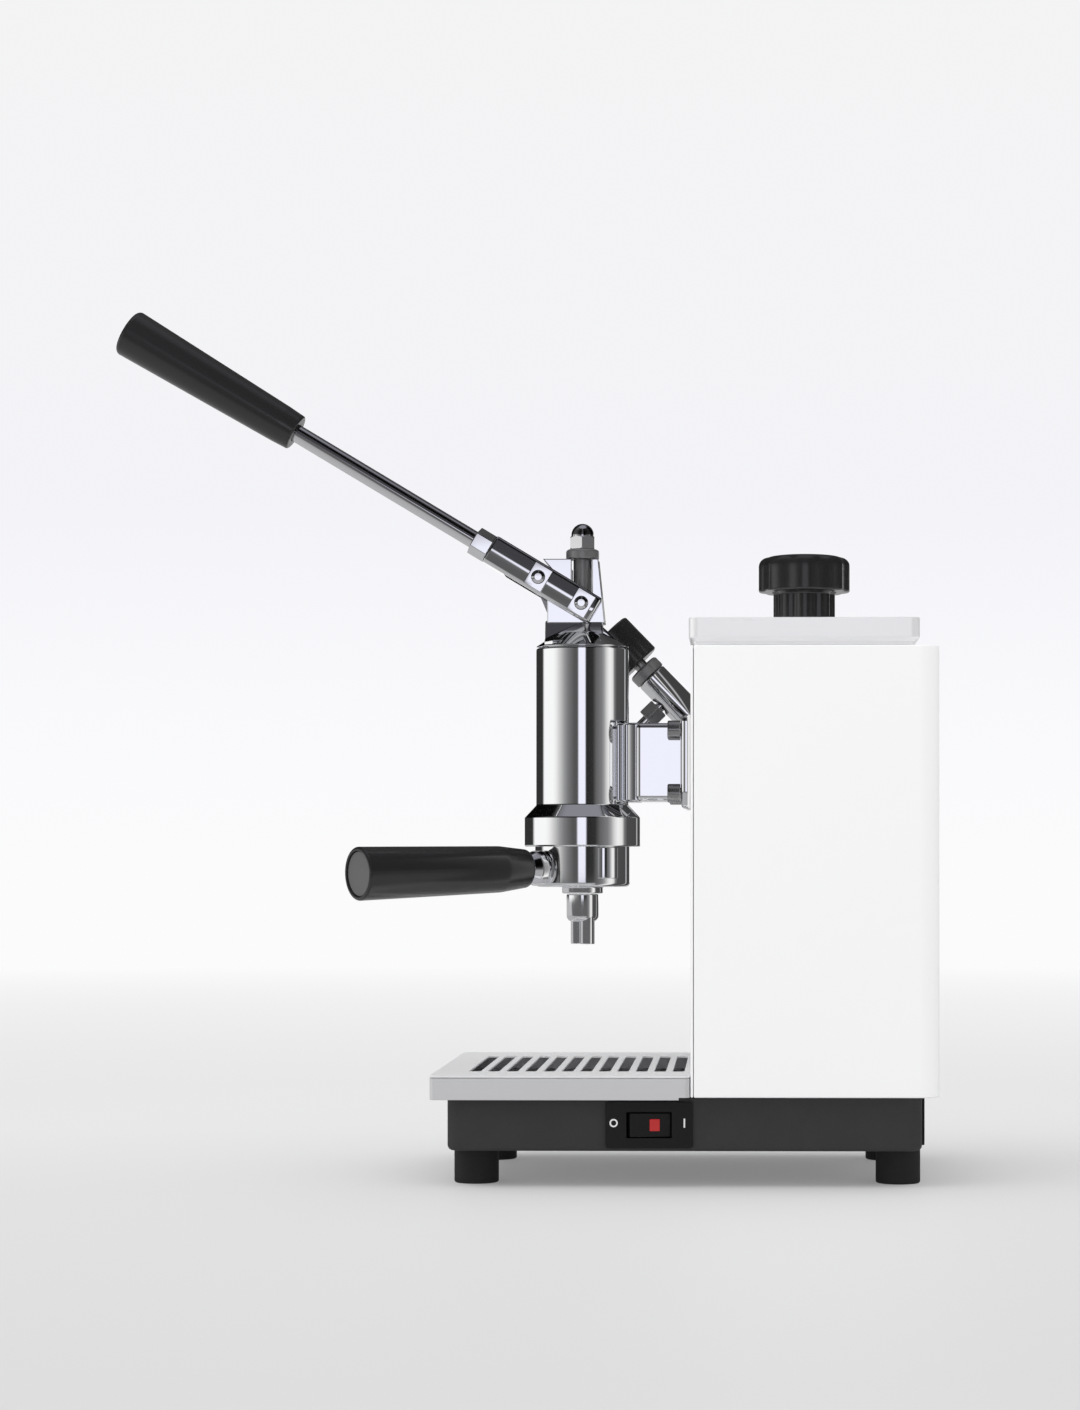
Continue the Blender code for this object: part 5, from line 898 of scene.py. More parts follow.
# Painted shade: a darker, duller copy of the chrome for chromed pieces that lie in shade
def shaded_chrome(colours):
    return surface("shaded_chrome", toned(colours.steel, SHADED_CHROME_SHARE), metallic=0.75, roughness=0.36,
                   spread=0.06, scale=160, bump=0.03, bump_depth=0.00003, shade=0.85, tone_scale=40)


def satin_steel(colours):
    return surface("satin_steel", toned(colours.steel, SATIN_SHARE), metallic=0.32, roughness=0.28,
                   spread=0.03, scale=120, stretch=BRUSHED_GRAIN, bump=0.01, bump_depth=0.00004, shade=0.97,
                   tone_scale=18)


def bare_brass(colours):
    return surface("bare_brass", colours.brass, metallic=1.0, roughness=0.28, spread=0.14, scale=140,
                   bump=0.08, bump_depth=0.00006, shade=0.80, tone_scale=25)


def black_phenolic(colours):
    return surface("black_phenolic", colours.phenolic, roughness=0.24, spread=0.05, scale=60, bump=0.01,
                   bump_depth=0.00002, shade=0.85, tone_scale=20, coat=0.35, coat_roughness=0.14)


def grey_disc(colours):
    return surface("grey_disc", colours.disc, roughness=0.45, spread=0.12, scale=200, bump=0.06,
                   bump_depth=0.00004, shade=0.9, tone_scale=40)


def switch_plastic(colours):
    return surface("switch_plastic", colours.switch, roughness=0.55, spread=0.10, scale=700,
                   bump=0.15, bump_depth=0.00004, shade=0.85, tone_scale=60)


def foot_rubber(colours):
    return surface("foot_rubber", colours.rubber, roughness=0.70, spread=0.12, scale=500, bump=0.3,
                   bump_depth=0.00006, shade=0.75, tone_scale=60)


def seal_rubber(colours):
    return surface("seal_rubber", colours.seal, roughness=0.62, spread=0.1, scale=400, bump=0.2,
                   bump_depth=0.00005, shade=0.8, tone_scale=60)


def lamp_lens(colours):
    return surface("lamp_lens", colours.lamp, roughness=0.22, spread=0.05, scale=300, bump=0.1,
                   bump_depth=0.00004, shade=0.8, tone_scale=200, coat=0.4, glow=0.35)


def white_mark(colours):
    return surface("white_mark", colours.mark, roughness=0.5, spread=0.1, scale=400, bump=0.0,
                   shade=0.9, tone_scale=200)


# Each finish with the slot of the record that it goes by; the dark finish is a darker copy of the chrome,
# painted shade
FINISHES = {
    "enamel": (enamel, "white_paint"), "anthracite": (anthracite, "dark_paint"),
    "chrome": (polished_chrome, "chrome"), "dark": (shaded_chrome, "chrome"),
    "brushed": (brushed_steel, "brushed_steel"), "steel": (turned_steel, "brushed_steel"),
    "satin": (satin_steel, "brushed_steel"), "brass": (bare_brass, "brass"),
    "phenolic": (black_phenolic, "black_plastic"), "disc": (grey_disc, "black_plastic"),
    "switch": (switch_plastic, "black_switch"), "rubber": (foot_rubber, "rubber"),
    "seal": (seal_rubber, "seal_rubber"), "lamp": (lamp_lens, "red_lamp"),
    "mark": (white_mark, "white_paint"),
}
made_finishes = {}


def finish(name):
    if name not in made_finishes:
        made_finishes[name] = FINISHES[name][0](bpy.context.scene.machine_colours)
    return made_finishes[name]


# Housing, trays and base

def housing(sizes):
    low, high, half, middle = around("housing_shell")
    wall, corner, flange = 0.0012, 0.011, 0.011
    height = high.z - low.z
    centre = at(*middle)
    sides = [(-half.x, -half.y), (half.x, -half.y), (half.x, half.y, corner), (-half.x, half.y, corner)]
    skin = slab("enamel_case", rounded(sides, FILLET * 2), height, centre)
    skin = softened(skin, sizes.sheet_edge, 3, 60)
    inside = rounded([
        (-half.x + wall, -half.y - OVERRUN), (half.x - wall, -half.y - OVERRUN),
        (half.x - wall, half.y - wall, corner - wall), (-half.x + wall, half.y - wall, corner - wall),
    ])
    opening = block(
        "case_opening", centre - Vector((half.x - flange, half.y + OVERRUN, height)),
        centre + Vector((half.x - flange, half.y - flange, height)),
    )
    skin = cut(skin, slab("case_inside", inside, height - wall - wall, centre), opening)
    dressed(skin, "chassis", "enamel", "housing_shell")
    front = softened(block("enamel_front", *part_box("front_panel")), sizes.sheet_edge)
    dressed(front, "chassis", "enamel", "front_panel")


def cup_tray(sizes):
    low, high, half, middle = around("cup_tray")
    wall, rim, step, floor_height, neck_radius = 0.0012, 0.0006, 0.0024, 0.0050, 0.0193
    foot, lap, hem = step * 1.6, wall * 6, rim * 0.9
    floor, under = low.z + floor_height, low.z + wall + rim
    tray = pan("bright_cup_tray", half, sizes.tray_corner, [
        (foot, low.z), (step, low.z, step / 3), (step, low.z + step, step / 2),
        (0, low.z + foot, step / 2), (0, high.z, hem), (wall, high.z, hem),
        (wall, floor, wall * 2), (lap, floor), (lap, under), (foot, under - rim),
    ], middle)
    tray = joined(tray, floor_sheet("tray_floor", half, middle, wall * 5, sizes.tray_corner, under, floor))
    hole = bar("neck_hole", (0, CAP_Y, low.z - OVERRUN), (0, CAP_Y, high.z), neck_radius, steps=ROUND)
    dressed(cut(tray, hole), "chassis", "satin", "cup_tray")


def drip_tray(sizes):
    low, high, half, middle = around("drip_tray")
    wall, corner, hem, fold, side_gap = 0.0012, 0.0030, 0.0005, 0.0004, 0.0010
    base_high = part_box("base_pan")[1]
    ledge = base_high.z + FIT
    side = half.x - base_high.x - side_gap
    tray = pan("bright_drip_tray", half, corner, [
        (side, ledge), (side, low.z), (0, low.z, fold), (0, high.z, hem), (wall, high.z, hem),
        (wall, ledge + wall, wall), (wall * 4, ledge + wall), (wall * 4, ledge),
    ], middle)
    sheet = floor_sheet("drip_floor", half, middle, wall * 3, corner, ledge + THIN, ledge + wall - THIN)
    back = block("drip_back", at(-half.x - OVERRUN, high.y - wall * 5, low.z - OVERRUN),
                 at(half.x + OVERRUN, high.y + OVERRUN, ledge))
    dressed(cut(joined(tray, sheet), back), "drip_tray", "brushed", "drip_tray")

    low, high, half, middle = around("drip_grille")
    first_slot, slot_edge = 0.0210, 0.0002
    seed = linked("slotted_grille", bpy.data.meshes.new("slotted_grille"))
    plate = grown(
        seed, slotted_plate(), "satin", Width=half.x * 2, Depth=half.y * 2, Corner=corner,
        Thickness=half.z * 2, Slots=sizes.grille_slots, Pitch=sizes.grille_pitch,
        Slot_Width=sizes.slot_width, Slot_Length=sizes.slot_length,
        First_Slot=Vector((0, first_slot - half.y, 0)), Middle=at(middle.x, middle.y, high.z),
    )
    dressed(softened(plate, slot_edge, 2), "drip_grille", "satin", "drip_grille")


def base(sizes):
    low, high, half, middle = around("base_pan")
    wall, corner, edge, lip = 0.0025, 0.008, 0.0028, 0.0005
    rocker_room, hole_depth, inlet_flange = 0.002, 0.012, 0.0024
    rim = pan("painted_base", half, corner, [
        (wall * 3, low.z), (0, low.z, edge), (0, high.z, lip), (wall, high.z, lip),
        (wall, low.z + wall, wall / 2), (wall * 3, low.z + wall),
    ], middle)
    sheet = floor_sheet("base_floor", half, middle, wall * 2, corner, low.z + THIN, low.z + wall - THIN)
    rocker_low, rocker_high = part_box("switch_rocker")
    opening = block(
        "switch_hole", (half.x - hole_depth, rocker_low.y - rocker_room, rocker_low.z - rocker_room),
        (half.x + hole_depth, rocker_high.y + rocker_room, rocker_high.z + rocker_room),
    )
    inlet_low, inlet_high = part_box("mains_inlet")
    inset = Vector((inlet_flange, 0, inlet_flange))
    back = block("inlet_hole", inlet_low + inset, inlet_high + Vector((0, wall, 0)) - inset)
    dressed(cut(joined(rim, sheet), opening, back), "chassis", "anthracite", "base_pan")


def feet(sizes):
    nodes = [f"foot_{number}" for number in range(1, 5)]
    lows, highs = zip(*[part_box(node) for node in nodes])
    low = Vector([min(corner[i] for corner in lows) for i in range(3)])
    high = Vector([max(corner[i] for corner in highs) for i in range(3)])
    radius, stud_radius, rubber, edge, heel = 0.0120, 0.0035, 0.0190, 0.0006, 0.0012
    stud = highs[0].z
    foot = turned("rubber_feet", [
        (0, stud), (stud_radius, stud), (stud_radius, rubber), (radius, rubber, edge), (radius, 0, heel),
        (radius / 3, 0), (0, edge),
    ], (0, 0, 0), steps=ROUND_SMALL)
    made = grown(
        foot, corner_copies(), "rubber", Spread_X=high.x - low.x - radius - radius,
        Spread_Y=high.y - low.y - radius - radius, Middle=((low.x + high.x) / 2, (low.y + high.y) / 2, 0),
    )
    dressed(made, "chassis", "rubber", *nodes)


def switch(sizes):
    low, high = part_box("switch_bezel")
    half, middle = (high - low) / 2, (low + high) / 2
    face, across = high.x, Vector((0, middle.y, middle.z))
    plate_depth, plate_corner, wall, sink, edge = 0.0014, 0.0015, 0.0014, 0.0007, 0.0004
    gap_y, gap_z, half_z = 0.0006, 0.0007, 0.0062
    rocker_low, rocker_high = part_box("switch_rocker")
    hole = (rocker_high - rocker_low) / 2
    hole = Vector((0, hole.y + gap_y, min(hole.z, half_z) + gap_z))
    start = face - plate_depth
    plate = slab("switch_plate", rectangle(half.y, half.z, plate_corner), plate_depth,
                 across + Vector((face - plate_depth / 2, 0, 0)), SIDEWAYS)
    thick = Vector((0, wall, wall))
    case = block("switch_case", across + Vector((low.x, 0, 0)) - hole - thick,
                 across + Vector((start + sink, 0, 0)) + hole + thick)
    space = block("rocker_space", across + Vector((low.x + wall, 0, 0)) - hole,
                  across + Vector((face + OVERRUN, 0, 0)) + hole)
    plate = cut(joined(softened(plate, edge, 2), case), space)
    dressed(plate, "chassis", "switch", "switch_bezel")

    tilt, axle_depth = math.radians(7.0), 0.0068
    reach, back, front, taper, round_back, round_front = 0.0115, 0.0024, 0.0068, 0.0007, 0.0003, 0.0009
    axle = Matrix.Translation((face - axle_depth, middle.y, middle.z))
    stand = axle @ SWAP @ Matrix.Rotation(-tilt, 4, "Z")
    outline = rounded([
        (-reach, back, round_back), (reach, back, round_back), (reach - taper, front, round_front),
        (taper - reach, front, round_front),
    ])
    rocker = softened(prism("rocker_cap", outline, -half_z, half_z, stand), edge, 3, 50)
    dressed(rocker, "switch_rocker", "switch", "switch_rocker")
    left, right, back, front, half_z, lens_edge = -0.0005, 0.0049, 0.0052, 0.00715, 0.0032, 0.0003
    outline = rounded([(left, back), (right, back), (right, front, edge), (left, front, edge)])
    lens = softened(prism("red_lens", outline, -half_z, half_z, stand), lens_edge, 2, 50)
    dressed(lens, "switch_rocker", "lamp", "switch_lamp")

    outer, inner, proud, depth = 0.0022, 0.0014, 0.00006, 0.0002
    reach, rise, stroke = 0.0187, 0.0011, Vector((0, 0.00042, 0.0024))
    off_place = Vector((face, middle.y - reach, middle.z + rise))
    ring = turned("off_mark", [(outer, proud), (outer, -depth), (inner, -depth), (inner, proud)],
                  off_place, OUT_OF_SIDE, closed=True, steps=ROUND_SMALL)
    dressed(ring, "chassis", "mark")
    on_place = off_place + Vector((0, reach + reach, 0))
    mark = block("on_mark", on_place - stroke - OUT_OF_SIDE * depth, on_place + stroke + OUT_OF_SIDE * proud)
    dressed(mark, "chassis", "mark")


# Brewing group

def ear_line(side):
    turn = HANDLE_TURN + side * math.pi / 2
    return Vector((math.sin(turn), -math.cos(turn), 0))


def ear_place(side):
    line = ear_line(side)
    return AXIS_PLACE @ Matrix.Rotation(math.atan2(line.y, line.x) - math.pi / 2, 4, "Z")


def group(sizes):
    low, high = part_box("group_casting")
    bottom, top = low.z, high.z
    lip = bottom + BELL_LIP
    waist, bell_edge = 0.0010, 0.0009
    barrel = turned("chromed_group", [
        (CYLINDER_RADIUS, top, CAST_EDGE), (CYLINDER_RADIUS, BELL_TOP, waist),
        (BELL_RADIUS, BELL_SHOULDER, CAST_EDGE), (BELL_RADIUS, bottom, bell_edge),
        (BELL_LIP_RADIUS, bottom, TURNED_EDGE), (BELL_LIP_RADIUS, lip, TURNED_EDGE),
        (BELL_INNER_RADIUS, lip), (BELL_INNER_RADIUS, SCREEN_SEAT), (GASKET_RADIUS, SCREEN_SEAT),
        (GASKET_RADIUS, GASKET_TOP), (BORE_RADIUS, GASKET_TOP), (BORE_RADIUS, top, TURNED_EDGE),
    ], at(0, 0, 0), closed=True, steps=ROUND + ROUND // 3)

    flange_start, pad_proud, pad_bore = 0.002, 0.0004, 0.0244
    neck = block("neck", at(-NECK_HALF_WIDTH, NECK_START, NECK_BOTTOM),
                 at(NECK_HALF_WIDTH, FLANGE_FACE + flange_start, NECK_TOP))
    half, back = PAD_HALF_WIDTH, NECK_START + NECK_EDGE
    sides = [(-half, PAD_START, PAD_EDGE), (half, PAD_START, PAD_EDGE), (half, back), (-half, back)]
    pad = prism("neck_pad", rounded(sides, FILLET * 2), NECK_BOTTOM - pad_proud, NECK_TOP + pad_proud,
                AXIS_PLACE)
    pad = softened(pad, CAST_EDGE, 4, 60)
    pad = cut(pad, bar("pad_bore", at(0, 0, bottom), at(0, 0, top), pad_bore, steps=ROUND))

    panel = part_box("front_panel")[0].y - GROUP_Y
    thickness, width, corner, flange_edge = panel - FIT - FLANGE_FACE, FLANGE_HALF_WIDTH, 0.004, 0.0022
    outline = rounded([(x, z, corner) for x, z in (
        (corner - width, FLANGE_BOTTOM), (width - corner, FLANGE_BOTTOM), (width, BOLT_LOW),
        (width, FLANGE_TOP), (-width, FLANGE_TOP), (-width, BOLT_LOW),
    )])
    flange = slab("flange", outline, thickness, at(0, FLANGE_FACE + thickness / 2, 0), FACING_FRONT)

    water_radius, relief_depth, relief_reach = 0.006, 0.015, 0.02475
    water = (NECK_TOP + NECK_BOTTOM) / 2
    cutters = [bar("water_way", at(0, 0, water), at(0, panel + OVERRUN, water), water_radius)]
    for side in (1, -1):
        cutters.append(block(
            "bell_notch", (-BELL_NOTCH / 2, BELL_LIP_RADIUS - BELL_LIP, bottom - OVERRUN),
            (BELL_NOTCH / 2, BELL_INNER_RADIUS - FIT, NOTCH_TOP), ear_place(side),
        ))
    cutters.append(block("link_relief", at(-LINK_HALF_WIDTH, -relief_reach, top - relief_depth),
                         at(LINK_HALF_WIDTH, 0, top + OVERRUN)))
    casting = joined(barrel, softened(neck, NECK_EDGE, FILLET), pad, softened(flange, flange_edge, 4))
    dressed(cut(casting, *cutters), "chassis", "chrome", "group_casting")

    face, shank, shank_length = FIT + FIT, 0.003, 0.006
    top, socket, socket_depth, edge = face + BOLT_HEAD, 0.0026, 0.0035, 0.0003
    bolt = turned("socket_screws", [
        (0, top - socket_depth), (socket, top - socket_depth), (socket, top, edge),
        (BOLT_HEAD_RADIUS, top, edge * 3), (BOLT_HEAD_RADIUS, face, edge), (shank, face),
        (shank, -shank_length), (0, -shank_length),
    ], (0, 0, 0), Vector((0, -1, 0)), steps=ROUND_SMALL)
    made = grown(
        bolt, corner_copies(), "steel", Spread_X=BOLT_X * 2, Spread_Y=BOLT_HIGH - BOLT_LOW,
        Middle=at(0, FLANGE_FACE, (BOLT_HIGH + BOLT_LOW) / 2), Tilt=(math.pi / 2, 0, 0),
    )
    dressed(made, "chassis", "steel", *[f"flange_bolt_{number}" for number in range(1, 5)])


# Lever bracket and hanger

def lever_fulcrum():
    low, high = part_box("fulcrum_pin")
    return (low + high) / 2


def bracket(sizes):
    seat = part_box("group_casting")[1].z + FIT
    rim, spigot, spigot_wall, spigot_length = 0.0006, BORE_RADIUS - FIT, 0.0025, 0.004
    fulcrum_z = lever_fulcrum().z
    shoulder_round, rim_edge, seat_edge = 0.0035, 0.0005, 0.0002
    cap = turned("polished_bracket", [
        (0, CAP_SHOULDER_TOP), (CAP_TOP_RADIUS, CAP_SHOULDER_TOP, shoulder_round),
        (CYLINDER_RADIUS, seat + rim, rim_edge), (CYLINDER_RADIUS, seat, seat_edge), (spigot, seat),
        (spigot, seat - spigot_length), (spigot - spigot_wall, seat - spigot_length),
        (spigot - spigot_wall, seat), (0, seat),
    ], at(0, 0, 0))
    cap = joined(cap, pedestal(seat + rim), cheek(1, fulcrum_z), cheek(-1, fulcrum_z))
    bridge, bridge_front, bridge_back = 0.0055, 0.0110, 0.001
    window, slot_depth, slot_back = 0.0090, 0.008, 0.0072
    inner = CHEEK_OUTER - CHEEK_WALL / 2
    cap = joined(cap, block("bridge", at(-inner, -bridge_front, BRACKET_TOP - bridge),
                            at(inner, BRACKET_TOP_BACK - bridge_back, BRACKET_TOP - FIT)))
    cutters = [
        bar("hanger_hole", at(0, 0, fulcrum_z), at(0, 0, BRACKET_TOP + OVERRUN), HANGER_RADIUS + FIT),
        block("link_slot", at(-LINK_HALF_WIDTH, -CYLINDER_RADIUS - OVERRUN, seat - slot_depth),
              at(LINK_HALF_WIDTH, slot_back, PEDESTAL_TOP + OVERRUN)),
        block("hanger_window", at(-CHEEK_OUTER, -HANGER_SLOT, BRACKET_TOP - window),
              at(CHEEK_OUTER, HANGER_SLOT, BRACKET_TOP + OVERRUN)),
    ]
    dressed(cut(cap, *cutters), "chassis", "chrome", "lever_bracket")


def pedestal(low):
    """The block under the cheeks, whose sides flare out in a hollow curve to the cap."""
    edge, back_drop = 0.0012, 0.0010
    wide = CHEEK_OUTER + PEDESTAL_FLARE
    side = [(wide, low)] + [
        (wide - PEDESTAL_FLARE * math.sin(turn), PEDESTAL_TOP - PEDESTAL_FLARE * math.cos(turn))
        for turn in spaced(0, math.pi / 2)
    ]
    outline = side + [(-x, z) for x, z in reversed(side)]
    middle = (PEDESTAL_BACK - PEDESTAL_FRONT) / 2
    made = slab("pedestal", outline, PEDESTAL_BACK + PEDESTAL_FRONT, at(0, middle, 0), FACING_FRONT)
    back = PEDESTAL_BACK - OVERRUN
    slope = [
        (PEDESTAL_SLOPE, low), (back, PEDESTAL_TOP - back_drop), (back - OVERRUN, PEDESTAL_TOP - back_drop),
        (0, low),
    ]
    slope = softened(slab("pedestal_back", slope, CHEEK_OUTER * 2 - FIT, at(0, 0, 0), SIDEWAYS), edge, 4)
    limit = bar("pedestal_round", at(0, 0, low - OVERRUN), at(0, 0, PEDESTAL_TOP + OVERRUN), PEDESTAL_ROUND,
                steps=ROUND)
    made = combined(joined(softened(made, edge, 4), slope), "INTERSECT", [limit])
    return cut(made, arm_sweep(1), arm_sweep(-1))


def arm_sweep(side):
    """The room that an arm of the fork takes when the lever is pulled right down."""
    angle = LEVER_ANGLE - LEVER_DOWN
    along, across = Vector((-math.cos(angle), math.sin(angle))), Vector((-math.sin(angle), -math.cos(angle)))
    start = Vector((0, lever_fulcrum().z)) + across * (FORK_HEIGHT / 2 + ARM_CLEARANCE)
    far, near = start + along * PIN_SPACING * 1.2, start - along * PIN_SPACING / 2
    inner, outer = (CHEEK_OUTER + FORK_INNER) / 2, CHEEK_OUTER + PEDESTAL_FLARE + OVERRUN
    top = PEDESTAL_TOP + FORK_HEIGHT
    rings = []
    for x, drop, lean in ((inner, 0, ARM_LEAN), (outer, ARM_DROP, 0)):
        corners = [(far.x, far.y), (near.x, near.y), (near.x, top), (far.x, top)]
        rings.append([
            at(side * (x - (z - far.y) * lean), y, z - (drop if z < top else 0)) for y, z in corners
        ])
    return lofted("arm_sweep", rings[::side])


def cheek(side, fulcrum_z):
    """One side of the bracket, hollowed in front where the drive pin passes on its arc."""
    sweep = PIN_SPACING - PIN_RADIUS - DRIVE_CLEARANCE
    high = LEVER_ANGLE + LEVER_UP + math.asin((PIN_RADIUS + DRIVE_CLEARANCE) / PIN_SPACING)
    low = math.acos(min(BRACKET_FRONT / sweep, 1))
    root = PEDESTAL_TOP - CHEEK_EDGE
    outline = [(-(BRACKET_TOP - fulcrum_z) / math.tan(high), BRACKET_TOP)]
    outline += [(-sweep * math.cos(a), fulcrum_z + sweep * math.sin(a)) for a in spaced(high, low)]
    outline += [(-BRACKET_FRONT, root), (BRACKET_BACK, root), (BRACKET_TOP_BACK, BRACKET_TOP)]
    centre = at(side * (CHEEK_OUTER - CHEEK_WALL / 2), 0, 0)
    wall = slab("cheek", outline, CHEEK_WALL, centre, SIDEWAYS)
    slot, corner, open_top = HANGER_SLOT, HANGER_SLOT * 0.98, BRACKET_TOP + OVERRUN
    opening = rounded([
        (-slot, fulcrum_z - slot, corner), (slot, fulcrum_z - slot, corner), (slot, open_top),
        (-slot, open_top),
    ])
    wall = cut(wall, slab("hanger_slot", opening, CHEEK_WALL + OVERRUN, centre, SIDEWAYS))
    return softened(wall, CHEEK_EDGE, 5, 40)


def hanger(sizes):
    fulcrum = lever_fulcrum()
    top, thread, eye_half, eye_edge = 0.3561, 0.0035, 0.0047, 0.0005
    root = fulcrum.z + HANGER_EYE / 2
    stem = turned("dark_hanger", [
        (0, top), (thread, top), (thread, BRACKET_TOP), (HANGER_RADIUS, BRACKET_TOP), (HANGER_RADIUS, root),
        (0, root),
    ], at(0, 0, 0), steps=ROUND_SMALL)
    thick = OUT_OF_SIDE * eye_half
    eye = bar("eye", fulcrum - thick, fulcrum + thick, HANGER_EYE, eye_edge)
    hole = bar("eye_hole", fulcrum - thick * 2, fulcrum + thick * 2, PIN_RADIUS + FIT)
    # The dark finish is painted shade on a chromed piece
    dressed(cut(joined(stem, eye), hole), "chassis", "dark", "hanger")

    low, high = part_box("lock_nut")
    radius, bore, top_edge, low_edge, bore_edge = 0.00925, 0.0038, 0.0016, 0.0008, 0.0002
    lock = turned("lock_ring", [
        (radius, high.z, top_edge), (radius, low.z, low_edge), (bore, low.z, bore_edge),
        (bore, high.z, bore_edge),
    ], at(0, 0, 0), closed=True)
    # The dark finish is painted shade on a chromed piece
    dressed(lock, "chassis", "dark", "lock_nut")

    low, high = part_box("acorn_nut")
    dome, across, hex_height = 0.0063, 0.0078, 0.0070
    crown, low_radius, wide, high_radius, low_rise, high_drop = 0.0002, 0.0073, 0.0080, 0.0067, 0.0007, 0.0012
    hex_top = low.z + hex_height
    arch = [(dome * math.sin(a), high.z - dome + dome * math.cos(a)) for a in spaced(0, math.pi / 2)]
    arch += [(dome, hex_top - FIT), (0, hex_top - FIT)]
    nut = turned("dome_nut", arch, at(0, 0, 0), steps=ROUND_SMALL)
    sides = slab("nut_sides", hexagon(across), hex_height, at(0, 0, low.z + hex_height / 2))
    chamfer = turned("nut_chamfer", [
        (0, low.z), (low_radius, low.z), (wide, low.z + low_rise), (wide, hex_top - high_drop, crown),
        (high_radius, hex_top), (0, hex_top),
    ], at(0, 0, 0))
    sides = combined(sides, "INTERSECT", [chamfer])
    inside = bar("nut_thread", at(0, 0, low.z - OVERRUN), at(0, 0, high.z - dome + FIT), bore)
    dressed(cut(joined(nut, sides), inside), "chassis", "chrome", "acorn_nut")
    dressed(fork_pin("rear_pin", fulcrum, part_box("fulcrum_pin")[1].x), "chassis", "chrome", "fulcrum_pin")


# Lever

def fork_pin(name, middle, reach):
    """A pin across the fork, with a flat polished end inside a rounded bevel."""
    bevel = PIN_BEVEL
    return turned(name, [
        (0, -reach), (PIN_FLAT, -reach, bevel), (PIN_RADIUS, bevel - reach, bevel / 2),
        (PIN_RADIUS, reach - bevel, bevel / 2), (PIN_FLAT, reach, bevel), (0, reach),
    ], middle, OUT_OF_SIDE, steps=ROUND_SMALL)


def lever(sizes):
    fulcrum = lever_fulcrum()
    line = LEVER_LINE
    turn = Matrix(((1, 0, 0, 0), (0, line.z, line.y, 0), (0, -line.y, line.z, 0), (0, 0, 0, 1)))
    place = Matrix.Translation(fulcrum) @ turn
    half, wide = FORK_HEIGHT / 2, FORK_OUTER - FORK_LEAN
    section = rounded([
        (-wide, -half, FORK_CORNER), (wide, -half, FORK_CORNER), (FORK_OUTER, 0, FORK_CROWN),
        (wide, half, FORK_CORNER), (-wide, half, FORK_CORNER), (-FORK_OUTER, 0, FORK_CROWN),
    ])
    rings = []
    for end, on in ((-FORK_TAIL, 1), (FERRULE_START - FIT, -1)):
        for turn in spaced(0, math.pi / 2, FILLET)[::on]:
            inset = FORK_END_EDGE * (1 - math.sin(turn))
            along = end + on * FORK_END_EDGE * (1 - math.cos(turn))
            rings.append([
                place @ Vector((x - math.copysign(inset, x), y * (1 - inset / half), along))
                for x, y in section
            ])
    fork = lofted("polished_fork", rings)
    flats = []
    high, long, wide = FLAT_HEIGHT / 2, FLAT_LENGTH / 2, FORK_OUTER + FLAT_PROUD
    for middle in (0, PIN_SPACING):
        flat = block("flats", (-wide, -high, middle - long), (wide, high, middle + long), place)
        flats.append(softened(flat, FLAT_EDGE, 2))
    cutters = [block("fork_slot", (-FORK_INNER, -half - OVERRUN, -FORK_TAIL - OVERRUN),
                     (FORK_INNER, half + OVERRUN, FORK_SLOT_END), place)]
    drive = fulcrum + line * PIN_SPACING
    reach = OUT_OF_SIDE * (FORK_OUTER + OVERRUN)
    for point in (fulcrum, drive):
        cutters.append(bar("pin_hole", point - reach, point + reach, PIN_RADIUS + FIT))

    def along_lever(name, start, end, radius):
        return bar(name, fulcrum + line * start, fulcrum + line * end, radius)

    bore, socket_depth, rod_in_grip, grip_socket = ROD_RADIUS + FIT, 0.010, 0.0197, 0.020
    cutters.append(along_lever("rod_socket", FERRULE_START - socket_depth, FERRULE_START + OVERRUN, bore))
    dressed(cut(joined(fork, *flats), *cutters), "lever", "chrome", "lever_fork")

    sides, ferrule_edge = hexagon(FERRULE_RADIUS, math.pi / 6), 0.0005
    ferrule = softened(prism("bright_ferrule", sides, FERRULE_START, FERRULE_END, place), ferrule_edge)
    hole = along_lever("ferrule_bore", FERRULE_START - OVERRUN, FERRULE_END + OVERRUN, bore)
    dressed(cut(ferrule, hole), "lever", "chrome", "lever_ferrule")
    rod = along_lever("bright_rod", FERRULE_START - socket_depth + FIT, HANDLE_START + rod_in_grip,
                      ROD_RADIUS)
    dressed(rod, "lever", "chrome", "lever_rod")
    tip_edge, start_edge, waist, flare = 0.0025, 0.0012, 0.010, 0.0006
    grip = turned("lever_grip", [
        (0, LEVER_LENGTH), (HANDLE_TIP_RADIUS, LEVER_LENGTH, tip_edge),
        (HANDLE_START_RADIUS + flare, HANDLE_START + waist, waist),
        (HANDLE_START_RADIUS, HANDLE_START, start_edge), (bore, HANDLE_START, FIT),
        (bore, HANDLE_START + grip_socket), (0, HANDLE_START + grip_socket),
    ], fulcrum, line, pieces=FILLET + 2)
    dressed(grip, "lever", "phenolic", "lever_handle")
    dressed(fork_pin("front_pin", drive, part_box("drive_pin")[1].x), "lever", "chrome", "drive_pin")


# Portafilter

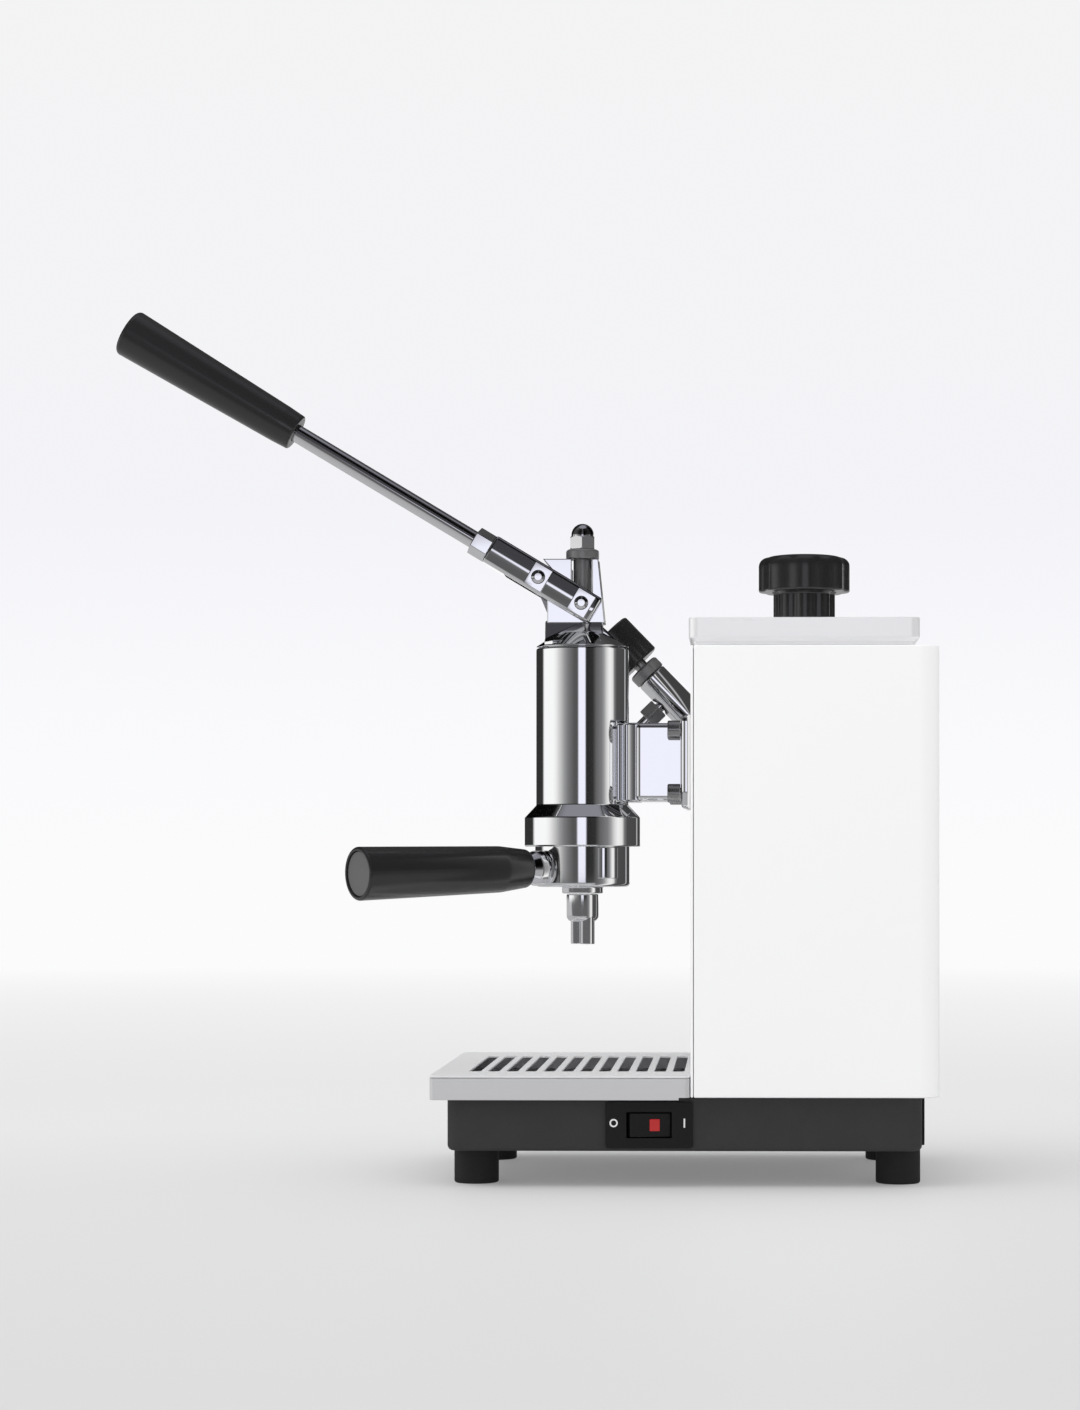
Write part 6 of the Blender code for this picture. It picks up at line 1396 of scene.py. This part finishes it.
def portafilter(sizes):
    outer, inner, root = FILTER_RADIUS, FILTER_RADIUS - FILTER_WALL, FILTER_RADIUS - FILTER_WALL / 2
    floor, collar = FILTER_BOTTOM + FILTER_FLOOR, FILTER_BOTTOM - COLLAR
    heel, collar_edge, drain, floor_round = 0.0024, 0.0008, 0.003, 0.002
    bowl = turned("chromed_filter_holder", [
        (outer, FILTER_TOP), (outer, FILTER_BOTTOM, heel), (COLLAR_RADIUS, FILTER_BOTTOM, collar_edge),
        (COLLAR_RADIUS, collar, collar_edge), (drain, collar), (drain, floor), (inner, floor, floor_round),
        (inner, FILTER_TOP),
    ], at(0, 0, 0), closed=True, steps=ROUND + ROUND // 3)
    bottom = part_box("group_casting")[0].z
    ear_low, ear_edge, lug_high, cast_edge = bottom + BELL_LIP + EAR_GAP, 0.0010, bottom - EAR_GAP, 0.0005
    others = []
    for side in (1, -1):
        for low, high, start, reach, half, edge in (
            (ear_low, EAR_TOP, root, EAR_REACH, EAR_WIDTH / 2, ear_edge),
            (LUG_BOTTOM, lug_high, root - LUG_EDGE, LUG_REACH, LUG_HALF_WIDTH, LUG_EDGE),
        ):
            outline = rounded(
                [(-half, start), (half, start), (half, reach, edge), (-half, reach, edge)], FILLET * 2,
            )
            others.append(softened(prism("ear", outline, low, high, ear_place(side)), cast_edge, 3, 60))
    axis = at(0, 0, HANDLE_AXIS_Z)
    neck, neck_round, boss_edge = 0.0010, 0.0030, 0.0012
    boss = turned("handle_boss", [
        (0, BOSS_END), (BOSS_RADIUS, BOSS_END, boss_edge),
        (BOSS_ROOT_RADIUS, BOSS_END - BOSS_TAPER, BOSS_TAPER),
        (BOSS_ROOT_RADIUS, outer + neck, neck_round), (BOSS_RADIUS, root), (0, root),
    ], axis, GRIP_LINE, steps=ROUND_SMALL)
    bowl = joined(bowl, boss, *others)
    socket = bar("stud_socket", axis + GRIP_LINE * (root + BOSS_RADIUS / 2),
                 axis + GRIP_LINE * (BOSS_END + OVERRUN), STUD_BORE)
    dressed(cut(bowl, socket), "portafilter", "chrome", "portafilter_body")

    inset, rim_width, stud_depth = 0.0020, 0.0022, 0.030
    rim_edge, end_edge, shoulder_round, start_edge = 0.0005, 0.0014, 0.018, 0.0022
    start, rim = BOSS_END + FIT, GRIP_END_RADIUS - rim_width
    grip = turned("filter_grip", [
        (0, GRIP_END - inset), (rim, GRIP_END - inset), (rim, GRIP_END, rim_edge),
        (GRIP_END_RADIUS, GRIP_END, end_edge), (GRIP_SHOULDER_RADIUS, start + GRIP_SHOULDER, shoulder_round),
        (GRIP_START_RADIUS, start, start_edge), (STUD_BORE, start, FIT), (STUD_BORE, start + stud_depth),
        (0, start + stud_depth),
    ], axis, GRIP_LINE, pieces=FILLET + 2)
    dressed(grip, "portafilter", "phenolic", "portafilter_handle")
    thickness = 0.0009
    disc_start = axis + GRIP_LINE * (GRIP_END - inset + FIT / 3)
    disc = bar("grip_end_disc", disc_start, disc_start + GRIP_LINE * thickness, rim - FIT, FIT)
    dressed(disc, "portafilter", "disc")

    top, low = collar - FIT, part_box("twin_spout")[0].z
    hub_edge, shoulder_edge, mouth_edge = 0.0007, 0.0034, 0.0004
    hub = turned("chromed_spout", [
        (0, top), (SPOUT_HUB_RADIUS, top, hub_edge), (SPOUT_HUB_RADIUS, SPOUT_SHOULDER, shoulder_edge),
        (0, SPOUT_SHOULDER),
    ], at(0, 0, 0))
    outlets, mouths = [], []
    for side in (1, -1):
        mouth = at(0, 0, low) + ear_line(1) * SPOUT_SPREAD * side
        top = mouth + UP * (SPOUT_SHOULDER - low)
        outlets.append(bar("spout_outlet", mouth, top + UP * SPOUT_RADIUS, SPOUT_RADIUS, mouth_edge))
        mouths.append(bar("spout_bore", mouth - UP * OVERRUN, top, SPOUT_BORE))
    dressed(cut(joined(hub, *outlets), *mouths), "portafilter", "chrome", "twin_spout")


# Steam valve and wand

def steam(sizes):
    axis = Vector((VALVE_X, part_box("front_panel")[0].y, VALVE_Z))
    bore, bore_depth, edge, end_edge = 0.0042, 0.018, 0.0008, 0.0010
    valve = turned("chromed_valve", [
        (0, VALVE_LENGTH - bore_depth), (bore, VALVE_LENGTH - bore_depth), (bore, VALVE_LENGTH, FIT),
        (VALVE_RADIUS, VALVE_LENGTH, end_edge), (VALVE_RADIUS, -VALVE_INSIDE, edge), (0, -VALVE_INSIDE),
    ], axis, VALVE_LINE)
    socket = axis + VALVE_LINE * WAND_AT

    def along_wand(name, start, end, radius):
        return bar(name, socket + WAND_LINE * start, socket + WAND_LINE * end, radius)

    hole = along_wand("wand_socket", STEM_RADIUS, VALVE_RADIUS + OVERRUN, WAND_SOCKET_RADIUS)
    dressed(cut(valve, hole), "chassis", "chrome", "steam_valve")
    start, end = VALVE_LENGTH + FIT, VALVE_LENGTH + FIT + PACKING_LENGTH
    bore_gap, bore_edge, nut_edge = 0.0004, 0.0002, 0.0018
    bore = STEM_RADIUS + bore_gap
    packing = turned("valve_nut", [
        (PACKING_RADIUS, end, nut_edge), (PACKING_RADIUS, start, edge), (bore, start, bore_edge),
        (bore, end, bore_edge),
    ], axis, VALVE_LINE, closed=True)
    # The dark finish is painted shade on a chromed piece
    dressed(packing, "chassis", "dark", "packing_nut")
    bore, stem_in_knob, end_edge, start_edge = STEM_RADIUS + FIT, 0.012, 0.0014, 0.0012
    socket_end = KNOB_START + stem_in_knob
    knob = turned("valve_knob", [
        (0, KNOB_END), (KNOB_RADIUS, KNOB_END, end_edge), (KNOB_RADIUS, KNOB_START, start_edge),
        (bore, KNOB_START, FIT), (bore, socket_end), (0, socket_end),
    ], axis, VALVE_LINE)
    dressed(knob, "steam_knob", "phenolic", "steam_knob")
    stem_depth = 0.0142
    stem = bar("valve_stem", axis + VALVE_LINE * (VALVE_LENGTH - stem_depth),
               axis + VALVE_LINE * (socket_end - FIT), STEM_RADIUS, FIT)
    dressed(stem, "steam_knob", "steel", "steam_stem")

    hex_edge, jet, jet_length, edge, point, rim = 0.0006, 0.001, 0.0057, 0.0006, 0.0028, 0.0002
    middle, turn = (WAND_NUT_START + WAND_NUT_END) / 2, WAND_LINE.to_track_quat("Z", "Y").to_euler()
    nut = slab("wand_hex", hexagon(WAND_NUT_RADIUS), WAND_NUT_END - WAND_NUT_START,
               socket + WAND_LINE * middle, turn)
    hole = along_wand("nut_bore", WAND_NUT_START - OVERRUN, WAND_NUT_END + OVERRUN, WAND_RADIUS + FIT)
    # The dark finish is painted shade on a chromed piece
    dressed(cut(softened(nut, hex_edge), hole), "steam_wand", "dark", "wand_nut")
    low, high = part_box("wand_tip")
    knee = socket + WAND_LINE * WAND_KNEE
    drop = at(VALVE_X, WAND_DROP_Y, knee.z - (knee.y - GROUP_Y - WAND_DROP_Y))
    end = at(VALVE_X, WAND_DROP_Y, (low.z + high.z) / 2)
    points = bent([socket + WAND_LINE * (STEM_RADIUS + FIT), drop, end], WAND_BEND)
    dressed(tube("bright_wand", points, WAND_RADIUS), "steam_wand", "chrome", "steam_wand")
    inside, bore = low.z + jet_length, WAND_RADIUS + FIT
    tip = turned("bright_tip", [
        (WAND_TIP_RADIUS, high.z, edge), (WAND_TIP_RADIUS, low.z, point), (jet, low.z, rim), (jet, inside),
        (bore, inside), (bore, high.z, rim),
    ], at(VALVE_X, WAND_DROP_Y, 0), closed=True, steps=ROUND_SMALL)
    dressed(tip, "steam_wand", "chrome", "wand_tip")


# Boiler cap and the pieces inside

def boiler_cap(sizes):
    low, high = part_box("boiler_cap_knob")
    height = high.z - low.z
    head, stem, bore, bore_depth, head_height = 0.0255, 0.01725, 0.0063, 0.012, 0.0202
    dish, crown, crown_share, crown_round = 0.0005, 0.0002, 0.72, 0.012
    shoulder, shoulder_round, flare, flare_edge = 0.0016, 0.0050, 0.0016, 0.0008
    drop, foot_edge, long_step = 0.0012, 0.0006, 0.004
    head_low = height - head_height
    outline = rounded([
        (0, height - dish), (head * crown_share, height - crown, crown_round),
        (head, height - shoulder, shoulder_round), (head, head_low, drop),
        (stem + flare, head_low, flare_edge), (stem, head_low - drop, flare_edge), (stem, 0, foot_edge),
        (bore, 0), (bore, bore_depth), (0, bore_depth),
    ])
    fine = []
    for before, after in zip(outline, outline[1:]):
        long = abs(before[1] - after[1]) > long_step and before[0] >= bore
        fine += [
            (before[0] + (after[0] - before[0]) * k / 6, before[1] + (after[1] - before[1]) * k / 6)
            for k in range(6 if long else 1)
        ]
    knob = turned("lobed_knob", fine + [outline[-1]], (0, 0, 0), steps=ROUND * 2)
    tree = lobed_turning()
    split, inner_share, stem_inner = head_low - FIT / 3, 0.80, 0.0100
    for depth, start, end, inner in (
        (sizes.lobe_depth, split, height * 2, head * inner_share),
        (sizes.stem_lobe_depth, -height, split, stem_inner),
    ):
        knob = grown(knob, tree, "phenolic", Lobes=sizes.knob_lobes, Depth=depth, Low=start, High=end,
                     Inner_Radius=inner)
    knob.location = Vector((0, CAP_Y, low.z))
    dressed(settled(knob), "boiler_cap", "phenolic", "boiler_cap_knob")


def inner_pieces(sizes):
    """Gives the nodes that stay as the frame has them the finish of their own slot."""
    by_slot = {
        "brushed_steel": "steel", "brass": "brass", "rubber": "rubber", "seal_rubber": "seal",
        "black_switch": "switch", "chrome": "chrome",
    }
    for part in frame["record"]["subparts"]:
        node = frame["nodes"][part["node"]]
        if not node.hide_render:
            node.data.materials.clear()
            node.data.materials.append(finish(by_slot[part["material_slot"]]))


# Studio

def camera(studio):
    lens = bpy.data.cameras.new("photo_camera")
    lens.lens = LENS_MM
    lens.sensor_width = SENSOR_MM
    focal = LENS_MM / SENSOR_MM * PHOTO_HEIGHT
    axis_x = VANISHING_X - focal * math.tan(studio.camera_yaw)
    lens.shift_x = (PHOTO_WIDTH / 2 - axis_x) / PHOTO_HEIGHT
    lens.shift_y = (VANISHING_Y - PHOTO_HEIGHT / 2) / PHOTO_HEIGHT
    eye = linked("photo_camera", lens)
    eye.location = at(studio.camera_distance, studio.camera_behind, studio.camera_height)
    eye.rotation_euler = (math.pi / 2, 0, math.pi / 2 + studio.camera_yaw)
    bpy.context.scene.camera = eye


def room(studio):
    """Even light for the paint, a pale backdrop for the eye, and bright and dark bands for the chrome."""
    world = bpy.data.worlds.new("studio_room")
    bpy.context.scene.world = world
    world.use_nodes = True
    nodes = Nodes(world.node_tree)
    parts = nodes.split(nodes.place("Generated"))
    turn = nodes.math("ARCTAN2", parts["Y"], parts["X"])
    sides = nodes.ramp(
        nodes.share(turn, -math.pi, math.pi), [((degrees + 180) / 360, tone) for degrees, tone in ROOM_BANDS],
    )
    bands = nodes.blend(1, sides, nodes.ramp(parts["Z"], ROOM_HEIGHTS), "MULTIPLY")
    overhead = nodes.blend(nodes.ramp(parts["Z"], OVERHEAD_START), bands, (*OVERHEAD_TONE, 1))
    light = nodes.node("ShaderNodeLightPath").outputs
    even, mirrored, seen = (
        nodes.out("ShaderNodeBackground", Color=colour, Strength=strength) for colour, strength in (
            ((1.0, 1.0, 1.0, 1), studio.room_light), (overhead, BAND_STRENGTH),
            (nodes.ramp(parts["Z"], BACKDROP), 1.0),
        )
    )
    shade = nodes.mix_shaders(light["Is Glossy Ray"], even, mirrored)
    shade = nodes.mix_shaders(light["Is Camera Ray"], shade, seen)
    nodes.give(nodes.tree.nodes["World Output"].inputs["Surface"], shade)


def studio_sheet(name, corners, paint):
    mesh = bpy.data.meshes.new(name)
    mesh.from_pydata(corners, [], [(0, 1, 2, 3)])
    mesh.materials.append(paint)
    sheet = linked(name, mesh)
    sheet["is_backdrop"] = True
    return sheet


def floor():
    """A large pale floor that fades into the backdrop far from the machine."""
    made, nodes = material("studio_floor")
    place = nodes.place()
    across = nodes.share(nodes.split(place)["X"], -FLOOR_HALF, FLOOR_HALF)
    paint = nodes.tree.nodes["Principled BSDF"]
    # Painted shade: the floor's colour darkens towards the camera
    nodes.give(paint.inputs["Base Color"], nodes.ramp(across, FLOOR_SHADED_TONES))
    paint.inputs["Roughness"].default_value = 0.55
    paint.inputs["Specular IOR Level"].default_value = 0.25
    # The floor takes on the wall's glow far off, and a fifth of it even near the machine, painted light that
    # lightens the shade there
    far = nodes.share(nodes.vector_math("LENGTH", place), *FLOOR_FADE_AND_GLOW)
    glow = nodes.out("ShaderNodeEmission", Color=(*BACKDROP[0][1], 1))
    pale = nodes.mix_shaders(far, paint.outputs[0], glow)
    # Painted shade: glossy rays see the floor darkened by a share across it
    mirrored = nodes.node("ShaderNodeLightPath").outputs["Is Glossy Ray"]
    dimmed = nodes.math("MULTIPLY", mirrored, nodes.ramp(across, FLOOR_REFLECTION_SHADE))
    shade = nodes.mix_shaders(dimmed, pale, nodes.out("ShaderNodeEmission", Strength=0))
    nodes.give(nodes.tree.nodes["Material Output"].inputs["Surface"], shade)
    corners = corners_of(-FLOOR_REACH, -FLOOR_REACH, FLOOR_REACH, FLOOR_REACH)
    studio_sheet("studio_floor", [(x, y, 0) for x, y in corners], made)


def reflection_card():
    """A lit card before the front panel, seen only in the chrome: dark and light across the machine."""
    low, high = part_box("front_panel")
    gap, rise = 0.0006, 0.045
    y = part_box("cup_tray")[0].y - gap
    made, nodes = material("reflection_card")
    nodes.tree.nodes.remove(nodes.tree.nodes["Principled BSDF"])
    across = nodes.share(nodes.split(nodes.place())["X"], -high.x, high.x)
    # Painted reflection: the card glows dark and light across the machine
    glow = nodes.out("ShaderNodeEmission", Color=nodes.ramp(across, CARD_REFLECTION_TONES))
    back = nodes.node("ShaderNodeNewGeometry").outputs["Backfacing"]
    shade = nodes.mix_shaders(back, glow, nodes.out("ShaderNodeBsdfTransparent"))
    nodes.give(nodes.tree.nodes["Material Output"].inputs["Surface"], shade)
    corners = corners_of(-high.x, low.z, high.x, high.z + rise)
    card = studio_sheet("reflection_card", [(x, y, z) for x, z in corners], made)
    card.visible_camera = False
    card.visible_diffuse = False
    card.visible_transmission = False
    card.visible_shadow = False


def lights(studio):
    lamp = bpy.data.lights.new("top_softbox", "AREA")
    lamp.shape = "RECTANGLE"
    lamp.size = 1.6
    lamp.size_y = 1.2
    lamp.energy = studio.top_light
    box = linked("top_softbox", lamp)
    box.location = (0.5, -0.7, 1.6)
    box.rotation_euler = (-box.location).to_track_quat("-Z", "Y").to_euler()
    box.visible_glossy = False


# Add-on

def operator(idname, label, text, action):
    """An operator that makes one piece or a group of like pieces."""

    def execute(self, context):
        action(context.scene.machine_sizes)
        return {"FINISHED"}

    return type(
        "ESPRESSO_OT_" + idname, (bpy.types.Operator,),
        {"bl_idname": "espresso." + idname, "bl_label": label, "__doc__": text, "execute": execute},
    )


class ESPRESSO_OT_stage(bpy.types.Operator):
    """Set the camera, the floor and the light of a plain pale studio"""

    bl_idname = "espresso.stage"
    bl_label = "Studio"

    def execute(self, context):
        studio = context.scene.machine_studio
        context.scene.view_settings.view_transform = "Standard"
        camera(studio)
        room(studio)
        floor()
        reflection_card()
        lights(studio)
        return {"FINISHED"}


PIECES = [
    operator("housing", "Housing", "Make the white case and its front panel", housing),
    operator("cup_tray", "Cup Tray", "Make the bright tray on top of the housing", cup_tray),
    operator("boiler_cap", "Boiler Cap", "Make the black lobed knob of the boiler cap", boiler_cap),
    operator("base", "Base", "Make the dark pan under the housing", base),
    operator("feet", "Feet", "Make the four rubber feet", feet),
    operator("switch", "Switch", "Make the rocker switch, its lens and its marks", switch),
    operator("drip_tray", "Drip Tray", "Make the drip tray and its slotted grille", drip_tray),
    operator("group", "Brewing Group", "Make the chromed group and its four screws", group),
    operator("bracket", "Lever Bracket", "Make the polished bracket on the group", bracket),
    operator("hanger", "Hanger", "Make the hanger, its nuts and the rear pin", hanger),
    operator("lever", "Lever", "Make the fork, ferrule, rod, grip and front pin", lever),
    operator("portafilter", "Portafilter", "Make the filter holder, its grip and its spout", portafilter),
    operator("steam", "Steam Valve", "Make the steam valve, its knob and the wand", steam),
    operator("inner", "Inner Pieces", "Finish the pieces inside that keep the frame's meshes", inner_pieces),
    ESPRESSO_OT_stage,
]


class ESPRESSO_PT_panel(bpy.types.Panel):
    """Lists the pieces of the machine"""

    bl_label = "Espresso Machine"
    bl_space_type = "VIEW_3D"
    bl_region_type = "UI"
    bl_category = "Espresso"

    def draw(self, context):
        layout = self.layout
        for maker in PIECES:
            layout.operator(maker.bl_idname)
        for name in ("machine_sizes", "machine_colours", "machine_studio"):
            settings = getattr(context.scene, name)
            for key in settings.bl_rna.properties.keys():
                if key not in ("rna_type", "name"):
                    layout.prop(settings, key)


CLASSES = [MachineSizes, MachineColours, StudioSettings, *PIECES, ESPRESSO_PT_panel]


def register():
    for made in CLASSES:
        bpy.utils.register_class(made)
    bpy.types.Scene.machine_sizes = bpy.props.PointerProperty(type=MachineSizes)
    bpy.types.Scene.machine_colours = bpy.props.PointerProperty(type=MachineColours)
    bpy.types.Scene.machine_studio = bpy.props.PointerProperty(type=StudioSettings)


def unregister():
    del bpy.types.Scene.machine_sizes
    del bpy.types.Scene.machine_colours
    del bpy.types.Scene.machine_studio
    for made in reversed(CLASSES):
        bpy.utils.unregister_class(made)


def main():
    register()
    for maker in PIECES:
        family, name = maker.bl_idname.split(".")
        getattr(getattr(bpy.ops, family), name)()
    boxes = {"cad": cad_box, "visual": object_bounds()}
    {key: [list(corner) for corner in box] for key, box in boxes.items()}


if __name__ == "__main__":
    main()
